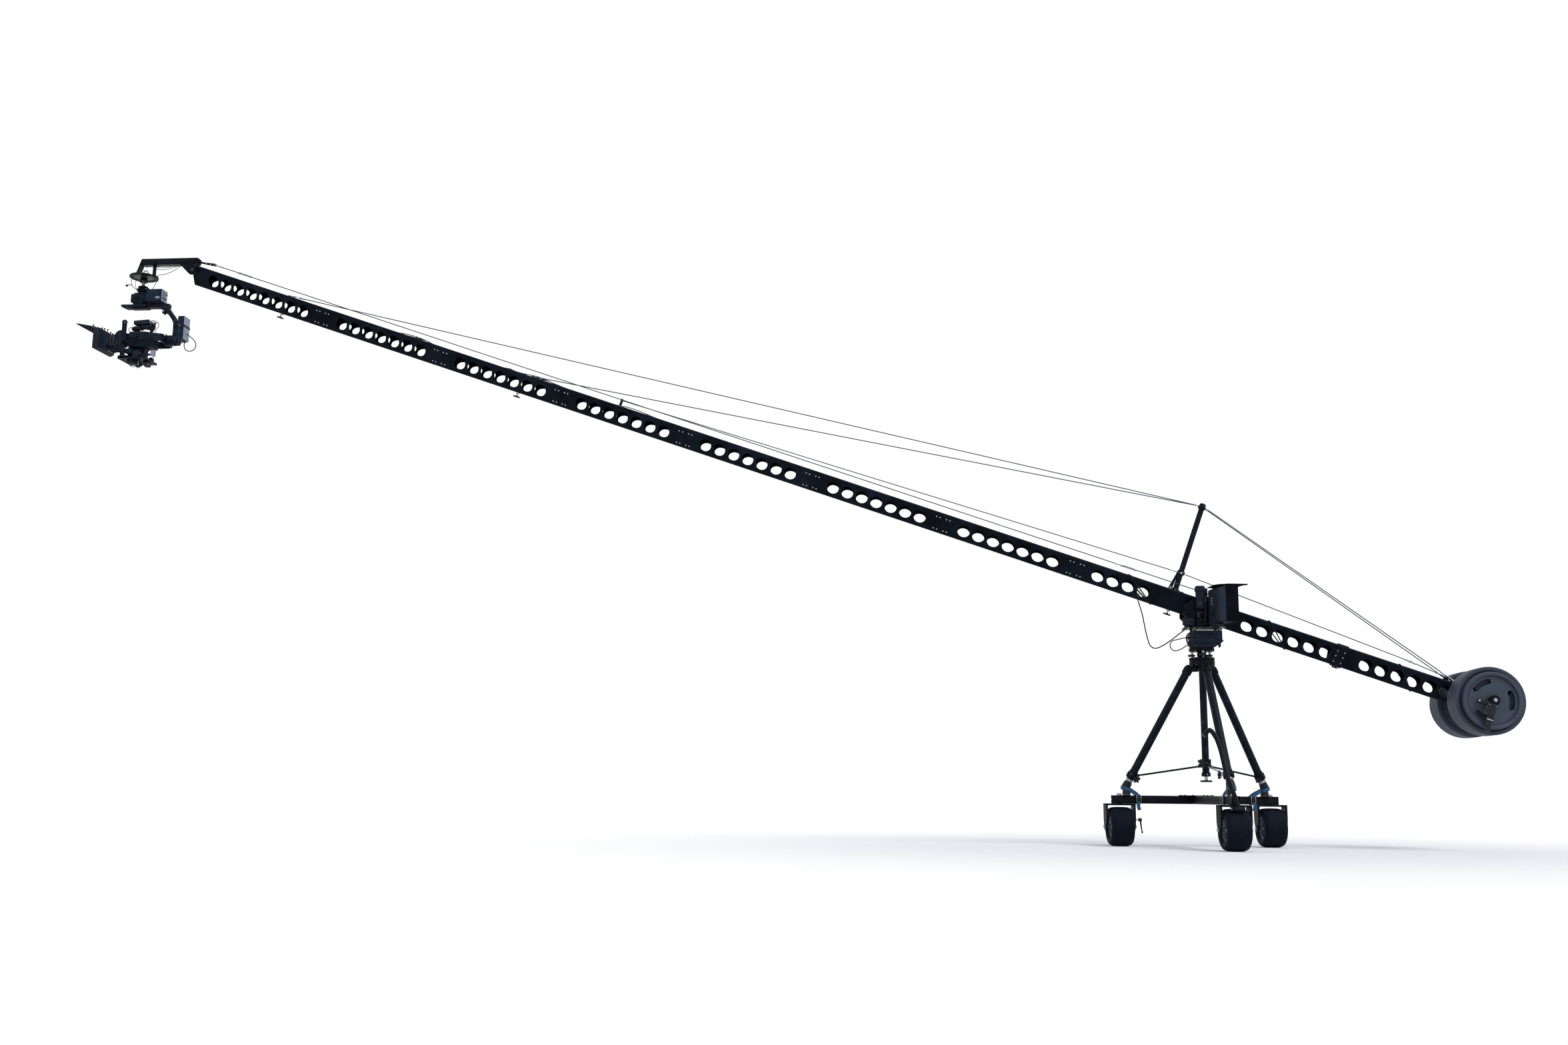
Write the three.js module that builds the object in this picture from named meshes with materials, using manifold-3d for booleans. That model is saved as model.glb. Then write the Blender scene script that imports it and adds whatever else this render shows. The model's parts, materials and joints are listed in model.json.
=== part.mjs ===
// Camera jib crane: wheeled base, tripod, pan and tilt head, sectional triangular boom with stays and
// counterweights, and a remote camera head. Millimetres, +Z up. The origin lies on the floor under the
// pan axis, the counterweights are at +X, the camera at -X, and the near side of the crane is -Y.

import * as THREE from 'three';
import { mergeVertices } from 'three/addons/utils/BufferGeometryUtils.js';
import Module from 'manifold-3d';

const wasm = await Module();
wasm.setup();

// Gaps shared by all pieces
const clearance = 0.3;
const overrun = 2;
const flatness = 0.001;

// Boom: an equilateral tube, apex down, with round holes on a fixed pitch
const boomTilt = 19.19;
const pivotHeight = 1522.3;
const tubeSide = 160;
const tubeWall = 4;
const tubeRound = 11;
const holeRadius = 41.4;
const holePitch = 101.6;
const holesPerSection = 7;
const noseHoles = 8;
const centreHoles = 4;
const rearHoles = 6;
const tailHoles = 7;
const extensionCount = 6;
const firstHoleCount = 70.679;
const firstHoleReach = holePitch * firstHoleCount;
const holeLineDrop = 22;
const headLead = 155;
const headReach = firstHoleReach + headLead;
const noseLead = 15;
const noseReach = headReach + noseLead;
const noseCutAngle = 19;
const rearFirstCount = 3.061;
const rearFirstHole = holePitch * rearFirstCount;
const bandCount = 8.9075;
const bandCentre = holePitch * bandCount;
const tailFirstCount = 10.571;
const tailFirstHole = holePitch * tailFirstCount;
const tailCount = 18.287;
const tailEnd = holePitch * tailCount;
const spigotLength = 60;

// Fulcrum, tilt axle and band clamp
const axleRadius = 15;
const bearingRadius = 26;
const bandLength = 70;
const bandWall = 6;

// Head pivot and the levelling linkage
const headPinRadius = 8;
const leverX = 139;
const leverZ = 52;
const linkY = 36;
const linkRadius = 3;
const turnbuckleRadius = 7;
const turnbuckleLength = 110;
const leverPlate = 6;
const leverEye = 12;
const leverPin = 4;

// Level arm of the remote head
const armLength = 418;
const armHeight = 45;
const armWidth = 60;
const armWall = 4;
const armDrop = 69;
const cheekGap = 83;
const cheekPlate = 8;
const cheekWidth = 68;
const cheekReach = 95;

// Damping disk and isolator
const isolatorInset = 18;
const isolatorX = armLength - isolatorInset;
const diskRadius = 98;
const diskThick = 13;
const diskTop = 10;
const neckRadius = 23;
const neckLength = 26;
const isolatorDrop = 41;
const wireRadius = 2;
const headMotorRadius = 26;
const headMotorDrop = 49;

// Top frame of the remote head
const topBoxLength = 125;
const topBoxHeight = 84;
const topBoxDepth = 90;
const topBarLength = 356;
const topBarHeight = 33;
const topBarWidth = 44;
const topBarFront = 144;
const receiverLength = 118;
const receiverHeight = 90;
const receiverDepth = 80;

// Roll arm, roll motor and battery of the remote head
const rollX = 131;
const cameraAxisDrop = 490;
const rollMotorRadius = 38;
const rollMotorLength = 96;
const rollArmThick = 30;
const rollArmWidth = 46;
const headBatteryThick = 50;
const headBatteryWidth = 88;
const headBatteryHeight = 172;
const headBatteryTop = 322;

// Roll frame and camera cage
const tiltX = 464;
const frameHalf = 114;
const framePlate = 14;
const frameHeight = 52;
const tiltMotorRadius = 42;
const tiltMotorThick = 26;
const cageHalf = 87;
const cagePost = 12;
const cageDepth = 34;
const cageTop = 132;
const cageBottom = 152;

// Camera, lens and matte box
const cameraLength = 165;
const cameraHeight = 112;
const cameraWidth = 116;
const lensRadius = 53;
const lensLength = 157;
const matteHeight = 156;
const matteWidth = 250;
const matteDepth = 70;
const matteRearWidth = 150;
const matteRearHeight = 120;
const matteWall = 3;
const matteBoreShare = 0.8;
const flagReach = 139;
const flagRise = 10;
const flagThick = 3;

// Mast and stays
const mastX = 182;
const mastTop = 645;
const mastRadius = 17.5;
const mastCollarRadius = 24;
const mastCollarZ = 177;
const mastFootLength = 104;
const mastFootThick = 7;
const saddleRadius = 24;
const stayRadius = 3;
const longStayCount = 65.177;
const longStayX = holePitch * longStayCount;
const shortStayCount = 46.604;
const shortStayX = holePitch * shortStayCount;
const rearStayInset = 243;
const rearStayX = tailEnd - rearStayInset;
const stayLift = 13;
const stayFork = 34;

// Counterweights
const weightInset = 71;
const weightX = tailEnd - weightInset;
const weightAxleRadius = 12.5;
const plateRadius = 212;
const plateThick = 42;
const platesPerSide = 4;
const smallPlateRadius = 176;
const smallPlateThick = 40;
const plateBore = 13.5;
const plateWeb = 12;
const smallPlateWeb = 14;
const rimShare = 0.87;
const hubShare = 2.6;
const fingerShare = 0.56;
const fingerRadius = 24;
const plateFaceCount = 18;
const stackStart = 94;
const hubClampRadius = 46;
const hubClampLength = 34;

// Dolly: a cross bar to two wheels and a stem to the third
const dollyTurn = 6.3;
const wheelCircle = 568;
const barSize = 52;
const barWall = 4;
const barBottom = 272;
const barOverhang = 48;
const wheelRadius = 125;
const tyreWidth = 150;
const rimRadius = 72;
const rimWall = 5;
const hubRadius = 22;
const wheelPin = 9;
const forkPlate = 12;
const forkInside = 168;
const forkDepth = 88;
const kingpinRadius = 11;
const footPadHalf = 21;
const towEarGap = 30;
const towEarThick = 8;
const towReach = 82;
const towDrop = 24;
const towPinRadius = 5;
const towBarRadius = 14;
const towBarHeight = 467.6;
const nutRadius = 17;
const nutHeight = 14;

// Tripod
const legRadius = 25;
const legTopR = 82;
const legFootR = 519;
const legFootZ = 384;
const footLength = 30;
const footRadius = 19;
const shoeShare = 1.3;
const crownDrop = 345.3;
const crownTop = pivotHeight - crownDrop;
const legTopDrop = 37;
const legTopZ = crownTop - legTopDrop;
const crownThick = 29;
const crownRadius = 80;
const columnRadius = 22;
const columnFootZ = 411;
const columnFootRadius = 37;
const spreaderZ = 528;
const spreaderLegZ = 450;
const spreaderRod = 6;
const collarRadius = 34;
const collarHeight = 52;
const knobRadius = 34;
const knobThick = 16;
const strapWidth = 26;
const strapThick = 4;

// Levelling base and pan assembly
const baseDrop = 263.3;
const baseTop = pivotHeight - baseDrop;
const basePlate = 20;
const baseRadius = 80;
const ballRadius = 30;
const levelScrewRadius = 6;
const levelKnobRadius = 19;
const levelScrewCircle = 64;
const coneTopRadius = 104;
const panBoxDrop = 156.3;
const panBoxTop = pivotHeight - panBoxDrop;
const panBoxHeight = 76;
const panBoxBottom = panBoxTop - panBoxHeight;
const panBoxWidth = 184;
const panBoxDepth = 186;
const platformDrop = 126.3;
const platformTop = pivotHeight - platformDrop;
const platformThick = 9;
const platformLength = 250;
const platformDepth = 200;
const cheekInner = 87;
const yokePlate = 8;
const yokeFoot = 116;
const yokeFrontFoot = 60;
const yokeFrontReach = 118;
const yokeFrontStep = 66;
const deckNotchStart = 58;
const deckNotchHalf = 48;
const boxShift = 26;
const batteryWidth = 53;
const batteryDepth = 38;
const batteryHeight = 146;
const batteryDrop = 21.3;
const batteryBottom = pivotHeight - batteryDrop;
const monitorWidth = 280;
const monitorHeight = 225;
const monitorThick = 40;
const monitorTurn = 15.5;
const monitorX = 58;
const monitorY = 282;
const monitorDrop = 132.3;
const monitorZ = pivotHeight - monitorDrop;
const monitorArmWidth = 60;
const monitorPinRadius = 8;
const monitorPinDepth = 12;
const hoodDepth = 160;
const hoodSideDepth = 94;
const hoodFlare = 35;
const hoodWall = 3;
const controlLength = 68;
const controlWidth = 42;
const controlHeight = 46;
const controlFront = 130;

// Cords
const controlCordRadius = 3.5;
const cordClipX = 397;
const cordClipZ = -50;
const cordClipRadius = 7;
const cordClipLength = 16;
const loopCordRadius = 3;
const glandRadius = 7;
const glandY = 70;
const batteryCordRadius = 3;
const loopReach = 103;
const loopTopShare = 0.72;
const cordSteps = 34;
const loopSteps = 24;
const cordFaceCount = 8;

const degrees = Math.PI / 180;
const at = (x, y, z) => new THREE.Vector3(x, y, z);

// Closed mesh to solid, with doubled points and collapsed triangles removed
function solid(geometry) {
  const bare = geometry.clone();
  bare.deleteAttribute('normal');
  bare.deleteAttribute('uv');
  const merged = mergeVertices(bare, 0.0001);
  const index = merged.index.array;
  const kept = [];
  for (let i = 0; i < index.length; i += 3) {
    const [a, b, c] = [index[i], index[i + 1], index[i + 2]];
    if (a !== b && b !== c && c !== a) kept.push(a, b, c);
  }
  const mesh = new wasm.Mesh({
    numProp: 3,
    vertProperties: new Float32Array(merged.attributes.position.array),
    triVerts: new Uint32Array(kept),
  });
  return new wasm.Manifold(mesh);
}

const join = (first, ...others) => others.reduce((whole, piece) => whole.add(piece), first);
const cut = (first, ...tools) => tools.reduce((whole, tool) => whole.subtract(tool), first);

// A block between two corners
function block(x0, x1, y0, y1, z0, z1) {
  const shape = new THREE.BoxGeometry(x1 - x0, y1 - y0, z1 - z0);
  return solid(shape.translate((x0 + x1) / 2, (y0 + y1) / 2, (z0 + z1) / 2));
}

// A round bar or cone between two points
function rod(from, to, radius, sides = 12, endRadius = radius) {
  const length = from.distanceTo(to);
  const shape = new THREE.CylinderGeometry(endRadius, radius, length, sides);
  const turn = new THREE.Quaternion().setFromUnitVectors(at(0, 1, 0), to.clone().sub(from).normalize());
  const middle = from.clone().add(to).multiplyScalar(1 / 2);
  return solid(shape.applyQuaternion(turn).translate(middle.x, middle.y, middle.z));
}

// A bar of rectangular section between two points in the plane y = const
function slatXZ(from, to, width, y0, y1) {
  const along = to.clone().sub(from).normalize();
  const side = at(-along.z, 0, along.x).multiplyScalar(width / 2);
  const outline = [
    from.clone().add(side),
    from.clone().sub(side),
    to.clone().sub(side),
    to.clone().add(side),
  ];
  return plateXZ(outline.map((p) => [p.x, p.z]), y0, y1);
}

// A flat plate with its outline in X and Z
function plateXZ(outline, y0, y1, holes = []) {
  const shape = new THREE.Shape(outline.map(([x, z]) => new THREE.Vector2(x, z)));
  holes.forEach((hole) => shape.holes.push(hole));
  const plate = new THREE.ExtrudeGeometry(shape, { depth: y1 - y0, bevelEnabled: false });
  return solid(plate.rotateX(90 * degrees).translate(0, y1, 0));
}

// A turned piece about a vertical axis through the origin: pairs of radius and height
function turned(profile, sides = 24) {
  return solid(new THREE.LatheGeometry(profile.map(([r, z]) => new THREE.Vector2(r, z)), sides)
    .rotateX(90 * degrees));
}

// A round bar bent along a smooth curve through the given points
function bentRod(points, radius, steps, sides = 8) {
  const circle = new THREE.Shape();
  circle.absarc(0, 0, radius, 0, 360 * degrees, false);
  const path = new THREE.CatmullRomCurve3(points, false, 'centripetal');
  const options = { steps, curveSegments: sides / 2, extrudePath: path, bevelEnabled: false };
  return solid(new THREE.ExtrudeGeometry(circle, options));
}

// Points of an arc in X and Z
function arcXZ(x, z, radius, from, to, steps) {
  const points = [];
  for (let i = 0; i <= steps; i += 1) {
    const angle = (from + ((to - from) * i) / steps) * degrees;
    points.push([x + radius * Math.cos(angle), z + radius * Math.sin(angle)]);
  }
  return points;
}

// A knob with rounded lobes: axis along Z, its underside at zero
function starKnob(radius, thick, lobes = 5) {
  const lobeShare = 0.3;
  const core = rod(at(0, 0, 0), at(0, 0, thick), radius * (1 - lobeShare), 10);
  const arms = [];
  for (let i = 0; i < lobes; i += 1) {
    const angle = (360 / lobes) * i * degrees;
    const reach = radius * (1 - lobeShare);
    const centre = at(reach * Math.cos(angle), reach * Math.sin(angle), 0);
    arms.push(rod(centre, centre.clone().setZ(thick), radius * lobeShare, 6));
  }
  return join(core, ...arms);
}

const finishes = {
  boomBlack: { color: 0x15181f, roughness: 0.45, metalness: 0.4 },
  blackMetal: { color: 0x14171c, roughness: 0.5, metalness: 0.5 },
  plateSlate: { color: 0x2f3540, roughness: 0.6, metalness: 0.2 },
  steel: { color: 0x8b9099, roughness: 0.35, metalness: 0.9 },
  cable: { color: 0x1b1d22, roughness: 0.6, metalness: 0.3 },
  rubber: { color: 0x232a38, roughness: 0.75, metalness: 0 },
  castAlloy: { color: 0x9aa0aa, roughness: 0.4, metalness: 0.8 },
  plastic: { color: 0x17191d, roughness: 0.55, metalness: 0 },
  blueWebbing: { color: 0x23557f, roughness: 0.9, metalness: 0 },
  greyHousing: { color: 0x6b7280, roughness: 0.5, metalness: 0.4 },
};

const crane = new THREE.Group();
const dolly = new THREE.Group();
dolly.rotation.z = dollyTurn * degrees;
const pan = new THREE.Group();
const boom = new THREE.Group();
boom.position.z = pivotHeight;
boom.rotation.y = boomTilt * degrees;
const head = new THREE.Group();
head.position.x = -headReach * Math.cos(boomTilt * degrees);
head.position.z = pivotHeight + headReach * Math.sin(boomTilt * degrees);
crane.add(dolly, pan, boom, head);

function add(parent, name, piece, finish) {
  const { vertProperties, triVerts } = piece.asOriginal().simplify(flatness).getMesh();
  const shape = new THREE.BufferGeometry();
  shape.setAttribute('position', new THREE.BufferAttribute(new Float32Array(vertProperties), 3));
  shape.setIndex(new THREE.BufferAttribute(new Uint32Array(triVerts), 1));
  shape.computeVertexNormals();
  const mesh = new THREE.Mesh(shape, new THREE.MeshStandardMaterial(finishes[finish]));
  mesh.name = name;
  parent.add(mesh);
  return mesh;
}

// Boom tube

const sharpHeight = tubeSide * Math.sin(60 * degrees);
const boomTop = sharpHeight / 2 - holeLineDrop;
const boomApex = -sharpHeight / 2 - holeLineDrop;
const boomBottom = boomApex + tubeRound;
const wallMiddle = tubeSide / 4;
const holeFaceCount = 8;
const roundStepCount = 2;

// The rounded triangle, apex down, with its sharp apex at the given height
function triangleOutline(side, radius, apexZ, Outline) {
  const outline = new Outline();
  const centreZ = apexZ + side / Math.sqrt(3);
  const reach = side / Math.sqrt(3) - 2 * radius;
  for (const direction of [-90, 30, 150]) {
    for (let i = 0; i <= roundStepCount; i += 1) {
      const angle = (direction - 60 + (120 * i) / roundStepCount) * degrees;
      const y = reach * Math.cos(direction * degrees) + radius * Math.cos(angle);
      const z = centreZ + reach * Math.sin(direction * degrees) + radius * Math.sin(angle);
      if (outline.curves.length === 0 && outline.currentPoint.lengthSq() === 0) outline.moveTo(y, z);
      else outline.lineTo(y, z);
    }
  }
  outline.closePath();
  return outline;
}

// A length of triangular tube whose faces lie the given depth inside the outer faces
function triangleTube(x0, x1, inset, wall) {
  const outerSide = tubeSide - 2 * Math.sqrt(3) * inset;
  const innerSide = outerSide - 2 * Math.sqrt(3) * wall;
  const outerRound = Math.max(tubeRound - inset, tubeWall);
  const outer = triangleOutline(outerSide, outerRound, boomApex + 2 * inset, THREE.Shape);
  const innerRound = Math.max(outerRound - wall, tubeWall / 2);
  outer.holes.push(triangleOutline(innerSide, innerRound, boomApex + 2 * (inset + wall), THREE.Path));
  const tube = new THREE.ExtrudeGeometry(outer, { depth: x1 - x0, bevelEnabled: false });
  const turn = new THREE.Matrix4().makeBasis(at(0, 1, 0), at(0, 0, 1), at(1, 0, 0));
  return solid(tube.applyMatrix4(turn).translate(x0, 0, 0));
}

// Both wall holes at one place along the boom
function wallHoles(x) {
  return [-1, 1].map((side) => {
    const normal = at(0, side * Math.cos(30 * degrees), -Math.sin(30 * degrees));
    const middle = at(x, side * wallMiddle, -holeLineDrop);
    const inside = middle.clone().addScaledVector(normal, -tubeWall - overrun);
    const outside = middle.clone().addScaledVector(normal, overrun);
    return rod(inside, outside, holeRadius, holeFaceCount);
  });
}

function boomSection(x0, x1, firstHole, count, withSpigot) {
  let section = triangleTube(x0, x1, 0, tubeWall);
  for (let i = 0; i < count; i += 1) section = cut(section, ...wallHoles(firstHole + i * holePitch));
  if (withSpigot) {
    const spigot = triangleTube(x1 - spigotLength, x1 + spigotLength, tubeWall + clearance, tubeWall);
    const weld = triangleTube(x1 - spigotLength, x1 - spigotLength / 2, tubeWall / 2, tubeWall);
    section = join(section, spigot, weld);
  }
  return section;
}

const holeX = (index) => -firstHoleReach + index * holePitch;
const jointX = (number) => holeX(noseHoles + 1 / 2 + number * (holesPerSection + 2));
const seam = clearance / 2;

const noseTube = boomSection(-noseReach - tubeSide / 4, jointX(0) - seam, holeX(0), noseHoles, true);
const noseTrim = block(-tubeSide, 0, -tubeSide, tubeSide, -2 * tubeSide, 2 * tubeSide)
  .rotate([0, -noseCutAngle, 0])
  .translate([-noseReach, 0, 0]);
const headPinHole = rod(at(-headReach, -tubeSide, 0), at(-headReach, tubeSide, 0), headPinRadius + clearance);
add(boom, 'boom_nose', cut(noseTube, noseTrim, headPinHole), 'boomBlack');

for (let i = 0; i < extensionCount; i += 1) {
  const first = holeX(noseHoles + 2 + i * (holesPerSection + 2));
  const section = boomSection(jointX(i) + seam, jointX(i + 1) - seam, first, holesPerSection, true);
  add(boom, `boom_extension_${i + 1}`, section, 'boomBlack');
}

const centreStart = jointX(extensionCount);
const centreEnd = centreStart + (holesPerSection + 2) * holePitch;
const centreFirst = holeX(noseHoles + 2 + extensionCount * (holesPerSection + 2));
const axleHole = rod(at(0, -tubeSide, 0), at(0, tubeSide, 0), axleRadius + clearance, 16);
const centreTube = boomSection(centreStart + seam, centreEnd - seam, centreFirst, centreHoles, true);
const clipNormal = at(0, -Math.cos(30 * degrees), -Math.sin(30 * degrees));
const clipFoot = at(-cordClipX, (boomApex - cordClipZ) / Math.sqrt(3), cordClipZ);
const clipEnd = clipFoot.clone().addScaledVector(clipNormal, cordClipLength);
const cordClip = rod(clipFoot.clone().addScaledVector(clipNormal, -overrun), clipEnd, cordClipRadius, 10);
add(boom, 'boom_centre', cut(join(centreTube, cordClip), axleHole), 'boomBlack');

const rearTube = boomSection(centreEnd + seam, bandCentre - seam, rearFirstHole, rearHoles, true);
add(boom, 'boom_rear', rearTube, 'boomBlack');

const weightHole = rod(
  at(weightX, -tubeSide, -holeLineDrop),
  at(weightX, tubeSide, -holeLineDrop),
  weightAxleRadius + clearance,
  14,
);
const tailTube = boomSection(bandCentre + seam, tailEnd, tailFirstHole, tailHoles, false);
add(boom, 'boom_tail', cut(tailTube, weightHole), 'boomBlack');

// Band clamp round the rear joint, with its tightening lugs under the apex
const bandHalf = bandLength / 2;
const bandRing = triangleTube(bandCentre - bandHalf, bandCentre + bandHalf, -bandWall - clearance, bandWall);
const lugTop = boomBottom - bandWall / 2;
const lug = block(
  bandCentre - bandHalf / 2,
  bandCentre + bandHalf / 2,
  -bandWall * 2,
  bandWall * 2,
  lugTop - bandWall * 2,
  lugTop,
);
add(boom, 'band_clamp', join(bandRing, lug), 'blackMetal');

// Mast: tube, foot plate on the flat top, collar, brace and ball

const footZ = boomTop + clearance;
const mastFoot = block(
  -mastX - mastFootLength / 2,
  -mastX + mastFootLength / 2,
  -mastRadius * 2,
  mastRadius * 2,
  footZ,
  footZ + mastFootThick,
);
const mastTube = rod(at(-mastX, 0, footZ), at(-mastX, 0, mastTop - saddleRadius), mastRadius, 14);
const mastCollar = rod(
  at(-mastX, 0, mastCollarZ - mastCollarRadius / 2),
  at(-mastX, 0, mastCollarZ + mastCollarRadius / 2),
  mastCollarRadius,
  14,
);
const braceFoot = mastFootLength / 2 - mastRadius / 2;
const braces = [1, 2 / 3].map((share) => rod(
  at(-mastX - braceFoot * share, 0, footZ + mastFootThick / 2),
  at(-mastX - mastRadius, 0, mastCollarZ),
  mastRadius / 4,
  8,
));
add(boom, 'mast', join(mastFoot, mastTube, mastCollar, ...braces), 'blackMetal');

// Stays: one wire set held by the saddle on the mast top
const saddleZ = mastTop - saddleRadius;
const saddle = rod(
  at(-mastX, 0, saddleZ + clearance),
  at(-mastX, 0, mastTop + saddleRadius / 2),
  saddleRadius,
  12,
  saddleRadius * (2 / 3),
);
const stayEnd = boomTop + stayLift;
const saddleEye = mastTop - saddleRadius / 4;
const stayAnchor = (x) => block(
  x - 2 * stayLift,
  x + 2 * stayLift,
  -stayLift,
  stayLift,
  boomTop + clearance,
  boomTop + stayLift + stayRadius,
);
const longStay = rod(at(-longStayX, 0, stayEnd), at(-mastX, 0, saddleEye), stayRadius, 6);
const shortStay = rod(at(-shortStayX, 0, stayEnd), at(-mastX, 0, saddleEye), stayRadius, 6);
const rearStays = [-1, 1].map((side) => rod(
  at(rearStayX, side * stayFork, stayEnd),
  at(-mastX, side * (saddleRadius / 2), saddleEye),
  stayRadius,
  6,
));
const rearAnchor = block(
  rearStayX - stayFork,
  rearStayX + stayFork / 2,
  -stayFork - stayLift,
  stayFork + stayLift,
  boomTop + clearance,
  boomTop + stayLift + stayRadius,
);
const stays = join(saddle, longStay, shortStay, ...rearStays, rearAnchor,
  stayAnchor(-longStayX), stayAnchor(-shortStayX));
add(boom, 'stay_wires', stays, 'steel');

// Levelling link: wire between the fixed anchor over the fulcrum and the lever on the head bracket,
// in the boom's own frame because it stays parallel to the boom

const tilt = boomTilt * degrees;
const leverAlong = leverX * Math.cos(tilt) - leverZ * Math.sin(tilt);
const leverUp = leverX * Math.sin(tilt) + leverZ * Math.cos(tilt);
const linkRear = at(leverAlong, -linkY, leverUp);
const linkFront = at(-headReach + leverAlong, -linkY, leverUp);
const linkEye = (centre) => cut(
  rod(centre.clone().setY(-linkY - leverPlate / 2), centre.clone().setY(-linkY + leverPlate / 2), leverEye),
  rod(centre.clone().setY(-linkY - leverPlate), centre.clone().setY(-linkY + leverPlate), leverPin + clearance),
);
const linkWire = rod(
  linkFront.clone().setX(linkFront.x + leverEye - overrun),
  linkRear.clone().setX(linkRear.x - leverEye + overrun),
  linkRadius,
  8,
);
const frontTurnbuckleShare = 0.033;
const rearTurnbuckleShare = 0.915;
const turnbuckles = [frontTurnbuckleShare, rearTurnbuckleShare].map((share) => {
  const x = linkFront.x + (linkRear.x - linkFront.x) * share;
  return rod(
    at(x - turnbuckleLength / 2, -linkY, leverUp),
    at(x + turnbuckleLength / 2, -linkY, leverUp),
    turnbuckleRadius,
    8,
  );
});
add(boom, 'levelling_link', join(linkWire, linkEye(linkFront), linkEye(linkRear), ...turnbuckles), 'steel');

// Counterweights

const stackEnd = stackStart + platesPerSide * plateThick;
const smallEnd = stackEnd + clearance + smallPlateThick;
const axleEnd = smallEnd + clearance + hubClampLength + weightAxleRadius;
const axleZ = -holeLineDrop;
const weightAxle = rod(at(weightX, -axleEnd, axleZ), at(weightX, axleEnd, axleZ), weightAxleRadius, 14);
const stops = [-1, 1].map((side) => rod(
  at(weightX, side * (wallMiddle * 2 + overrun), axleZ),
  at(weightX, side * (stackStart - clearance), axleZ),
  weightAxleRadius * 2,
  14,
));
add(boom, 'weight_axle', join(weightAxle, ...stops), 'steel');

// A stack of rimmed plates: heavy rims and hubs, thin webs between them
function plateStack(radius, thick, count, web) {
  const chamfer = thick / 7;
  const rimInner = radius * rimShare;
  const hub = plateBore * hubShare;
  const face = count * thick;
  const profile = [[rimInner, 0], [radius - chamfer, 0]];
  for (let i = 0; i < count; i += 1) {
    const z = i * thick;
    profile.push([radius, z + chamfer], [radius, z + thick - chamfer], [radius - chamfer, z + thick]);
  }
  profile.push([rimInner, face], [rimInner, 0]);
  const rim = turned(profile, plateFaceCount);
  const boss = turned([[plateBore, 0], [hub, 0], [hub, face], [plateBore, face], [plateBore, 0]], 14);
  const webs = [];
  for (let i = 0; i < count; i += 1) {
    const low = (i + 1 / 2) * thick - web / 2;
    const disc = [[hub - overrun, low], [rimInner + overrun, low], [rimInner + overrun, low + web]];
    webs.push(turned([...disc, [hub - overrun, low + web], [hub - overrun, low]], plateFaceCount));
  }
  return join(rim, boss, ...webs);
}

// Three round finger holes through the webs of the large plates
function fingerHoles(radius, depth) {
  return [90, 210, 330].map((turn) => {
    const reach = radius * fingerShare;
    const centre = at(reach * Math.cos(turn * degrees), reach * Math.sin(turn * degrees), -overrun);
    return rod(centre, centre.clone().setZ(depth + overrun), fingerRadius, 8);
  });
}

// Three curved grip slots through a small plate
function gripSlots(radius, thick) {
  const middle = radius * (2 / 3);
  const half = radius / 10;
  return [20, 140, 260].map((start) => {
    const shape = new THREE.Shape();
    shape.absarc(0, 0, middle + half, (start - 24) * degrees, (start + 24) * degrees, false);
    shape.absarc(0, 0, middle - half, (start + 24) * degrees, (start - 24) * degrees, true);
    shape.closePath();
    const slot = new THREE.ExtrudeGeometry(shape, {
      depth: thick + 2 * overrun,
      bevelEnabled: false,
      curveSegments: 3,
    });
    return solid(slot.translate(0, 0, -overrun));
  });
}

for (const [sideName, side] of [['near', -1], ['far', 1]]) {
  const facing = side < 0 ? [90, 0, 0] : [-90, 0, 0];
  const large = cut(
    plateStack(plateRadius, plateThick, platesPerSide, plateWeb),
    ...fingerHoles(plateRadius, plateThick * platesPerSide),
  );
  const small = cut(
    plateStack(smallPlateRadius, smallPlateThick, 1, smallPlateWeb),
    ...gripSlots(smallPlateRadius, smallPlateThick),
  );
  add(boom, `large_plates_${sideName}`,
    large.rotate(facing).translate([weightX, side * stackStart, axleZ]), 'plateSlate');
  add(boom, `small_plate_${sideName}`,
    small.rotate(facing).translate([weightX, side * (stackEnd + clearance), axleZ]), 'plateSlate');
}

// Hub clamp on the near end of the axle, with the hanging strap and its box
const clampStart = smallEnd + 2 * clearance;
const clampEnd = clampStart + hubClampLength;
const clampRing = cut(
  rod(at(weightX, -clampStart, axleZ), at(weightX, -clampEnd, axleZ), hubClampRadius * (2 / 3), 16),
  rod(at(weightX, -clampStart + overrun, axleZ), at(weightX, -clampEnd - overrun, axleZ),
    weightAxleRadius + clearance, 14),
);
const clampArm = block(
  weightX - hubClampRadius * 2,
  weightX - hubClampRadius / 2,
  -clampEnd,
  -clampStart,
  axleZ - hubClampRadius,
  axleZ - hubClampRadius / 3,
);
const clampBox = block(
  weightX - hubClampRadius * (3 / 4),
  weightX + hubClampRadius / 2,
  -clampEnd - hubClampLength / 4,
  -clampStart,
  axleZ - hubClampRadius * 2,
  axleZ - weightAxleRadius * 2,
);
const clampStrap = block(
  weightX - hubClampRadius / 3,
  weightX + hubClampRadius / 2,
  -clampEnd,
  -clampEnd + hubClampLength / 4,
  axleZ - plateRadius + strapWidth / 2,
  axleZ - hubClampRadius,
);
add(boom, 'hub_clamp', join(clampRing, clampArm, clampBox, clampStrap), 'plastic');

// Wheeled base

const halfSide = wheelCircle * Math.cos(30 * degrees);
const crossY = wheelCircle / 2;
const wheelPlaces = [
  ['left', -halfSide, crossY],
  ['right', halfSide, crossY],
  ['front', 0, -wheelCircle],
];
const barTop = barBottom + barSize;
const halfBar = barSize / 2;

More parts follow.
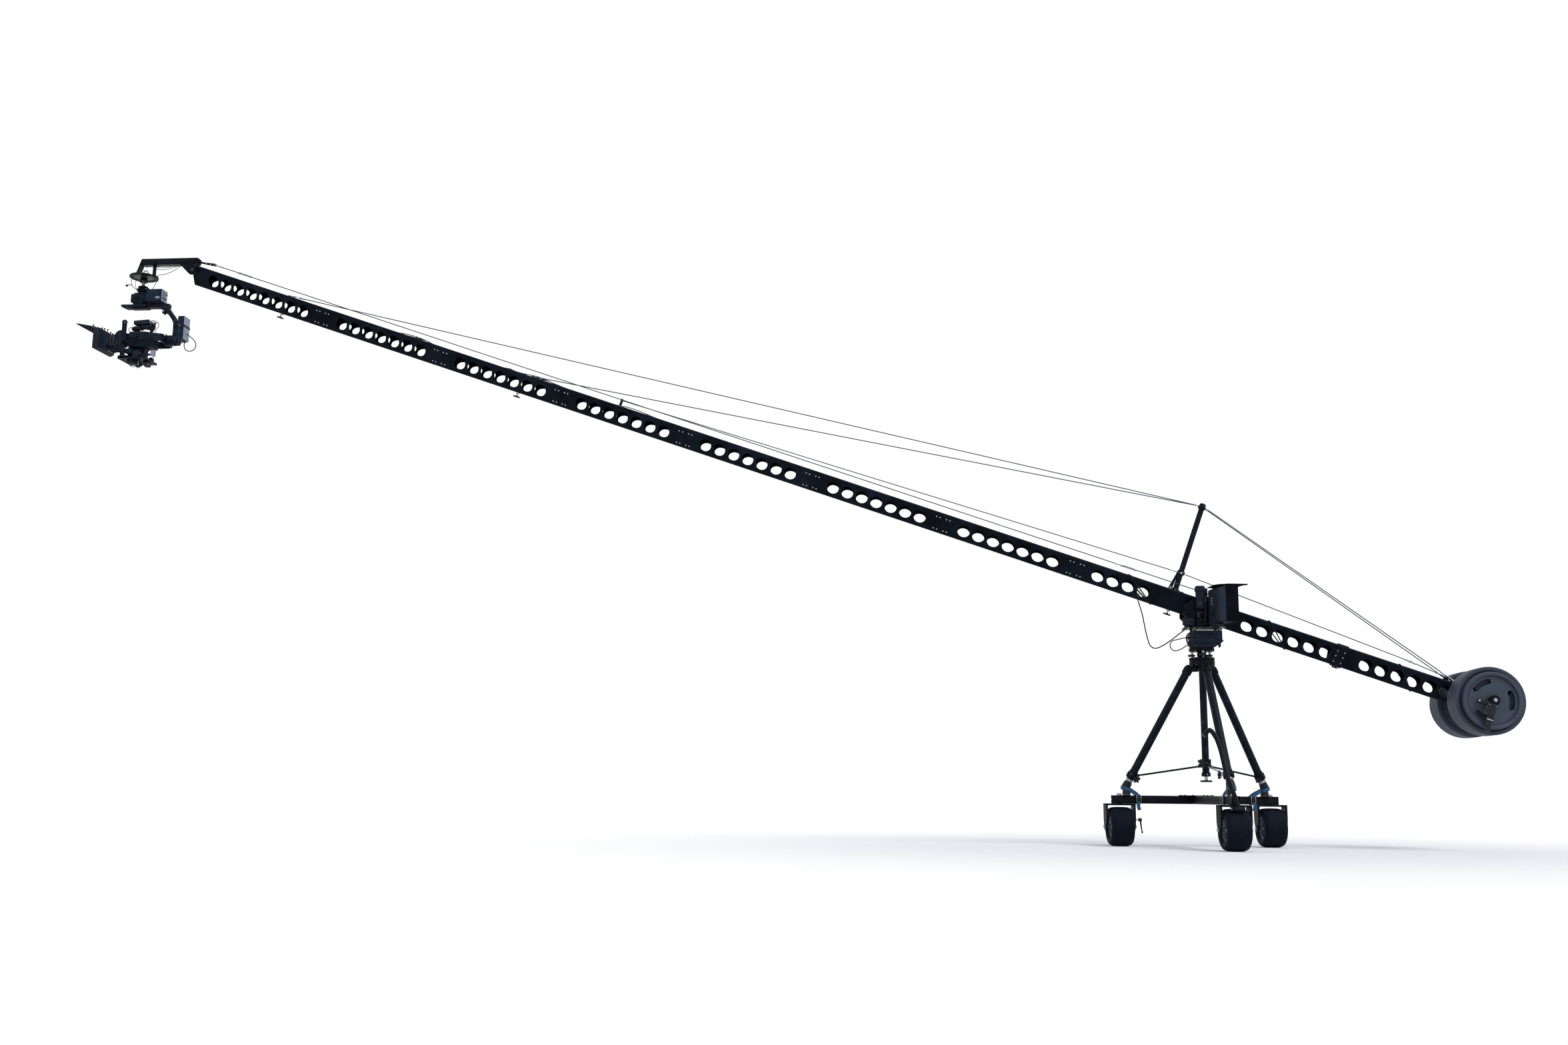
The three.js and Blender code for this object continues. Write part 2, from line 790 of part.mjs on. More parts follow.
function squareTube(x0, x1, y0, y1, alongX) {
  const inner = alongX
    ? block(x0 - overrun, x1 + overrun, y0 + barWall, y1 - barWall, barBottom + barWall, barTop - barWall)
    : block(x0 + barWall, x1 - barWall, y0 - overrun, y1 + overrun, barBottom + barWall, barTop - barWall);
  return [block(x0, x1, y0, y1, barBottom, barTop), inner];
}

const [crossBar, crossHollow] = squareTube(
  -halfSide - barOverhang,
  halfSide + barOverhang,
  crossY - halfBar,
  crossY + halfBar,
  true,
);
const [stemBar, stemHollow] = squareTube(-halfBar, halfBar, -wheelCircle - barOverhang, crossY - halfBar, false);
const gusset = block(
  -barSize * 2,
  barSize * 2,
  crossY - barSize * 2,
  crossY + halfBar,
  barTop - overrun,
  barTop + barWall,
);
const sleeves = wheelPlaces.map(([, x, y]) => rod(
  at(x, y, barBottom),
  at(x, y, barTop),
  kingpinRadius + barWall,
  14,
));
const kingpinBores = wheelPlaces.map(([, x, y]) => rod(
  at(x, y, barBottom - overrun),
  at(x, y, barTop + overrun),
  kingpinRadius + clearance,
  14,
));
const footPads = [150, 30, -90].map((turn) => {
  const x = legFootR * Math.cos(turn * degrees);
  const y = legFootR * Math.sin(turn * degrees);
  return block(x - footPadHalf, x + footPadHalf, y - footPadHalf, y + footPadHalf, barTop - overrun, barTop + barWall);
});
const bars = join(cut(join(crossBar, stemBar), crossHollow, stemHollow), gusset, ...footPads, ...sleeves);
add(dolly, 'dolly_frame', cut(bars, ...kingpinBores), 'blackMetal');

// Wheel forks: a U of flat bar with tapered legs and a kingpin through the frame
const forkTop = barBottom - clearance;
const forkOutside = forkInside / 2 + forkPlate;
const legHalf = forkDepth / 2;
const legEndHalf = legHalf * (2 / 3);

function forkSolid() {
  const outline = [
    [legHalf, forkTop],
    [-legHalf, forkTop],
    [-legHalf, wheelRadius + legHalf],
    ...arcXZ(0, wheelRadius, legEndHalf, 200, 340, 6),
    [legHalf, wheelRadius + legHalf],
  ];
  const pinHole = new THREE.Path();
  pinHole.absarc(0, wheelRadius, wheelPin + clearance, 0, 360 * degrees, false);
  const leg = plateXZ(outline, 0, forkPlate, [pinHole]);
  const nearLeg = leg.translate([0, -forkOutside, 0]);
  const farLeg = leg.translate([0, forkInside / 2, 0]);
  const web = block(-legHalf, legHalf, -forkOutside, forkOutside, forkTop - forkPlate, forkTop);
  const kingpin = rod(at(0, 0, forkTop - overrun), at(0, 0, barTop + nutHeight), kingpinRadius, 14);
  const nutSeat = barTop + clearance;
  const nut = rod(at(0, 0, nutSeat), at(0, 0, nutSeat + nutHeight), nutRadius, 6);
  return join(nearLeg, farLeg, web, kingpin, nut).rotate([0, 0, 90]);
}

// Slick tyre with rounded shoulders; the wheel also has a cast rim with spokes, a hub and its pin
function tyreSolid() {
  const half = tyreWidth / 2;
  const shoulder = half / 3;
  const bead = rimRadius - rimWall / 2;
  const profile = [
    [bead, -half * (3 / 4)],
    [bead + shoulder, -half],
    [wheelRadius - shoulder, -half],
    [wheelRadius - shoulder / 8, -half + shoulder * (3 / 4)],
    [wheelRadius, 0],
    [wheelRadius - shoulder / 8, half - shoulder * (3 / 4)],
    [wheelRadius - shoulder, half],
    [bead + shoulder, half],
    [bead, half * (3 / 4)],
    [bead, -half * (3 / 4)],
  ];
  return turned(profile, 20).rotate([0, 90, 0]);
}

function rimSolid() {
  const half = tyreWidth / 2;
  const lip = rimRadius - rimWall;
  const ring = turned([
    [lip, -half * (3 / 4)],
    [rimRadius, -half * (3 / 4)],
    [rimRadius, half * (3 / 4)],
    [lip, half * (3 / 4)],
    [lip - rimWall, half / 2],
    [lip - rimWall, -half / 2],
    [lip, -half * (3 / 4)],
  ], 20).rotate([0, 90, 0]);
  const hub = rod(at(-forkInside / 2 + 2 * clearance, 0, 0), at(forkInside / 2 - 2 * clearance, 0, 0), hubRadius, 14);
  const spokes = [];
  for (let i = 0; i < 5; i += 1) {
    const spoke = block(-half / 2, half / 2, -rimWall, rimWall, hubRadius / 2, lip);
    spokes.push(spoke.rotate([72 * i, 0, 0]));
  }
  const pin = rod(at(-forkOutside - forkPlate, 0, 0), at(forkOutside + forkPlate, 0, 0), wheelPin, 12);
  return join(ring, hub, ...spokes, pin);
}

// Two ears on the front fork take the pin of the tow bar
const towEars = [-1, 1].map((side) => {
  const [x0, x1] = side < 0
    ? [-towEarGap - towEarThick, -towEarGap]
    : [towEarGap, towEarGap + towEarThick];
  return block(x0, x1, -towReach - towEarThick * 1.5, -legHalf + overrun,
    forkTop - towDrop - towEarThick * 1.5, forkTop - overrun);
});
const tyreRoom = rod(
  at(-towEarGap * 2, 0, wheelRadius),
  at(towEarGap * 2, 0, wheelRadius),
  wheelRadius + towEarThick,
  20,
);
const towEarBore = rod(
  at(-towEarGap * 2, -towReach, forkTop - towDrop),
  at(towEarGap * 2, -towReach, forkTop - towDrop),
  towPinRadius + clearance,
  10,
);

for (const [name, x, y] of wheelPlaces) {
  const plain = forkSolid();
  const fork = name === 'front' ? join(plain, cut(join(...towEars), towEarBore, tyreRoom)) : plain;
  add(dolly, `fork_${name}`, fork.translate([x, y, 0]), 'blackMetal');
  add(dolly, `wheel_${name}`, join(tyreSolid(), rimSolid()).translate([x, y, wheelRadius]), 'rubber');
}

// Brake lever: screw with a ratchet handle on the inner leg of the left fork
const brakeX = -halfSide + forkOutside + clearance;
const brakeZ = wheelRadius + legHalf;
const brakeScrew = rod(at(brakeX, crossY, brakeZ), at(brakeX + forkPlate * 3, crossY, brakeZ), kingpinRadius / 2, 8);
const brakeHub = rod(
  at(brakeX + forkPlate * 2, crossY, brakeZ),
  at(brakeX + forkPlate * 4, crossY, brakeZ),
  kingpinRadius,
  10,
);
const brakeHandle = rod(
  at(brakeX + forkPlate * 3, crossY, brakeZ),
  at(brakeX + forkPlate * 4, crossY, brakeZ - forkDepth),
  kingpinRadius / 2,
  8,
);
add(dolly, 'brake_lever', join(brakeScrew, brakeHub, brakeHandle), 'plastic');

// Tow bar: bent tube hinged between two ears of the front fork
const towHingeY = -wheelCircle - towReach;
const towHingeZ = forkTop - towDrop;
const towShares = [
  [0, 0, 0],
  [0.026, 0.011, 0.133],
  [0.066, 0.047, 0.274],
  [0.111, 0.111, 0.497],
  [0.144, 0.192, 0.763],
  [0.193, 0.225, 0.921],
  [0.26, 0.235, 1],
  [0.323, 0.24, 0.939],
];
const towRoute = towShares.map(([x, y, z]) => at(
  -x * towBarHeight,
  towHingeY + y * towBarHeight,
  towHingeZ + z * towBarHeight,
));
const towBoss = rod(
  at(-towEarGap + clearance, towHingeY, towHingeZ),
  at(towEarGap - clearance, towHingeY, towHingeZ),
  towBarRadius,
  12,
);
const towPin = rod(
  at(-towEarGap - towEarThick * 1.5, towHingeY, towHingeZ),
  at(towEarGap + towEarThick * 1.5, towHingeY, towHingeZ),
  towPinRadius,
  10,
);
add(dolly, 'tow_bar', join(bentRod(towRoute, towBarRadius, 20, 8), towBoss, towPin), 'steel');

// Tripod legs: tube, narrower foot, and a foot block that stands on the frame

const legTop = (angle) => at(legTopR * Math.cos(angle), legTopR * Math.sin(angle), legTopZ);
const legFoot = (angle) => at(legFootR * Math.cos(angle), legFootR * Math.sin(angle), legFootZ);
const legAngles = [['left', 150], ['right', 30], ['front', -90]];
for (const [name, turn] of legAngles) {
  const angle = turn * degrees;
  const top = legTop(angle);
  const foot = legFoot(angle);
  const down = foot.clone().sub(top).normalize();
  const tube = rod(top, foot, legRadius, 12);
  const spike = rod(foot, foot.clone().addScaledVector(down, footLength), footRadius, 12);
  const seat = foot.clone().setZ(barTop + clearance + barWall);
  const shoe = rod(seat, foot, footRadius * shoeShare, 12, footRadius);
  const floorTrim = block(
    -wheelCircle * 2,
    wheelCircle * 2,
    -wheelCircle * 2,
    wheelCircle * 2,
    0,
    barTop + clearance + barWall,
  );
  add(dolly, `leg_${name}`, cut(join(tube, spike, shoe), floorTrim), 'blackMetal');
}

// Crown: plate with three leg sockets
const crownBottom = crownTop - crownThick;
const crownPlate = rod(at(0, 0, crownBottom), at(0, 0, crownTop), crownRadius, 24);
const sockets = legAngles.map(([, turn]) => {
  const angle = turn * degrees;
  const down = legFoot(angle).sub(legTop(angle)).normalize();
  const top = legTop(angle).addScaledVector(down, -legRadius);
  return rod(top, top.clone().addScaledVector(down, legRadius * 3), legRadius * 1.35, 12);
});
const socketBores = legAngles.map(([, turn]) => {
  const angle = turn * degrees;
  const down = legFoot(angle).sub(legTop(angle)).normalize();
  const top = legTop(angle).addScaledVector(down, -clearance);
  return rod(top, top.clone().addScaledVector(down, legRadius * 4), legRadius + clearance, 12);
});
const columnSocket = rod(at(0, 0, crownBottom - legRadius), at(0, 0, crownBottom + overrun), columnRadius * 1.4, 16);
const columnBore = rod(
  at(0, 0, crownBottom - legRadius - overrun),
  at(0, 0, crownBottom),
  columnRadius + clearance,
  16,
);
const crownTrim = rod(at(0, 0, crownTop), at(0, 0, crownTop + crownRadius), crownRadius * 2, 24);
add(dolly, 'crown', cut(join(crownPlate, ...sockets, columnSocket), ...socketBores, columnBore, crownTrim),
  'blackMetal');

// Centre column with its lower clamp ring and foot plate
const columnTop = crownBottom - clearance;
const ringZ = columnFootZ + columnFootRadius;
const column = join(
  rod(at(0, 0, ringZ), at(0, 0, columnTop), columnRadius, 16),
  rod(at(0, 0, ringZ - overrun), at(0, 0, ringZ + columnRadius), columnRadius * 1.3, 16),
  rod(at(0, 0, columnFootZ + overrun), at(0, 0, ringZ + overrun), columnRadius / 2, 12),
  rod(at(0, 0, columnFootZ), at(0, 0, columnFootZ + columnRadius / 2), columnFootRadius, 18),
);
add(dolly, 'centre_column', column, 'blackMetal');

// Spreader: collar on the column, three arms and a clamp round each leg
const collar = rod(at(0, 0, spreaderZ - collarHeight / 2), at(0, 0, spreaderZ + collarHeight / 2), collarRadius, 16);
const collarBore = rod(
  at(0, 0, spreaderZ - collarHeight),
  at(0, 0, spreaderZ + collarHeight),
  columnRadius + clearance,
  16,
);
const armParts = [];
const legBores = [];
for (const [, turn] of legAngles) {
  const angle = turn * degrees;
  const top = legTop(angle);
  const foot = legFoot(angle);
  const share = (top.z - spreaderLegZ) / (top.z - foot.z);
  const place = top.clone().lerp(foot, share);
  const down = foot.clone().sub(top).normalize();
  const clampHalf = legRadius * (2 / 3);
  const low = place.clone().addScaledVector(down, clampHalf);
  const high = place.clone().addScaledVector(down, -clampHalf);
  armParts.push(rod(high, low, legRadius * 1.35, 12));
  legBores.push(rod(
    place.clone().addScaledVector(down, -legRadius * 2),
    place.clone().addScaledVector(down, legRadius * 2),
    legRadius + clearance,
    12,
  ));
  const outward = at(Math.cos(angle), Math.sin(angle), 0);
  const start = outward.clone().multiplyScalar(collarRadius - overrun).setZ(spreaderZ - collarHeight / 3);
  const end = place.clone().addScaledVector(outward, -legRadius * 1.2);
  armParts.push(rod(start, end, spreaderRod, 8));
}
add(dolly, 'spreader', cut(join(collar, ...armParts), collarBore, ...legBores), 'blackMetal');

// Star knob that clamps the collar, facing the near left side
const knobTurn = -128;
const knobAxis = at(Math.cos(knobTurn * degrees), Math.sin(knobTurn * degrees), 0);
const knobSeat = knobAxis.clone().multiplyScalar(collarRadius + clearance).setZ(spreaderZ);
const knob = join(
  starKnob(knobRadius, knobThick).translate([0, 0, knobThick]),
  rod(at(0, 0, 0), at(0, 0, knobThick + overrun), knobRadius / 4, 8),
);
add(dolly, 'spreader_knob',
  knob.rotate([0, 90, knobTurn]).translate([knobSeat.x, knobSeat.y, knobSeat.z]), 'plastic');

// Webbing straps: each goes round the frame bar beside the fork and up round the foot of the leg
for (const [name, turn] of legAngles) {
  const angle = turn * degrees;
  const alongX = name !== 'front';
  const foot = legFoot(angle);
  const down = foot.clone().sub(legTop(angle)).normalize();
  const half = halfBar + 2 * clearance;
  const swivelRoom = Math.hypot(forkOutside, legHalf);
  const forkEdge = alongX ? halfSide - swivelRoom : wheelCircle - swivelRoom - clearance;
  const place = forkEdge - clearance - strapWidth / 2;
  const low = barBottom - clearance;
  const high = barTop + barWall + strapWidth / 2;
  const sign = alongX ? Math.sign(foot.x) : -1;
  const band = (inset, wide, z0, z1) => (alongX
    ? block(sign * place - wide, sign * place + wide, crossY - inset, crossY + inset, z0, z1)
    : block(-inset, inset, sign * place - wide, sign * place + wide, z0, z1));
  const outer = band(half + strapThick, strapWidth / 2, low - strapThick, high + strapThick);
  const inner = band(half, strapWidth, low, high);
  add(dolly, `strap_${name}`, cut(outer, inner), 'blueWebbing');
}

// Levelling base: upper plate on a ball, with three screws and star knobs

const lowTop = crownTop + clearance;
const screws = [];
for (let i = 0; i < 3; i += 1) {
  const angle = (30 + 120 * i) * degrees;
  const x = levelScrewCircle * Math.cos(angle);
  const y = levelScrewCircle * Math.sin(angle);
  screws.push(rod(at(x, y, lowTop), at(x, y, baseTop - overrun), levelScrewRadius, 8));
  const knobZ = (lowTop + baseTop - basePlate) / 2;
  screws.push(starKnob(levelKnobRadius, levelScrewRadius * 2, 3).translate([x, y, knobZ]));
}
const levelling = join(
  rod(at(0, 0, lowTop), at(0, 0, lowTop + basePlate), baseRadius, 24),
  rod(at(0, 0, lowTop + overrun), at(0, 0, baseTop - overrun), ballRadius, 16),
  rod(at(0, 0, baseTop - basePlate), at(0, 0, baseTop), baseRadius, 24),
  ...screws,
);
add(pan, 'levelling_base', levelling, 'blackMetal');

// Pan turntable: cone from the levelling plate up to the electronics box
const turntable = turned([
  [0, baseTop + clearance],
  [baseRadius * (7 / 8), baseTop + clearance],
  [baseRadius, baseTop + (panBoxBottom - baseTop) / 3],
  [coneTopRadius * (7 / 8), panBoxBottom + overrun],
  [0, panBoxBottom + overrun],
], 24);
const halfBoxW = panBoxWidth / 2;
const halfBoxD = panBoxDepth / 2;
const boxRib = panBoxWidth / 24;
const boxX0 = boxShift - halfBoxW;
const boxX1 = boxShift + halfBoxW;
const boxTaper = plateXZ([
  [-baseRadius * (2 / 3), baseTop + clearance],
  [baseRadius * (7 / 8), baseTop + clearance],
  [boxX1, panBoxBottom + overrun],
  [boxX0, panBoxBottom + overrun],
], -halfBoxD * (5 / 6), halfBoxD * (5 / 6));
const glandTopEnd = at(boxX0 - glandRadius * 6, -glandY, panBoxTop - panBoxWidth / 4);
const glandLowEnd = at(boxX0 - glandRadius * 3, -glandY, panBoxBottom - glandRadius * 2);
const glands = [
  rod(glandTopEnd.clone().setX(boxX0 + overrun), glandTopEnd, glandRadius, 10),
  rod(glandLowEnd.clone().setX(0), glandLowEnd, glandRadius * (4 / 5), 10),
];
const panBox = join(
  turntable,
  ...glands,
  boxTaper,
  block(boxX0, boxX1, -halfBoxD, halfBoxD, panBoxBottom, panBoxTop),
  block(boxX0 - boxRib, boxX1 + boxRib, -halfBoxD + boxRib, halfBoxD - boxRib,
    panBoxBottom + boxRib, panBoxBottom + 2 * boxRib),
);
add(pan, 'pan_turntable', panBox, 'plastic');

// Platform with the fulcrum yoke, the levelling anchor and the monitor bracket

const platformBottom = platformTop - platformThick;
const platformHalf = platformDepth / 2;
const deck = block(-platformLength * 0.42, platformLength * 0.58, -platformHalf, platformHalf,
  platformBottom, platformTop);
const deckNotch = block(deckNotchStart, platformLength, -deckNotchHalf, deckNotchHalf,
  platformBottom - overrun, platformTop + overrun);
const standoffs = [];
for (const x of [boxX0 + boxRib * 2, boxX1 - boxRib * 2]) {
  for (const y of [-halfBoxD * (3 / 4), halfBoxD * (3 / 4)]) {
    standoffs.push(rod(at(x, y, panBoxTop + clearance), at(x, y, platformTop - overrun), axleRadius * (2 / 3), 10));
  }
}
const pivotEye = 68;
const yokeHole = new THREE.Path();
yokeHole.absarc(0, pivotHeight, axleRadius + clearance, 0, 360 * degrees, false);
const anchorZ = pivotHeight + leverZ;
const yokeOutline = [
  [-yokeFrontFoot, platformTop - overrun],
  [yokeFoot, platformTop - overrun],
  [leverX + leverEye, anchorZ],
  [leverX + leverEye / 2, anchorZ + leverEye],
  [leverX - leverEye / 2, anchorZ + leverEye],
  ...arcXZ(0, pivotHeight, pivotEye, 60, 130, 5),
  [-yokeFrontReach, pivotHeight + yokePlate],
  [-yokeFrontReach, platformTop + yokeFrontStep],
];
const nearYoke = plateXZ(yokeOutline, -cheekInner - yokePlate, -cheekInner, [yokeHole]);
const farYoke = plateXZ(yokeOutline, cheekInner, cheekInner + yokePlate, [yokeHole.clone()]);
const anchorPin = rod(at(leverX, -cheekInner - yokePlate, anchorZ), at(leverX, cheekInner + yokePlate, anchorZ),
  leverPin, 10);
const monitorArm = block(monitorX - monitorArmWidth / 2, monitorX + monitorArmWidth / 2,
  -monitorY - monitorArmWidth / 2, -platformHalf + monitorArmWidth / 4,
  platformBottom - platformThick, platformBottom + overrun);
const armStep = block(monitorX - monitorArmWidth / 2, monitorX + monitorArmWidth / 2,
  -platformHalf + overrun, -platformHalf + monitorArmWidth / 4, platformBottom - overrun, platformBottom + overrun);
const armCut = block(monitorX - monitorArmWidth, monitorX + monitorArmWidth,
  -monitorY - monitorArmWidth, -platformHalf, monitorZ - clearance, platformTop);
const turnAngle = monitorTurn * degrees;
const monitorPivotX = monitorX + (monitorThick / 2) * Math.cos(turnAngle);
const monitorPivotY = -monitorY + (monitorThick / 2) * Math.sin(turnAngle);
const monitorPin = rod(
  at(monitorPivotX, monitorPivotY, platformBottom - platformThick / 2),
  at(monitorPivotX, monitorPivotY, monitorZ + monitorPinDepth),
  monitorPinRadius,
  12,
);
const cheekFace = -cheekInner - yokePlate;
const batteryPads = [
  block(-batteryWidth * (5 / 6), -batteryWidth / 2, cheekFace - yokePlate + clearance, cheekFace + overrun,
    batteryBottom - yokePlate, batteryBottom + yokePlate),
  block(-batteryWidth * (5 / 6), -batteryWidth / 2, cheekFace - yokePlate + clearance, cheekFace + overrun,
    pivotHeight + bearingRadius, pivotHeight + bearingRadius + yokePlate * 2),
];
add(pan, 'fulcrum_yoke', join(cut(deck, deckNotch), ...standoffs, nearYoke, farYoke, anchorPin,
  cut(monitorArm, armCut), armStep, monitorPin, ...batteryPads), 'blackMetal');

// Tilt axle with its end caps
const axleHalf = cheekInner + yokePlate;
const tiltAxle = join(
  rod(at(0, -axleHalf - overrun, 0), at(0, axleHalf + overrun, 0), axleRadius, 16),
  rod(at(0, axleHalf + clearance, 0), at(0, axleHalf + yokePlate, 0), bearingRadius, 16),
  rod(at(0, -axleHalf - yokePlate / 2, 0), at(0, -axleHalf - clearance, 0), bearingRadius, 16),
);
add(boom, 'tilt_axle', tiltAxle, 'steel');

// Vertical battery on the near cheek
const batteryFront = -cheekInner - yokePlate - yokePlate;
const battery = block(-batteryWidth * (5 / 6), batteryWidth / 6, batteryFront - batteryDepth, batteryFront,
  batteryBottom, batteryBottom + batteryHeight);
const batteryLip = block(-batteryWidth * (5 / 6) - yokePlate / 2, batteryWidth / 6 + yokePlate / 2,
  batteryFront - batteryDepth - yokePlate / 2, batteryFront, batteryBottom + batteryHeight * (3 / 4),
  batteryBottom + batteryHeight - yokePlate);
add(pan, 'battery', join(battery, batteryLip), 'plastic');

// Monitor and its flared sun hood, turned towards the operator at the rear
const monitorGroup = new THREE.Group();
monitorGroup.position.set(monitorX, -monitorY, monitorZ);
monitorGroup.rotation.z = monitorTurn * degrees;
pan.add(monitorGroup);
const halfScreen = monitorWidth / 2;
const screenX = monitorThick;
const monitorCase = cut(
  block(0, screenX, -halfScreen, halfScreen, 0, monitorHeight),
  rod(at(screenX / 2, 0, -overrun), at(screenX / 2, 0, monitorPinDepth + overrun), monitorPinRadius + clearance, 16),
  block(screenX - hoodWall, screenX + overrun, -halfScreen + 2 * hoodWall, halfScreen - 2 * hoodWall,
    2 * hoodWall, monitorHeight - 2 * hoodWall),
);
add(monitorGroup, 'monitor', monitorCase, 'greyHousing');

const hoodNear = screenX + clearance;
const sideShare = 0.12;
const flare = (grow, x) => [
  [-halfScreen - grow * sideShare, Math.max(-grow, 0) * sideShare],
  [halfScreen + grow * sideShare, Math.max(-grow, 0) * sideShare],
  [halfScreen + grow * sideShare, monitorHeight + grow],
  [-halfScreen - grow * sideShare, monitorHeight + grow],
].map(([y, z]) => at(x, y, z));

function hoodShell() {
  const rings = [
    flare(0, hoodNear),
    flare(hoodFlare, hoodNear + hoodDepth),
    flare(hoodFlare - hoodWall, hoodNear + hoodDepth),
    flare(-hoodWall, hoodNear),
  ];
  const positions = [];
  rings.forEach((ring) => ring.forEach((p) => positions.push(p.x, p.y, p.z)));
  const index = [];
  for (let r = 0; r < 4; r += 1) {
    for (let i = 0; i < 4; i += 1) {
      const a = r * 4 + i;
      const b = r * 4 + ((i + 1) % 4);
      const c = ((r + 1) % 4) * 4 + ((i + 1) % 4);
      const d = ((r + 1) % 4) * 4 + i;
      index.push(a, b, c, a, c, d);
    }
  }
  const shell = new THREE.BufferGeometry();
  shell.setAttribute('position', new THREE.Float32BufferAttribute(positions, 3));
  shell.setIndex(index);
  return solid(shell);
}
const hoodTrim = block(hoodNear + hoodSideDepth, hoodNear + hoodDepth * 2, -monitorWidth, monitorWidth,
  -monitorHeight, monitorHeight * (7 / 8));
add(monitorGroup, 'monitor_hood', cut(hoodShell(), hoodTrim), 'plastic');

// Small control box on the near left corner of the platform
const controlNear = -cheekInner - yokePlate - clearance;
const controlBlock = block(-controlFront, -controlFront + controlLength, controlNear - controlWidth, controlNear,
  platformTop + clearance, platformTop + clearance + controlHeight);
const controlGland = rod(
  at(-controlFront + controlLength / 5, controlNear - controlWidth / 2, platformTop - glandRadius),
  at(-controlFront + controlLength / 5, controlNear - controlWidth / 2, platformTop + overrun),
  glandRadius,
  10,
);
add(pan, 'control_box', join(controlBlock, controlGland), 'plastic');

// Levelling bracket and level arm of the remote head

const armBottom = armDrop;
const armTop = armDrop + armHeight;
const armFront = -armLength + cheekPlate / 2;
const armRear = cheekPlate / 2;
const armTube = cut(
  block(armFront, armRear, -armWidth / 2, armWidth / 2, armBottom, armTop),
  block(armFront - overrun, armRear + overrun, -armWidth / 2 + armWall, armWidth / 2 - armWall,
    armBottom + armWall, armTop - armWall),
);
const cheekDirection = at(-1, 0, 1).normalize();
const cheekRoot = cheekDirection.clone().multiplyScalar(cheekReach + cheekWidth / 4);
const cheekSide = at(1, 0, 1).normalize().multiplyScalar(cheekWidth / 2);
const cheekOutline = [
  [cheekRoot.x + cheekSide.x, cheekRoot.z + cheekSide.z],
  [cheekRoot.x - cheekSide.x, cheekRoot.z - cheekSide.z],
  ...arcXZ(0, 0, cheekWidth / 2, 225, 405, 8),
];
const cheekTrim = block(-armLength, armLength, -2 * cheekGap, 2 * cheekGap, armTop, armTop + armLength);
const cheeks = [-1, 1].map((side) => {
  const [y0, y1] = side < 0 ? [-cheekGap - cheekPlate, -cheekGap] : [cheekGap, cheekGap + cheekPlate];
  return plateXZ(cheekOutline, y0, y1);
});
const crossBlock = block(-cheekReach, -cheekReach / 4, -cheekGap - overrun, cheekGap + overrun,
  armBottom + armWall, armTop - armWall);
const leverOutline = [
  [-cheekReach / 4 - overrun, armBottom + armWall],
  [leverX / 3, armBottom - armWall],
  ...arcXZ(leverX, leverZ, leverEye, -60, 100, 6),
  [leverX / 3, armBottom + armWall * 2],
  [0, armTop - armWall],
  [-cheekReach / 4 - overrun, armTop - armWall],
];
const lever = plateXZ(leverOutline, -linkY + leverPlate / 2 + clearance, -linkY + leverPlate * 1.5 + clearance);
const leverPinRod = rod(
  at(leverX, -linkY - leverPlate, leverZ),
  at(leverX, -linkY + leverPlate, leverZ),
  leverPin,
  10,
);
const slant = armHeight * (2 / 3);
const frontPlate = slatXZ(
  at(armFront + cheekPlate / 2, 0, armTop - cheekPlate),
  at(armFront - slant, 0, 0),
  cheekPlate,
  -armWidth / 2,
  armWidth / 2,
);
const rearPost = block(-isolatorX + diskRadius * (2 / 3), -isolatorX + diskRadius * (2 / 3) + armHeight / 2,
  -armWidth / 2, armWidth / 2, -diskTop, armBottom + overrun);
const hanger = rod(at(-isolatorX, 0, -diskTop), at(-isolatorX, 0, armBottom + overrun), neckRadius, 14);
const armTrim = block(-2 * armLength, armLength, -armWidth, armWidth, -armLength, -diskTop + clearance);
const headPinEnd = cheekGap + cheekPlate;
const headPin = join(
  rod(at(0, -headPinEnd - overrun, 0), at(0, headPinEnd + overrun, 0), headPinRadius, 12),
  rod(at(0, -headPinEnd - cheekPlate / 2, 0), at(0, -headPinEnd + overrun, 0), headPinRadius * 1.6, 12),
  rod(at(0, headPinEnd - overrun, 0), at(0, headPinEnd + cheekPlate / 2, 0), headPinRadius * 1.6, 12),
);
const levelArm = cut(join(armTube, crossBlock, lever, leverPinRod, frontPlate, rearPost, hanger), armTrim);
add(head, 'level_arm', join(levelArm, cut(join(...cheeks), cheekTrim), headPin), 'blackMetal');

// Damping disk with the wire isolator and the motor it carries
const diskUp = -diskTop;
const diskDown = diskUp - diskThick;
const neckBottom = diskDown - neckLength;
const isolatorBottom = neckBottom - isolatorDrop;
const rimStep = diskThick / 3;
const disk = turned([
  [0, neckBottom],
  [neckRadius, neckBottom],
  [neckRadius, diskDown + rimStep],
  [diskRadius - 2 * rimStep, diskDown + rimStep],
  [diskRadius - 2 * rimStep, diskDown],
  [diskRadius - rimStep, diskDown],
  [diskRadius, diskDown + rimStep / 2],
  [diskRadius, diskUp - rimStep],
  [diskRadius - rimStep, diskUp],
  [0, diskUp],
], 24);
const wires = [];
for (let i = 0; i < 6; i += 1) {
  const angle = 60 * i * degrees;
  const cross = 50 * degrees;
  const reach = neckRadius - wireRadius;
  const top = at(reach * Math.cos(angle), reach * Math.sin(angle), neckBottom + overrun);
  const low = at(reach * Math.cos(angle + cross), reach * Math.sin(angle + cross), isolatorBottom - overrun);
  wires.push(rod(top, low, wireRadius, 6));
}
const headMotor = rod(at(0, 0, isolatorBottom - headMotorDrop), at(0, 0, isolatorBottom), headMotorRadius, 18);
add(head, 'damping_disk', join(disk, ...wires, headMotor).translate([-isolatorX, 0, 0]), 'blackMetal');

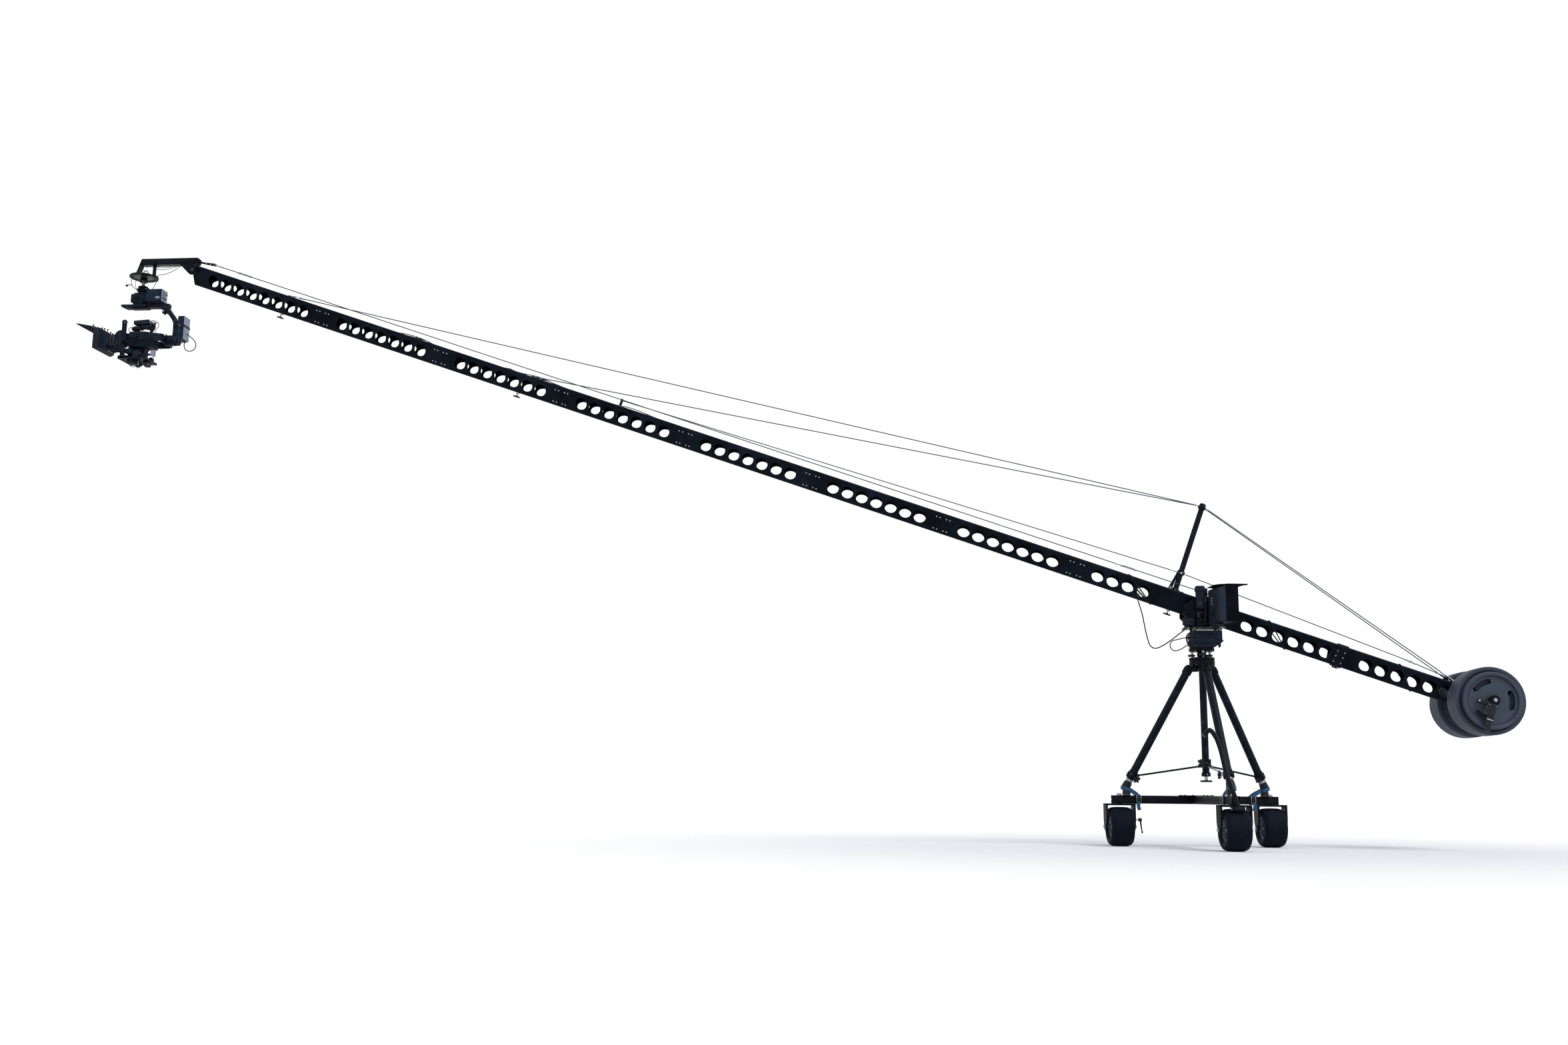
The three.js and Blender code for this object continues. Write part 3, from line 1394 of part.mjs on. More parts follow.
// Top box and bar that turn under the head motor
const topBoxTop = isolatorBottom - headMotorDrop - clearance;
const topBoxBottom = topBoxTop - topBoxHeight;
const topBarBottom = topBoxBottom - topBarHeight;
const barFrontX = -isolatorX - topBarFront;
const barRearX = barFrontX + topBarLength;
const topBox = block(-isolatorX - topBoxLength * 0.55, -isolatorX + topBoxLength * 0.45,
  -topBoxDepth / 2, topBoxDepth / 2, topBoxBottom, topBoxTop);
const topBar = block(barFrontX, barRearX, -topBarWidth / 2, topBarWidth / 2, topBarBottom, topBoxBottom + overrun);
const rollArmTop = at(barRearX - rollArmThick, 0, topBarBottom + topBarHeight / 2);
const rollArmBend = at(-rollX, 0, -headBatteryTop - rollArmThick);
const rollArmLow = at(-rollX, 0, -cameraAxisDrop);
const rollArm = join(
  slatXZ(rollArmTop, rollArmBend, rollArmThick, -rollArmWidth / 2, rollArmWidth / 2),
  slatXZ(rollArmBend.clone().setZ(rollArmBend.z + rollArmThick / 3), rollArmLow, rollArmThick,
    -rollArmWidth / 2, rollArmWidth / 2),
  rod(at(-rollX - rollMotorLength / 2, 0, -cameraAxisDrop), at(-rollX + rollArmThick, 0, -cameraAxisDrop),
    rollMotorRadius, 20),
  block(-rollX, -rollX + rollArmThick, -rollArmWidth / 2, rollArmWidth / 2,
    -headBatteryTop - headBatteryHeight, -headBatteryTop - rollArmThick),
);
add(head, 'gimbal_top', join(topBox, topBar, rollArm), 'plastic');

const receiverX = -isolatorX + topBoxLength * 0.45 + clearance;
const receiver = block(receiverX, receiverX + receiverLength, -receiverDepth * 0.7, receiverDepth * 0.3,
  topBoxBottom + topBarHeight / 3, topBoxBottom + topBarHeight / 3 + receiverHeight);
add(head, 'receiver_box', receiver, 'plastic');

const batteryX = -rollX + rollArmThick + clearance;
const headBattery = join(
  block(batteryX, batteryX + headBatteryThick, -headBatteryWidth / 2, headBatteryWidth / 2,
    -headBatteryTop - headBatteryHeight, -headBatteryTop),
  block(batteryX + hoodWall, batteryX + headBatteryThick + hoodWall, -headBatteryWidth / 2 - hoodWall,
    headBatteryWidth / 2 + hoodWall, -headBatteryTop - headBatteryHeight / 2, -headBatteryTop - headBatteryHeight / 3),
);
add(head, 'head_battery', headBattery, 'plastic');

// Roll frame: ring behind the camera and two arms to the tilt motors
const axisZ = -cameraAxisDrop;
const rollFront = -rollX - rollMotorLength / 2 - clearance;
const yokeBack = rollFront - framePlate * (3 / 2);
const rollHub = rod(at(yokeBack, 0, axisZ), at(rollFront, 0, axisZ), rollMotorRadius, 20);
const rollBack = block(yokeBack, yokeBack + framePlate, -frameHalf, frameHalf, axisZ - frameHeight / 2,
  axisZ + frameHeight / 2);
const tiltHole = new THREE.Path();
tiltHole.absarc(-tiltX, axisZ, headPinRadius + clearance, 0, 360 * degrees, false);
const frameOutline = [
  [yokeBack + framePlate, axisZ + frameHeight / 2],
  ...arcXZ(-tiltX, axisZ, frameHeight / 2, 90, 270, 8),
  [yokeBack + framePlate, axisZ - frameHeight / 2],
];
const nearArm = plateXZ(frameOutline, -frameHalf, -frameHalf + framePlate, [tiltHole]);
const farArm = plateXZ(frameOutline, frameHalf - framePlate, frameHalf, [tiltHole.clone()]);
const tiltMotor = cut(
  rod(at(-tiltX, -frameHalf - tiltMotorThick, axisZ), at(-tiltX, -frameHalf + overrun, axisZ), tiltMotorRadius, 22),
  rod(at(-tiltX, -frameHalf - tiltMotorThick / 2, axisZ), at(-tiltX, -frameHalf + 2 * overrun, axisZ),
    headPinRadius + clearance, 12),
);
add(head, 'roll_frame', join(rollHub, rollBack, nearArm, farArm, tiltMotor), 'plastic');

// Camera cage that tilts between the arms
const cageX = -tiltX;
const cageLow = axisZ - cageBottom;
const cageHigh = axisZ + cageTop;
const posts = [-1, 1].map((side) => {
  const [y0, y1] = side < 0 ? [-cageHalf - cagePost, -cageHalf] : [cageHalf, cageHalf + cagePost];
  return block(cageX - cageDepth / 2, cageX + cageDepth / 2, y0, y1, cageLow, cageHigh);
});
const cageFloor = block(cageX - cageDepth, cageX + cameraLength, -cageHalf - cagePost, cageHalf + cagePost,
  cageLow, cageLow + cagePost);
const tiltPins = [-1, 1].map((side) => rod(
  at(cageX, side * cageHalf, axisZ),
  at(cageX, side * (frameHalf - overrun), axisZ),
  headPinRadius,
  12,
));
const plateRise = block(cageX, cageX + cameraLength * 0.8, -cameraWidth / 4, cameraWidth / 4,
  cageLow + overrun, axisZ - cameraHeight / 2 - clearance);
add(head, 'camera_cage', join(...posts, cageFloor, ...tiltPins, plateRise), 'plastic');

const cameraX0 = cageX + cageDepth / 2 + clearance;
const cameraX1 = cameraX0 + cameraLength;
const cameraBody = join(
  block(cameraX0, cameraX1, -cameraWidth / 2, cameraWidth / 2, axisZ - cameraHeight / 2, axisZ + cameraHeight / 2),
  block(cameraX0 + cagePost, cameraX0 + cagePost * 2, -cagePost, cagePost, axisZ, axisZ + cameraHeight * 0.75),
  block(cameraX1 - cagePost * 3, cameraX1 - cagePost * 2, -cagePost, cagePost, axisZ, axisZ + cameraHeight * 0.75),
  block(cameraX0 - cagePost, cameraX1 - cagePost, -cameraWidth / 3, cameraWidth / 3,
    axisZ + cameraHeight * 0.75 - overrun, axisZ + cameraHeight),
);
// Lens barrel with its rings, turned about the camera axis
const lensFoot = -overrun;
const lensBarrel = turned([
  [0, lensFoot],
  [lensRadius * 0.62, lensFoot],
  [lensRadius * 0.62, lensLength * 0.3],
  [lensRadius * 0.85, lensLength * 0.34],
  [lensRadius * 0.85, lensLength * 0.6],
  [lensRadius, lensLength * 0.64],
  [lensRadius, lensLength * 0.98],
  [lensRadius * 0.9, lensLength],
  [0, lensLength],
], 24).rotate([0, -90, 0]).translate([cameraX0, 0, axisZ]);
add(head, 'camera', join(cameraBody, lensBarrel), 'plastic');

// Matte box: an open frame in front of the lens
const matteRear = cameraX0 - clearance - lensLength - clearance;
const matteFront = matteRear - matteDepth;
const matteZ1 = axisZ + matteHeight / 2;

// A solid between two upright rectangles about the camera axis
function taper(x0, width0, height0, x1, width1, height1) {
  const positions = [];
  [[x0, width0 / 2, height0 / 2], [x1, width1 / 2, height1 / 2]].forEach(([x, y, z]) => {
    [[-y, -z], [y, -z], [y, z], [-y, z]].forEach(([a, b]) => positions.push(x, a, axisZ + b));
  });
  const index = [0, 2, 1, 0, 3, 2, 4, 5, 6, 4, 6, 7];
  for (let a = 0; a < 4; a += 1) {
    const b = (a + 1) % 4;
    index.push(a, b, b + 4, a, b + 4, a + 4);
  }
  const shape = new THREE.BufferGeometry();
  shape.setAttribute('position', new THREE.Float32BufferAttribute(positions, 3));
  shape.setIndex(index);
  return solid(shape);
}
const twoWalls = 2 * matteWall;
const matteBox = cut(
  taper(matteFront, matteWidth, matteHeight, matteRear, matteRearWidth, matteRearHeight),
  taper(matteFront - clearance, matteWidth - twoWalls, matteHeight - twoWalls,
    matteRear - matteWall, matteRearWidth - twoWalls, matteRearHeight - twoWalls),
  rod(at(matteFront, 0, axisZ), at(matteRear + overrun, 0, axisZ), lensRadius * matteBoreShare, 20),
);
const rodZ = axisZ - lensRadius - headPinRadius - matteWall;
const rodReach = lensRadius / 2 + headPinRadius;
const rodBracket = block(matteRear - 2 * matteWall, matteRear, -rodReach, rodReach,
  rodZ - headPinRadius, axisZ - matteRearHeight / 2 + matteWall);
const rods = [-1, 1].map((side) => rod(
  at(matteRear - matteWall, side * lensRadius / 2, rodZ),
  at(cageX - cageDepth - clearance, side * lensRadius / 2, rodZ),
  headPinRadius,
  10,
));
add(head, 'matte_box', join(matteBox, rodBracket, ...rods), 'plastic');

const flagPlate = block(-flagReach, 0, -matteWidth / 2, matteWidth / 2, 0, flagThick)
  .rotate([0, flagRise, 0])
  .translate([matteFront - clearance, 0, matteZ1 + clearance]);
add(head, 'top_flag', flagPlate, 'plastic');

// Control cord: hangs from the boom side to the control box, at its real length
const toWorld = (p) => p.clone().applyAxisAngle(at(0, 1, 0), tilt).add(at(0, 0, pivotHeight));
const cordStart = toWorld(clipEnd.clone().addScaledVector(clipNormal, clearance));
const cordEnd = at(-controlFront + controlLength / 5, controlNear - controlWidth / 2, platformTop - glandRadius);
const cordShares = [
  [-0.029, 0.358, 0.133],
  [0, 0.537, 0.324],
  [0.051, 0.69, 0.611],
  [0.097, 0.766, 0.994],
  [0.151, 0.792, 1.367],
  [0.216, 0.792, 1.596],
  [0.317, 0.805, 1.663],
  [0.454, 0.83, 1.606],
  [0.62, 0.869, 1.472],
  [0.793, 0.92, 1.3],
  [0.929, 0.971, 1.156],
];
const cordSpan = cordEnd.clone().sub(cordStart);
const cordRoute = [
  cordStart,
  toWorld(clipEnd.clone().addScaledVector(clipNormal, cordClipRadius)),
  ...cordShares.map(([x, y, z]) => cordStart.clone().add(at(x, y, z).multiply(cordSpan))),
  cordEnd.clone().setZ(cordEnd.z - glandRadius),
  cordEnd.clone().setZ(cordEnd.z - clearance),
];
add(pan, 'control_cord', bentRod(cordRoute, controlCordRadius, cordSteps, cordFaceCount), 'cable');

// Loop cord: out of the gland on the front of the pan box, round and back in below it
const loopShares = [
  [0.466, 0.136, 0.107],
  [0.854, 0.194, 0.214],
  [1, 0.214, 0.427],
  [0.942, 0.214, 0.68],
  [0.757, 0.204, 0.825],
  [0.398, 0.165, 0.748],
  [0.078, 0.078, 0.563],
];
const loopRoute = [
  glandTopEnd.clone().setX(glandTopEnd.x - clearance),
  glandTopEnd.clone().setX(glandTopEnd.x - glandRadius),
  ...loopShares.map(([x, y, z]) => glandTopEnd.clone().add(at(-x, -y, -z).multiplyScalar(loopReach))),
  glandLowEnd.clone().setX(glandLowEnd.x - glandRadius),
  glandLowEnd.clone().setX(glandLowEnd.x - clearance),
];
add(pan, 'loop_cord', bentRod(loopRoute, loopCordRadius, loopSteps, cordFaceCount), 'cable');

// Battery cord: loop that hangs behind the head battery and goes back into it
const batteryLoopX = batteryX + headBatteryThick;
const batteryLoopTop = -headBatteryTop - headBatteryHeight * loopTopShare;
const batteryLoopShares = [
  [0.02, 0],
  [0.2, -0.1],
  [0.62, -0.45],
  [0.86, -0.8],
  [0.8, -1.2],
  [0.45, -1.42],
  [0.05, -1.3],
  [-0.12, -0.95],
  [-0.1, -0.62],
];
const batteryLoop = batteryLoopShares.map(([x, z]) => at(
  batteryLoopX + clearance + x * headBatteryWidth,
  0,
  batteryLoopTop + z * headBatteryWidth,
));
add(head, 'battery_cord', bentRod(batteryLoop, batteryCordRadius, loopSteps, cordFaceCount), 'cable');

export default crane;
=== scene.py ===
# Camera jib crane: a wheeled base and tripod, a pan and tilt head with monitor and battery, a sectional
# triangular boom braced by stays, counterweights, and a remote head with its camera. Sizes are in
# millimetres in each group's own frame and go to metres, in the row frame, when a piece is made.

import json
import math
import random

import bmesh
import bpy
from mathutils import Matrix, Vector, geometry

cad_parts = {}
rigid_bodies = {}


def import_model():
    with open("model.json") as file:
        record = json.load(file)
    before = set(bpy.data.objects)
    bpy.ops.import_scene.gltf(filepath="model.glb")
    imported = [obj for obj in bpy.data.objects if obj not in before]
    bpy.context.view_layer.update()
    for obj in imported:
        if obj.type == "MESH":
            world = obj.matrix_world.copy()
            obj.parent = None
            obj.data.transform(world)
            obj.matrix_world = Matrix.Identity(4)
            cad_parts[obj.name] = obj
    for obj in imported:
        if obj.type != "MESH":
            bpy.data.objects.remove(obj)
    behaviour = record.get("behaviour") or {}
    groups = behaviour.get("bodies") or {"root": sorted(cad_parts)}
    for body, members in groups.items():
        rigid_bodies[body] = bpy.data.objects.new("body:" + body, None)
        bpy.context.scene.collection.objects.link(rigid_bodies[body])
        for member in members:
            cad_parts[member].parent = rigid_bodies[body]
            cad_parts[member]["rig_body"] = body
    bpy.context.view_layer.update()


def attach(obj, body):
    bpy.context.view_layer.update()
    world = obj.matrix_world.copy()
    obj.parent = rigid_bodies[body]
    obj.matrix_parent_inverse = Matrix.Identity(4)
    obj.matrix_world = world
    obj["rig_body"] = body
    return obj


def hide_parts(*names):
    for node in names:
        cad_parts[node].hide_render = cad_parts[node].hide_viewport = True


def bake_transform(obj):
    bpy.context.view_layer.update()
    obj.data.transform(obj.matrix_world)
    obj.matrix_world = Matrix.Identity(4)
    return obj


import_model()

scene = bpy.context.scene
scene.view_settings.view_transform = "Standard"
random.seed(7)

# The view: a photographer standing some 10 m off, level with the wheels and looking slightly up.
# A plain pale floor that fades to the white of the backdrop, with one broad soft lamp and an even sky.

view_data = bpy.data.cameras.new("view")
view_data.sensor_width = 36.0
view_data.lens = 35.832
view_data.clip_end = 200.0
view = bpy.data.objects.new("view", view_data)
scene.collection.objects.link(view)
view.matrix_world = Matrix((
    (0.99537, 0.00722, 0.0958, -1.7037),
    (0.09561, -0.17171, -0.9805, -10.229),
    (0.00937, 0.98512, -0.1716, 0.310),
    (0.0, 0.0, 0.0, 1.0),
))
scene.camera = view


def place(tree, kind, sockets=None, **settings):
    """Adds one node to a tree. Settings go on the node; a socket takes a value or another node's output."""
    made = tree.nodes.new(kind)
    for name, value in settings.items():
        setattr(made, name, value)
    for name, value in (sockets or {}).items():
        if isinstance(value, bpy.types.NodeSocket):
            tree.links.new(value, made.inputs[name])
        else:
            made.inputs[name].default_value = value
    return made


def linear(code):
    """An sRGB hex colour as linear red, green, blue and full alpha."""
    parts = [int(code[i:i + 2], 16) / 255 for i in (0, 2, 4)]
    return [p / 12.92 if p <= 0.04045 else ((p + 0.055) / 1.055) ** 2.4 for p in parts] + [1.0]


def seen_rays(tree):
    """Adds nodes that give one for a ray that shows in the picture, and zero for one that only lights."""
    ray = place(tree, "ShaderNodeLightPath")
    seen = place(tree, "ShaderNodeMath", {0: ray.outputs["Is Camera Ray"], 1: ray.outputs["Is Glossy Ray"]},
                 operation="ADD", use_clamp=True)
    return place(tree, "ShaderNodeMath", {0: seen.outputs[0], 1: ray.outputs["Is Transmission Ray"]},
                 operation="ADD", use_clamp=True)


sky = bpy.data.worlds.new("studio")
scene.world = sky
sky.use_nodes = True
tree = sky.node_tree
tree.nodes.clear()
seen = seen_rays(tree)
even = place(tree, "ShaderNodeBackground", {"Color": linear("e8eef8"), "Strength": 0.62})
white = place(tree, "ShaderNodeBackground", {"Color": linear("ffffff"), "Strength": 1.0})
both = place(tree, "ShaderNodeMixShader", {0: seen.outputs[0], 1: even.outputs[0], 2: white.outputs[0]})
place(tree, "ShaderNodeOutputWorld", {"Surface": both.outputs[0]})

lamp_data = bpy.data.lights.new("soft_lamp", "SUN")
lamp_data.energy = 1.5
lamp_data.angle = math.radians(30)
lamp = bpy.data.objects.new("soft_lamp", lamp_data)
lamp.rotation_euler = (math.radians(42), math.radians(14), math.radians(24))
scene.collection.objects.link(lamp)

floor_mesh = bpy.data.meshes.new("floor")
floor_mesh.from_pydata([(-150, -150, 0), (150, -150, 0), (150, 150, 0), (-150, 150, 0)], [], [(0, 1, 2, 3)])
floor = bpy.data.objects.new("floor", floor_mesh)
scene.collection.objects.link(floor)
floor_paint = bpy.data.materials.new("floor_paint")
floor_paint.use_nodes = True
tree = floor_paint.node_tree
tree.nodes.clear()
where = place(tree, "ShaderNodeNewGeometry")
near = place(tree, "ShaderNodeVectorMath", {0: where.outputs["Position"], 1: (0.0, 0.0, 0.0)},
             operation="DISTANCE")
fade = place(tree, "ShaderNodeMapRange", {"Value": near.outputs["Value"], "From Min": 1.2, "From Max": 4.6},
             interpolation_type="SMOOTHSTEP")
seen = seen_rays(tree)
away = place(tree, "ShaderNodeMath", {0: seen.outputs[0], 1: fade.outputs["Result"]}, operation="MULTIPLY")
grain = place(tree, "ShaderNodeTexNoise", {"Vector": where.outputs["Position"], "Scale": 3.0, "Detail": 4.0})
tone = place(tree, "ShaderNodeMix", {"Factor": grain.outputs["Fac"], "A": linear("f8f8f9"),
                                     "B": linear("fdfdfd")}, data_type="RGBA")
matt = place(tree, "ShaderNodeBsdfDiffuse", {"Color": tone.outputs[2]})
bright = place(tree, "ShaderNodeEmission", {"Color": linear("ffffff"), "Strength": 1.0})
seen_far = place(tree, "ShaderNodeMixShader", {0: away.outputs[0], 1: matt.outputs[0], 2: bright.outputs[0]})
place(tree, "ShaderNodeOutputMaterial", {"Surface": seen_far.outputs[0]})
floor_mesh.materials.append(floor_paint)

# The three free cords: PVC-jacketed control leads, 6 to 7 mm, matt black. One hangs from the boom's clip to
# the control box, one makes a loop out of the pan box and back, and one loops under the head's battery.

# Each group of pieces is drawn in its own frame: the dolly turned under the tripod, the boom tilted on its
# axle with the nose pin far out along it, and the head level below that pin.
AXLE_HEIGHT = 1522.3
NOSE_PIN = -7336
TILT = math.radians(19.19)
DOLLY = Matrix.Rotation(math.radians(6.3), 4, "Z")
PAN = Matrix.Identity(4)
BOOM = Matrix.Translation((0, 0, AXLE_HEIGHT)) @ Matrix.Rotation(TILT, 4, "Y")
HEAD = Matrix.Translation((NOSE_PIN * math.cos(TILT), 0, AXLE_HEIGHT - NOSE_PIN * math.sin(TILT)))
MONITOR = Matrix.Translation((58, -282, 1390)) @ Matrix.Rotation(math.radians(15.5), 4, "Z")
METRES = Matrix.Scale(0.001, 4)


def smooth_line(points, step=6.0):
    """Points along a centripetal curve through the given ones, about one step apart."""
    points = [Vector(p) for p in points]
    ends = [points[0] * 2 - points[1]] + points + [points[-1] * 2 - points[-2]]
    line = []
    for p0, p1, p2, p3 in zip(ends, ends[1:], ends[2:], ends[3:]):
        d0, d1, d2 = ((b - a).length ** 0.5 for a, b in ((p0, p1), (p1, p2), (p2, p3)))
        m1 = ((p1 - p0) / d0 - (p2 - p0) / (d0 + d1) + (p2 - p1) / d1) * d1
        m2 = ((p2 - p1) / d1 - (p3 - p1) / (d1 + d2) + (p3 - p2) / d2) * d1
        count = max(1, round((p2 - p1).length / step))
        for i in range(count):
            t = i / count
            line.append(p1 * (2 * t**3 - 3 * t**2 + 1) + m1 * (t**3 - 2 * t**2 + t)
                        + p2 * (3 * t**2 - 2 * t**3) + m2 * (t**3 - t**2))
    return line + [points[-1]]


def join_loops(bm, a, b, finish=0):
    """Adds the faces between two loops of the same number of corners."""
    for k in range(len(a)):
        n = (k + 1) % len(a)
        bm.faces.new((a[k], a[n], b[n], b[k])).material_index = finish


def sweep(bm, line, radius, sides=16, finish=0, closed=False, flat=None):
    """Adds a bar of round section along a line of points, or of elliptical section where flat is given."""
    line = [Vector(p) for p in line]
    radii = radius if hasattr(radius, "__len__") else [radius] * len(line)
    heading = (line[1] - line[0]).normalized()
    side = heading.orthogonal().normalized()
    rings = []
    for i, p in enumerate(line):
        if closed:
            ahead = (line[(i + 1) % len(line)] - line[i - 1]).normalized()
        else:
            ahead = (line[min(i + 1, len(line) - 1)] - line[max(i - 1, 0)]).normalized()
        side = (side - ahead * side.dot(ahead)).normalized()
        up = ahead.cross(side)
        ring = []
        for k in range(sides):
            turn = 2 * math.pi * k / sides
            spoke = side * math.cos(turn) + up * (flat or 1) * math.sin(turn)
            ring.append(bm.verts.new(p + spoke * radii[i]))
        rings.append(ring)
    pairs = list(zip(rings, rings[1:])) + ([(rings[-1], rings[0])] if closed else [])
    for a, b in pairs:
        join_loops(bm, a, b, finish)
    if not closed:
        bm.faces.new(rings[0][::-1]).material_index = finish
        bm.faces.new(rings[-1]).material_index = finish


def piece(name, bm, body, finishes, group=PAN, stands_for=(), crease=32):
    """Turns a mesh in millimetres into a named piece in metres that rides on its body."""
    bmesh.ops.recalc_face_normals(bm, faces=bm.faces)
    mesh = bpy.data.meshes.new(name)
    bm.to_mesh(mesh)
    bm.free()
    mesh.transform(METRES @ group)
    mesh.shade_smooth()
    mesh.set_sharp_from_angle(angle=math.radians(crease))
    for finish in finishes:
        mesh.materials.append(finish)
    made = bpy.data.objects.new(name, mesh)
    scene.collection.objects.link(made)
    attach(made, body)
    if stands_for:
        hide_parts(*stands_for)
    return made


def new_finish(name):
    """An empty material with its principled shader and the object-space point that patterns start from."""
    made = bpy.data.materials.new(name)
    made.use_nodes = True
    made.node_tree.nodes.clear()
    shader = place(made.node_tree, "ShaderNodeBsdfPrincipled")
    place(made.node_tree, "ShaderNodeOutputMaterial", {"Surface": shader.outputs[0]})
    spot = place(made.node_tree, "ShaderNodeTexCoord").outputs["Object"]
    return made, made.node_tree, shader, spot


def noise(scale, detail=2.0, rough=0.5, stretch=None):
    """A pattern of noise, its scale in grains per metre; stretch scales the axes apart, as on drawn tube."""
    def add(tree, spot):
        if stretch:
            spot = place(tree, "ShaderNodeMapping", {"Vector": spot, "Scale": stretch}).outputs[0]
        sockets = {"Vector": spot, "Scale": scale, "Detail": detail, "Roughness": rough}
        return place(tree, "ShaderNodeTexNoise", sockets).outputs["Fac"]
    return add


def waves(scale, distortion, **kind):
    """A pattern of waves: 314 mm apart, or 628 along an axis when diagonal, both divided by the scale."""
    def add(tree, spot):
        sockets = {"Vector": spot, "Scale": scale, "Distortion": distortion}
        return place(tree, "ShaderNodeTexWave", sockets, **kind).outputs["Fac"]
    return add


INPUTS = {"ior": "IOR", "gloss": "Specular IOR Level", "metal": "Metallic", "sheen": "Sheen Weight"}


def look(name, tones, rough, cloud, wear=None, marks=None, grain=None, relief=None, bare=False, **settings):
    """A finish whose colour and roughness drift between two values each with a pattern, the cloud.

    wear narrows the cloud for the colour, and bare shows metal where it is worn. marks drive the roughness in
    the cloud's place. relief is the strength and depth in metres of a bump made by the grain or, without one,
    by what drives the roughness."""
    made, tree, shader, spot = new_finish(name)
    for key, value in settings.items():
        shader.inputs[INPUTS[key]].default_value = value
    drift = cloud(tree, spot)
    sheen = marks(tree, spot) if marks else drift
    worn = drift
    if wear:
        limits = {"Value": drift, "From Min": wear[0], "From Max": wear[1]}
        worn = place(tree, "ShaderNodeMapRange", limits).outputs["Result"]
    tone = place(tree, "ShaderNodeMix", {"Factor": worn, "A": linear(tones[0]), "B": linear(tones[1])},
                 data_type="RGBA")
    dull = place(tree, "ShaderNodeMapRange", {"Value": sheen, "To Min": rough[0], "To Max": rough[1]})
    tree.links.new(tone.outputs[2], shader.inputs["Base Color"])
    tree.links.new(dull.outputs["Result"], shader.inputs["Roughness"])
    if bare:
        tree.links.new(worn, shader.inputs["Metallic"])
    if relief:
        height = grain(tree, spot) if grain else sheen
        bump = place(tree, "ShaderNodeBump", {"Strength": relief[0], "Distance": relief[1], "Height": height})
        tree.links.new(bump.outputs[0], shader.inputs["Normal"])
    return made


# PVC jacket, extruded: soft satin black that greys a little where it is handled
pvc_jacket = look("pvc_jacket_extruded", ("080a0e", "1a1f27"), (0.42, 0.62), noise(60.0, 5.0),
                  grain=noise(1400.0), relief=(0.15, 0.0003), ior=1.52, gloss=0.15)

CORD_CLIP = Vector((-397, -23.84, -50))
CLIP_DOWN = Vector((0, -math.cos(math.radians(30)), -0.5))


def lead(name, route, radius, node, body, group=PAN, blend=None):
    """A free cord along its route, with both ends in the object."""
    line = smooth_line(route)
    bm = bmesh.new()
    sweep(bm, line, radius, 14)
    made = piece(name, bm, body, [pvc_jacket], group, [node])
    if blend:
        del made["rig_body"]
        made.parent = None
        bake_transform(made)
    return made


clip_end = BOOM @ (CORD_CLIP + CLIP_DOWN * 16.3)
clip_run = BOOM @ (CORD_CLIP + CLIP_DOWN * 23)
lead("control_lead", [
    clip_end, clip_run, (-402, -66, 1570), (-394, -80, 1530), (-380, -92, 1470), (-367, -98, 1390),
    (-352, -100, 1312), (-334, -100, 1264), (-306, -101, 1250), (-268, -103, 1262), (-222, -106, 1290),
    (-174, -110, 1326), (-136, -114, 1356), (-116.4, -116.3, 1382), (-116.4, -116.3, 1388.7),
], 3.5, "control_cord", "pan", blend=("pan", "boom", Vector((-0.367, -0.098, 1.36)), clip_end * 0.001))
lead("loop_lead", [(-108.3, -70, 1320), (-115, -70, 1320), (-156, -84, 1309), (-196, -90, 1298),
                   (-211, -92, 1276), (-205, -92, 1250), (-186, -91, 1235), (-149, -87, 1243),
                   (-116, -78, 1262), (-94, -70, 1276), (-87.3, -70, 1276)], 3.0, "loop_cord", "pan")
BATTERY_BACK = -50.7
lead("battery_lead", [
    (BATTERY_BACK + 0.3 + x * 88, 0, -445.84 + z * 88) for x, z in (
        (0.02, 0), (0.2, -0.1), (0.62, -0.45), (0.86, -0.8), (0.8, -1.2), (0.45, -1.42), (0.05, -1.3),
        (-0.12, -0.95), (-0.1, -0.62))
], 3.0, "battery_cord", "gimbal", HEAD)

# Three wheels: solid slick tyres, 250 mm across and 150 mm wide, on cast rims with five spokes, a hub and
# a plain axle pin that is nutted outside the fork. Rubber vulcanised in a mould, aluminium cast and turned.


def turned(bm, profile, foot=(0, 0, 0), axis=(0, 0, 1), sides=32, finish=0):
    """Adds a turned piece: pairs of radius and height about an axis. A profile that comes back is a ring."""
    foot, axis = Vector(foot), Vector(axis).normalized()
    side = axis.orthogonal().normalized()
    up = axis.cross(side)
    rings = []
    for radius, height in profile:
        centre = foot + axis * height
        if radius < 1e-6:
            rings.append([bm.verts.new(centre)])
            continue
        rings.append([bm.verts.new(centre + (side * math.cos(2 * math.pi * k / sides)
                                             + up * math.sin(2 * math.pi * k / sides)) * radius)
                      for k in range(sides)])
    pairs = list(zip(rings, rings[1:]))
    if len(rings[0]) > 1 and len(rings[-1]) > 1:
        pairs.append((rings[-1], rings[0]))
    for a, b in pairs:
        for k in range(sides):
            n = (k + 1) % sides
            if len(a) == 1 and len(b) == 1:
                continue
            if len(a) == 1:
                corners = (a[0], b[n], b[k])
            elif len(b) == 1:
                corners = (a[k], a[n], b[0])
            else:
                corners = (a[k], a[n], b[n], b[k])
            bm.faces.new(corners).material_index = finish


def rod(bm, start, end, radius, sides=24, finish=0, edge=1.0):
    """Adds a round bar between two points, with broken edges."""
    start, end = Vector(start), Vector(end)
    run = (end - start).length
    turned(bm, [(0, 0), (radius - edge, 0), (radius, edge), (radius, run - edge), (radius - edge, run),
                (0, run)], start, end - start, sides, finish)


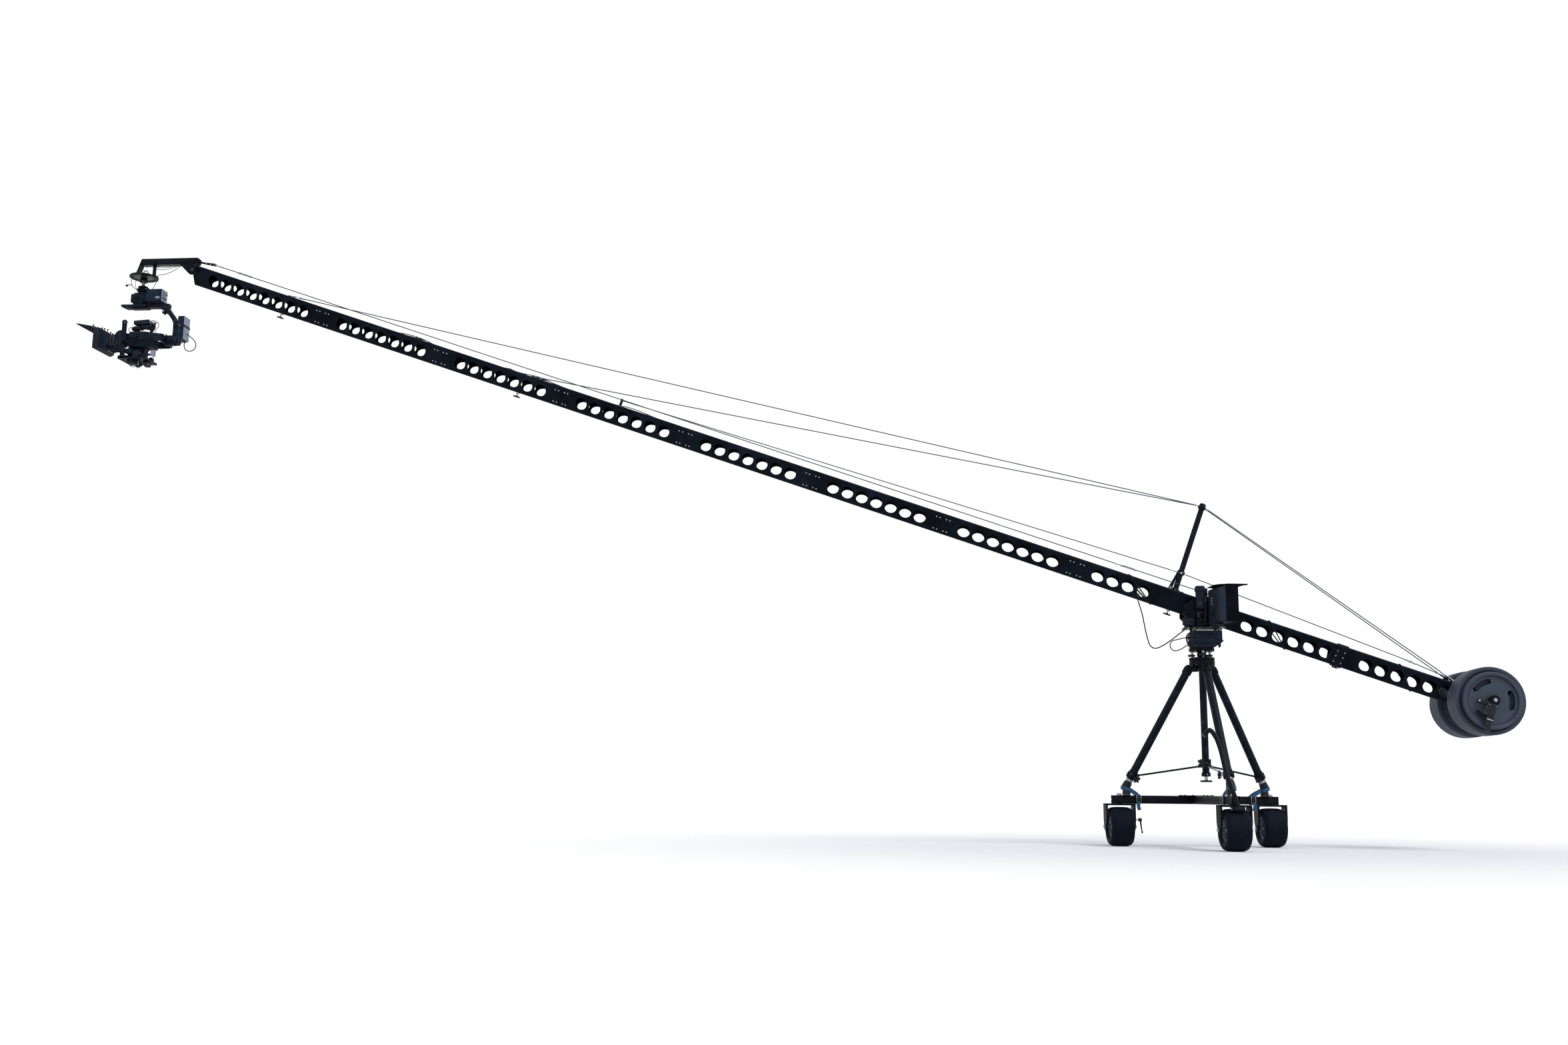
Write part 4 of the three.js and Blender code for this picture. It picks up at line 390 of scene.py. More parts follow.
def block(bm, low, high, edge=1.2, finish=0):
    """Adds a block between two opposite corners, with rounded edges."""
    low, high = Vector(map(min, low, high)), Vector(map(max, low, high))
    size = high - low
    middle = (low + high) / 2
    corners = bmesh.ops.create_cube(bm, size=1)["verts"]
    for v in corners:
        v.co = Vector((v.co.x * size.x, v.co.y * size.y, v.co.z * size.z)) + middle
    edges = {e for v in corners for e in v.link_edges}
    faces = {f for v in corners for f in v.link_faces}
    for f in faces:
        f.material_index = finish
    edge = min(edge, 0.4 * min(size))
    if edge > 0.05:
        made = bmesh.ops.bevel(bm, geom=list(edges), offset=edge, segments=2, profile=0.5, affect="EDGES")
        for f in made["faces"]:
            f.material_index = finish


def spun(degrees, axis="Z"):
    """A rotation about an axis of the frame."""
    return Matrix.Rotation(math.radians(degrees), 4, axis)


def moved(bm, matrix, build, *sizes, **more):
    """Adds what build makes, moved by a matrix."""
    before = set(bm.verts)
    build(bm, *sizes, **more)
    bmesh.ops.transform(bm, matrix=matrix, verts=[v for v in bm.verts if v not in before])


# Tyre rubber, moulded: deep blue-black, a little paler where dust lies in the fine marks of the mould
tyre_rubber = look("natural_rubber_moulded", ("04070d", "0f1826"), (0.5, 0.75), noise(14.0, 8.0, 0.65),
                   grain=noise(420.0, 3.0), relief=(0.25, 0.0006), ior=1.52, gloss=0.06)

# Aluminium, sand cast and turned on the lip: pale grey, dull in the dish and brighter on the lip
cast_aluminium = look("aluminium_cast_and_turned", ("4e5664", "a2a9b4"), (0.32, 0.55), noise(260.0, 4.0),
                      relief=(0.3, 0.0004), metal=0.85)

# Steel with a bright zinc plate: cool silver with a faint cloudiness, as on nuts, pins and screws
zinc_steel = look("steel_zinc_plated", ("6d747f", "c3c8cf"), (0.22, 0.42), noise(90.0, 5.0), metal=1.0)

WHEELS = (("left", -491.9, 284.0), ("right", 491.9, 284.0), ("front", 0.0, -568.0))
TYRE = [(69.5, 56), (74, 62), (82, 69.5), (92, 74), (101, 75), (109, 73), (115.5, 68), (120, 60), (122.6, 50),
        (124.0, 38), (124.7, 20), (125, 3), (124.4, 1.4), (124.4, 0)]
RIM = [(66.5, -57), (73.5, -57), (74, -55), (71, -52), (69.4, -48), (69.4, 48), (71, 52), (74, 55),
       (73.5, 57), (66.5, 57), (64, 50), (61, 30), (60, 12), (60, -12), (61, -30), (64, -50), (66.5, -57)]


def loft(bm, rings, finish=0, closed=False):
    """Adds a skin through loops of the same number of points, capped at both ends."""
    rows = [[bm.verts.new(p) for p in ring] for ring in rings]
    pairs = list(zip(rows, rows[1:])) + ([(rows[-1], rows[0])] if closed else [])
    for a, b in pairs:
        join_loops(bm, a, b, finish)
    if not closed:
        bm.faces.new(rows[0][::-1]).material_index = finish
        bm.faces.new(rows[-1]).material_index = finish


def wheel_block(bm):
    """One wheel about its own centre, with its axle along X."""
    whole = TYRE + [(r, -x) for r, x in reversed(TYRE[:-1])]
    turned(bm, whole, axis=(1, 0, 0), sides=72, finish=0)
    turned(bm, RIM[:-1], axis=(1, 0, 0), sides=64, finish=1)
    turned(bm, [(9.2, -62), (15, -62), (16, -60), (16, -40), (22, -34), (22, 34), (16, 40), (16, 60),
                (15, 62), (9.2, 62)], axis=(1, 0, 0), sides=32, finish=1)
    for side in (-1, 1):
        turned(bm, [(9.2, 0), (13, 0), (13, 20.8), (12, 21.8), (9.2, 21.8)], foot=(62 * side, 0, 0),
               axis=(side, 0, 0), sides=24, finish=2)
    for i in range(5):
        turn = spun(72 * i + 18, "X")
        outline = [(-20, 19), (20, 19), (26, 40), (34, 62), (-34, 62), (-26, 40)]
        ring = [[(x * w, t, z) for x, z in outline] for w, t in ((0.86, -6), (1.0, -4), (1.0, 4), (0.86, 6))]
        moved(bm, turn, loft, ring, finish=1)
    rod(bm, (-107.5, 0, 0), (107.5, 0, 0), 8.9, 20, 2, 1.5)
    for side in (-1, 1):
        rod(bm, (97 * side, 0, 0), (104 * side, 0, 0), 14.5, 6, 2, 0.8)


for side_name, x, y in WHEELS:
    bm = bmesh.new()
    moved(bm, Matrix.Translation((x, y, 125)), wheel_block)
    piece("tyre_and_rim_" + side_name, bm, "wheel_" + side_name, [tyre_rubber, cast_aluminium, zinc_steel],
          DOLLY, ["wheel_" + side_name])

# Three forks: 12 mm steel plate bent and welded to a U, powder coated, each on a kingpin that goes up
# through the end of a frame bar and is held by a nut. The front one has two ears for the tow bar.

# Powder coat on steel: black with a cool cast, the fine orange peel of baked powder, paler where rubbed
powder_coat = look("steel_powder_coated_black", ("080c13", "1c2532"), (0.38, 0.6), noise(24.0, 8.0, 0.7),
                   wear=(0.5, 0.75), grain=noise(650.0, 2.0), relief=(0.2, 0.0004), ior=1.5, gloss=0.08)


def circle(x, z, radius, sides=24, way=-1):
    """Points of a circle in X and Z; a hole runs the other way round than an outline."""
    return [(x + radius * math.cos(way * 2 * math.pi * k / sides),
             z + radius * math.sin(way * 2 * math.pi * k / sides)) for k in range(sides)]


def inset(outline, depth):
    """An outline of pairs, moved inwards by the given depth at every corner."""
    area = sum(a[0] * b[1] - b[0] * a[1] for a, b in zip(outline, outline[1:] + outline[:1]))
    sign = 1 if area > 0 else -1
    moved_in = []
    for i, here in enumerate(outline):
        back = Vector(here) - Vector(outline[i - 1])
        on = Vector(outline[(i + 1) % len(outline)]) - Vector(here)
        back.normalize()
        on.normalize()
        n0, n1 = Vector((-back.y, back.x)) * sign, Vector((-on.y, on.x)) * sign
        both = n0 + n1
        moved_in.append(tuple(Vector(here) + both * (depth / max(0.35, both.dot(n0)))))
    return moved_in


def plate(bm, outline, y0, y1, holes=(), edge=0.8, finish=0):
    """Adds a flat plate with its outline in X and Z between two depths, round holes and broken edges."""
    loops = [list(outline)] + [circle(x, z, radius) for x, z, radius in holes]
    rows = []
    for number, loop in enumerate(loops):
        inner = inset(loop, edge if number == 0 else -edge)
        rows.append([[bm.verts.new((x, y, z)) for x, z in line]
                     for line, y in ((inner, y0), (loop, y0 + edge), (loop, y1 - edge), (inner, y1))])
    for row in rows:
        for a, b in zip(row, row[1:]):
            join_loops(bm, a, b, finish)
    for place_in, flip in ((0, False), (3, True)):
        flat = [[Vector((v.co.x, v.co.z, 0)) for v in row[place_in]] for row in rows]
        every = [v for row in rows for v in row[place_in]]
        for three in geometry.tessellate_polygon(flat):
            corners = [every[i] for i in three]
            if len(set(corners)) == 3:
                bm.faces.new(corners[::-1] if flip else corners).material_index = finish


def arc(x, z, radius, start, end, steps):
    """Points of an arc in X and Z."""
    return [(x + radius * math.cos(math.radians(start + (end - start) * i / steps)),
             z + radius * math.sin(math.radians(start + (end - start) * i / steps)))
            for i in range(steps + 1)]


LEG = [(44, 271.7), (-44, 271.7), (-44, 169), *arc(0, 125, 29.3, 200, 340, 12), (44, 169)]


def fork_block(bm):
    """One fork about its own kingpin, with its legs at either end of X."""
    quarter = spun(90)
    for y0 in (-96, 84):
        moved(bm, quarter, plate, LEG, y0, y0 + 12, [(0, 125, 9.5)], edge=1.2)
    block(bm, (-96, -44, 259.7), (96, 44, 271.7), 1.5)
    for side in (-1, 1):
        block(bm, (85 * side - 2.5, -40, 254), (85 * side + 2.5, 40, 260), 2)
    rod(bm, (0, 0, 269), (0, 0, 337.8), 10.8, 24, 1, 1.2)
    turned(bm, [(11.2, 324.4), (19, 324.4), (19, 326.6), (11.2, 326.6)], sides=32, finish=1)
    moved(bm, spun(12), rod, (0, 0, 326.6), (0, 0, 337), 17, 6, 1, 1.4)


for side_name, x, y in WHEELS:
    bm = bmesh.new()
    fork_block(bm)
    if side_name == "front":
        for ear in (-1, 1):
            outline = [(-42, 269), (-42, 262), (-70, 238.2), *arc(-82, 247.7, 12, -45, -180, 6), (-94, 262),
                       (-82, 269)]
            x0 = 30 if ear > 0 else -38
            moved(bm, spun(90), plate, outline, -x0 - 8, -x0, [(-82, 247.7, 5.4)], edge=0.8)
    bmesh.ops.transform(bm, matrix=Matrix.Translation((x, y, 0)), verts=bm.verts)
    piece("caster_fork_" + side_name, bm, "caster_" + side_name, [powder_coat, zinc_steel], DOLLY,
          ["fork_" + side_name])

# Dolly frame: 50 mm square steel tube, a cross bar to two wheels and a stem to the third, welded with a top
# gusset, a sleeve for each kingpin and a pad for each tripod foot. Powder coated black.

FRAME_LOW, FRAME_HIGH = 272.0, 324.0


def square_tube(bm, low, high, along, wall=4.0, finish=0):
    """Adds a square tube open at both ends, with the rounded corners of drawn tube."""
    low, high = Vector(low), Vector(high)
    across = [i for i in range(3) if i != along]
    loops = []
    for depth, corner in ((0.0, 5.0), (wall, 2.0)):
        a0, a1 = low[across[0]] + depth, high[across[0]] - depth
        b0, b1 = low[across[1]] + depth, high[across[1]] - depth
        loop = []
        corners = ((a1 - corner, b1 - corner, 0), (a0 + corner, b1 - corner, 90),
                   (a0 + corner, b0 + corner, 180), (a1 - corner, b0 + corner, 270))
        for a, b, start in corners:
            loop += arc(a, b, corner, start, start + 90, 4)
        loops.append(loop)

    def row(loop, at):
        points = []
        for a, b in loop:
            p = [0, 0, 0]
            p[along], p[across[0]], p[across[1]] = at, a, b
            points.append(p)
        return points

    x0, x1 = low[along], high[along]
    outer, inner = loops
    edge = inset(outer, 0.8)
    loft(bm, [row(edge, x0), row(outer, x0 + 0.8), row(outer, x1 - 0.8), row(edge, x1), row(inner, x1),
              row(inner, x0)], finish, closed=True)


bm = bmesh.new()
square_tube(bm, (-539.9, 259, FRAME_LOW), (539.9, 309, FRAME_HIGH), 0)
square_tube(bm, (-25, -616, FRAME_LOW), (25, 258.8, FRAME_HIGH), 1)
block(bm, (-100, 184, 323.6), (100, 309, 328), 1.2)
for side in (-1, 1):
    for x, y in ((88, 196), (88, 297), (36, 196)):
        rod(bm, (side * x, y, 327.6), (side * x, y, 332), 6, 6, 1, 0.8)
    turned(bm, [(0, 0), (5, 0), (5, 3), (4, 4), (0, 4)], (side * 539.7, 284, 297), (side, 0, 0), 12, 1)
for _, x, y in WHEELS:
    turned(bm, [(11.4, 271.9), (20, 271.9), (20, 324.1), (11.4, 324.1)], (x, y, 0), sides=32)
PAD_REACH = 519.0
for turn in (150, 30, -90):
    x, y = (PAD_REACH * f(math.radians(turn)) for f in (math.cos, math.sin))
    block(bm, (x - 21, y - 21, 323.6), (x + 21, y + 21, 328), 1.2)
    weld = [(x + a, y + b, 324.2) for a, b in ((-21, -21), (21, -21), (21, 21), (-21, 21))]
    for p, q in zip(weld, weld[1:] + weld[:1]):
        line = [Vector(p).lerp(Vector(q), i / 12) for i in range(13)]
        sweep(bm, line, [1.9 + 0.35 * ((i * 7) % 3) for i in range(13)], 8)
for side in (-1, 1):
    line = [(side * 26, 257.5 - 0.2 * (i % 2), 273 + i * 4.1) for i in range(12)]
    sweep(bm, line, [2.2 + 0.4 * ((i * 5) % 3) for i in range(12)], 8)
piece("dolly_frame_welded", bm, "base", [powder_coat, zinc_steel], DOLLY, ["dolly_frame"])

# Brake lever: a screw through the inner leg of the left fork, clamped by a moulded ratchet handle.
# The screw is zinc-plated steel, and the handle a phenolic moulding of oval section.

# Phenolic moulding: hard and near black with a clean gloss, dulled by hands
phenolic = look("phenolic_moulded", ("070a0f", "151b25"), (0.22, 0.48), noise(110.0, 5.0), ior=1.6,
                gloss=0.16)

bm = bmesh.new()
BRAKE = Vector((-395.6, 284, 169))
rod(bm, BRAKE + Vector((0.2, 0, 0)), BRAKE + Vector((30, 0, 0)), 5.4, 16, 1, 1)
turned(bm, [(0, 0), (9, 0), (10.8, 2), (10.8, 17), (8.5, 22), (0, 24)], BRAKE + Vector((23.8, 0, 0)),
       (1, 0, 0), 24)
grip = smooth_line([BRAKE + Vector(p) for p in ((36, 0, 0), (38, 0, -12), (41, 0, -40), (45.5, 0, -70),
                                                (47.5, 0, -86))], 5)
sweep(bm, grip, [7.2 - 3.4 * abs(i / (len(grip) - 1) - 0.05) ** 0.7 + (1.6 if i > len(grip) - 4 else 0)
                 for i in range(len(grip))], 16, 0, flat=0.8)
piece("brake_ratchet_lever", bm, "brake", [phenolic, zinc_steel], DOLLY, ["brake_lever"])

# Tow bar: steel tube bent to a handle and hinged between the ears of the front fork, lacquered dark
# blue-grey with the lacquer worn through to bright metal on the outer bends.

lacquered_steel = look("steel_lacquered_blue_grey", ("0a0f17", "1b2431"), (0.48, 0.28),
                       noise(16.0, 9.0, 0.72), wear=(0.56, 0.66), bare=True, ior=1.5, gloss=0.1)

bm = bmesh.new()
TOW_HINGE = Vector((0, -650, 247.7))
handle = smooth_line([TOW_HINGE, (-12, -645, 310), (-30.7, -628, 375.8), (-52, -598, 480),
                      (-67.2, -560, 604.6), (-90.2, -545, 678.3), (-121.6, -540, 715.3),
                      (-151.2, -538, 686.8)], 8)
sweep(bm, handle, 13.7, 24)
turned(bm, [(0, -1), (13.2, -1), (14.6, 0), (14.6, 9), (13.2, 11), (0, 11.5)], handle[-1],
       handle[-1] - handle[-2], 24, 1)
turned(bm, [(5.2, -29.6), (13, -29.6), (13.9, -28), (13.9, 28), (13, 29.6), (5.2, 29.6)], TOW_HINGE,
       (1, 0, 0), 28)
rod(bm, TOW_HINGE - Vector((42, 0, 0)), TOW_HINGE + Vector((42, 0, 0)), 4.9, 16, 2, 1)
for side in (-1, 1):
    rod(bm, TOW_HINGE + Vector((side * 38.4, 0, 0)), TOW_HINGE + Vector((side * 41.6, 0, 0)), 8.5, 20, 2, 0.8)
piece("tow_bar_handle", bm, "tow", [lacquered_steel, phenolic, zinc_steel], DOLLY, ["tow_bar"])

# Tripod: three 50 mm anodised aluminium legs in a cast crown, each ending in a bright ring, a swivel foot
# and a shoe that stands on the frame; a centre column with its foot plate.

# Aluminium tube, drawn and black anodised: satin, with a blue sheen and fine marks of drawing along it
anodised_tube = look("aluminium_black_anodised", ("0b121c", "243246"), (0.3, 0.46), noise(20.0, 9.0, 0.7),
                     wear=(0.52, 0.8), marks=noise(300.0, 4.0, stretch=(1.0, 1.0, 0.06)),
                     relief=(0.1, 0.0002), metal=0.35, ior=1.6, gloss=0.09)

LEG_TURNS = (("left", 150), ("right", 30), ("front", -90))


def on_leg(turn, reach, z):
    """A point at a distance from the tripod's axis, in the direction of a leg."""
    return Vector((reach * math.cos(math.radians(turn)), reach * math.sin(math.radians(turn)), z))


def leg_line(turn):
    """The top and the foot of a leg's centre line, and the direction down it."""
    top, foot = on_leg(turn, 82, 1140), on_leg(turn, PAD_REACH, 384)
    return top, foot, (foot - top).normalized()


for side_name, turn in LEG_TURNS:
    bm = bmesh.new()
    top, foot, down = leg_line(turn)
    run = (foot - top).length
    turned(bm, [(0, 0), (23.5, 0), (25, 1.5), (25, run - 108), (0, run - 108)], top, down, 40)
    turned(bm, [(0, run - 108), (27.6, run - 108), (28, run - 106), (28, run - 72), (27, run - 70),
                (24.6, run - 69), (24.6, run - 52), (0, run - 52)], top, down, 40)
    turned(bm, [(0, run - 52), (23.4, run - 52), (24.6, run - 50), (24.6, run - 42), (23.4, run - 40.5),
                (0, run - 40.5)], top, down, 40, 1)
    turned(bm, [(0, run - 40.5), (18, run - 40.5), (19, run - 34), (25, run - 29), (27, run - 14),
                (28.4, run + 2), (27, run + 14), (22, run + 24), (12, run + 29), (0, run + 30)], top, down,
           40, 2)
    turned(bm, [(18.2, run - 39), (20.4, run - 39), (21.4, run - 37), (20.4, run - 35), (18.2, run - 35)],
           top, down, 32, 1)
    turned(bm, [(0, 328.4), (25, 328.4), (26.6, 330), (26.6, 342), (25, 350), (24, 368), (0, 368)],
           (foot.x, foot.y, 0), (0, 0, 1), 36, 2)
    across = down.cross(Vector((0, 0, 1))).normalized()
    for way in (-1, 1):
        rod(bm, top + down * (run - 88) + across * (27 * way),
            top + down * (run - 88) + across * (33.5 * way), 5, 6, 1, 0.8)
    piece("leg_tube_and_foot_" + side_name, bm, "base", [anodised_tube, zinc_steel, phenolic], DOLLY,
          ["leg_" + side_name])

bm = bmesh.new()
turned(bm, [(0, 1148), (76, 1148), (79, 1150), (80, 1153), (80, 1172), (78.5, 1175), (75, 1177), (0, 1177)],
       sides=64)
turned(bm, [(22.4, 1123), (29.5, 1123), (30.8, 1125), (30.8, 1150), (22.4, 1150)], sides=36)
for side_name, turn in LEG_TURNS:
    top, foot, down = leg_line(turn)
    turned(bm, [(25.4, 10), (28, 10), (29.6, 13), (29.6, 46), (28.4, 49), (25.4, 49)], top, down, 40)
    turned(bm, [(0, -12), (12, -12), (20, -8), (25.6, 2), (26.4, 11), (0, 11)], top, down, 40)
    moved(bm, spun(turn), block, (26, -21, 1110), (84, 21, 1149), 7)
    across = down.cross(Vector((0, 0, 1))).normalized()
    for way in (-1, 1):
        rod(bm, top + down * 28 + across * (28 * way), top + down * 28 + across * (35 * way), 5.5, 6, 0, 1)
        rod(bm, top + down * 28 + across * (28 * way), top + down * 28 + across * (32.5 * way), 10.5, 20, 0,
            0.8)
for k in range(12):
    turn = math.radians(30 * k + 15)
    rod(bm, (70 * math.cos(turn), 70 * math.sin(turn), 1146),
        (70 * math.cos(turn), 70 * math.sin(turn), 1148.4), 4, 12, 1, 0.6)
# the legs' sockets are milled flush with the top of the casting
for v in bm.verts:
    v.co.z = min(v.co.z, 1177)
piece("crown_casting", bm, "base", [powder_coat, zinc_steel], DOLLY, ["crown"])

bm = bmesh.new()
turned(bm, [(0, 448), (21, 448), (22, 450), (22, 1147.5), (0, 1147.5)], sides=40)
turned(bm, [(0, 446), (27.5, 446), (28.6, 448), (28.6, 468), (27.5, 470), (22.1, 470.5), (22.1, 472),
            (0, 472)], sides=40)
turned(bm, [(0, 421), (11, 421), (11, 447), (0, 447)], sides=24, finish=1)
turned(bm, [(0, 411), (36, 411), (37, 412.2), (37, 420), (35.5, 422), (0, 422)], sides=48)
rod(bm, (0, -32, 458), (0, -27, 458), 5, 6, 1, 0.8)
piece("column_tube_and_plate", bm, "base", [anodised_tube, zinc_steel], DOLLY, ["centre_column"])

# Spreader: a sliding collar on the column with a star knob, three tube arms and a clamp round each leg,
# each with its own small star knob. One arm is left bright, the others are black.


def star(bm, foot, axis, radius, thick, lobes=5, finish=0):
    """Adds a star knob with rounded lobes, standing on a point along an axis."""
    foot, axis = Vector(foot), Vector(axis).normalized()
    side = axis.orthogonal().normalized()
    up = axis.cross(side)
    count = lobes * 10
    rows = []
    for share, height in ((0.0, 0.0), (0.86, 0.0), (0.97, 0.1), (1.0, 0.3), (1.0, 0.7), (0.97, 0.9),
                          (0.86, 1.0)):
        row = []
        for k in range(count):
            turn = 2 * math.pi * k / count
            wave = 0.5 + 0.5 * math.cos(lobes * turn)
            reach = radius * (0.46 + 0.54 * wave**0.75) * (share if share > 0 else 0.5)
            row.append(foot + (side * math.cos(turn) + up * math.sin(turn)) * reach + axis * (thick * height))
        rows.append(row)
    loft(bm, rows, finish)
    turned(bm, [(0, thick * 0.96), (radius * 0.34, thick * 0.96), (radius * 0.34, thick * 1.12),
                (radius * 0.26, thick * 1.2), (0, thick * 1.2)], foot, axis, 24, finish)


# Aluminium left bright, turned and brushed round: cool silver with fine lines
bright_aluminium = look("aluminium_brushed_bright", ("8592a6", "c9d3e0"), (0.22, 0.4), noise(520.0, 3.0),
                        metal=1.0)

bm = bmesh.new()
turned(bm, [(22.4, 502), (32.5, 502), (34, 504), (34, 521), (32.6, 523), (32.6, 533), (34, 535), (34, 552),
            (32.5, 554), (22.4, 554)], sides=48)
for side_name, turn in LEG_TURNS:
    top, foot, down = leg_line(turn)
    here = top.lerp(foot, (1140 - 450) / (1140 - 384))
    turned(bm, [(25.4, -17), (32, -17), (33.7, -15.4), (33.7, 15.4), (32, 17), (25.4, 17)], here, down, 40)
    out = on_leg(turn, 1, 0)
    start = out * 31 + Vector((0, 0, 510.7))
    end = here - out * 31
    way = (end - start).normalized()
    sweep(bm, [start, end], 5.9, 20, 3 if side_name == "front" else 1)
    across = way.cross(Vector((0, 0, 1))).normalized()
    for at, reach in ((start, 0), (end, -16)):
        turned(bm, [(0, 0), (8, 0), (8.6, 1), (8.6, 15), (8, 16), (0, 16)], at + way * reach, way, 24)
    hinge = out * 33.5 + Vector((0, 0, 510.7))
    rod(bm, hinge - across * 12, hinge + across * 12, 4, 12, 2, 0.6)
    for ear in (-1, 1):
        rod(bm, hinge + across * (9.5 * ear - 1.8), hinge + across * (9.5 * ear + 1.8), 9.5, 24, 0, 0.6)
    grip = {"left": Vector((0.55, -0.83, 0)), "right": Vector((-0.6, -0.8, 0)),
            "front": Vector((-1, 0, 0))}[side_name]
    grip = (grip - down * grip.dot(down)).normalized()
    rod(bm, here + grip * 31, here + grip * 50, 5, 16, 2, 0.6)
    star(bm, here + grip * 48, grip, 27 if side_name != "right" else 20, 14, 5, 4)
piece("spreader_arms", bm, "base", [powder_coat, anodised_tube, zinc_steel, bright_aluminium, phenolic],
      DOLLY, ["spreader"])

bm = bmesh.new()
KNOB_WAY = Vector((math.cos(math.radians(-128)), math.sin(math.radians(-128)), 0))
KNOB_FOOT = KNOB_WAY * 34.3 + Vector((0, 0, 528))
turned(bm, [(0, 0), (8.4, 0), (8.4, 14), (11, 16.5), (0, 16.5)], KNOB_FOOT, KNOB_WAY, 24, 1)
star(bm, KNOB_FOOT + KNOB_WAY * 16, KNOB_WAY, 33.5, 13.2, 5, 0)
piece("spreader_star_knob", bm, "knob", [phenolic, zinc_steel], DOLLY, ["spreader_knob"])

# Three ratchet straps: 26 mm polyester webbing, blue, round the frame bar beside each fork and up over the
# foot, drawn tight through a small steel ratchet, with the loose tail hanging.

polyester_webbing, tree, shader, spot = new_finish("polyester_webbing_blue")
shader.inputs["IOR"].default_value = 1.55
shader.inputs["Sheen Weight"].default_value = 0.35
shader.inputs["Sheen Roughness"].default_value = 0.5
shader.inputs["Specular IOR Level"].default_value = 0.3
fold = place(tree, "ShaderNodeTexNoise", {"Vector": spot, "Scale": 40.0, "Detail": 6.0})
tone = place(tree, "ShaderNodeMix", {"Factor": fold.outputs["Fac"], "A": linear("0f2c48"),
                                     "B": linear("2f6d9c")}, data_type="RGBA")
# bands of the weave, 5.7 mm apart along an axis: its 1.5 mm ribs are too fine to show, so one band
# stands for about four of them
ribs = place(tree, "ShaderNodeTexWave", {"Vector": spot, "Scale": 110.0, "Distortion": 0.4},
             wave_type="BANDS", bands_direction="DIAGONAL")
deep = place(tree, "ShaderNodeMix", {"Factor": ribs.outputs["Fac"], "A": tone.outputs[2],
                                     "B": linear("0d2237")}, data_type="RGBA")
rough = place(tree, "ShaderNodeMapRange", {"Value": fold.outputs["Fac"], "To Min": 0.75, "To Max": 0.95})
bump = place(tree, "ShaderNodeBump", {"Strength": 0.6, "Distance": 0.0005, "Height": ribs.outputs["Fac"]})
soft = place(tree, "ShaderNodeMix", {"Factor": 0.45, "A": tone.outputs[2], "B": deep.outputs[2]},
             data_type="RGBA")
for name, value in (("Base Color", soft.outputs[2]), ("Roughness", rough.outputs["Result"]),
                    ("Normal", bump.outputs[0])):
    tree.links.new(value, shader.inputs[name])


def webbing(bm, line, width_way, width=25.0, thick=1.6, finish=0, closed=False):
    """Adds a flat band along a line of points, its width lying along one direction at each point."""
    line = [Vector(p) for p in line]
    ways = width_way if isinstance(width_way, list) else [Vector(width_way)] * len(line)
    rows = []
    for i, p in enumerate(line):
        if closed:
            ahead = (line[(i + 1) % len(line)] - line[i - 1]).normalized()
        else:
            ahead = (line[min(i + 1, len(line) - 1)] - line[max(i - 1, 0)]).normalized()
        wide = Vector(ways[i])
        wide = (wide - ahead * wide.dot(ahead)).normalized() * (width / 2)
        up = ahead.cross(wide).normalized() * (thick / 2)
        rows.append([p + wide * 0.97 + up, p + wide + up * 0.2, p + wide - up * 0.2, p + wide * 0.97 - up,
                     p - wide * 0.97 - up, p - wide - up * 0.2, p - wide + up * 0.2, p - wide * 0.97 + up])
    loft(bm, rows, finish, closed)


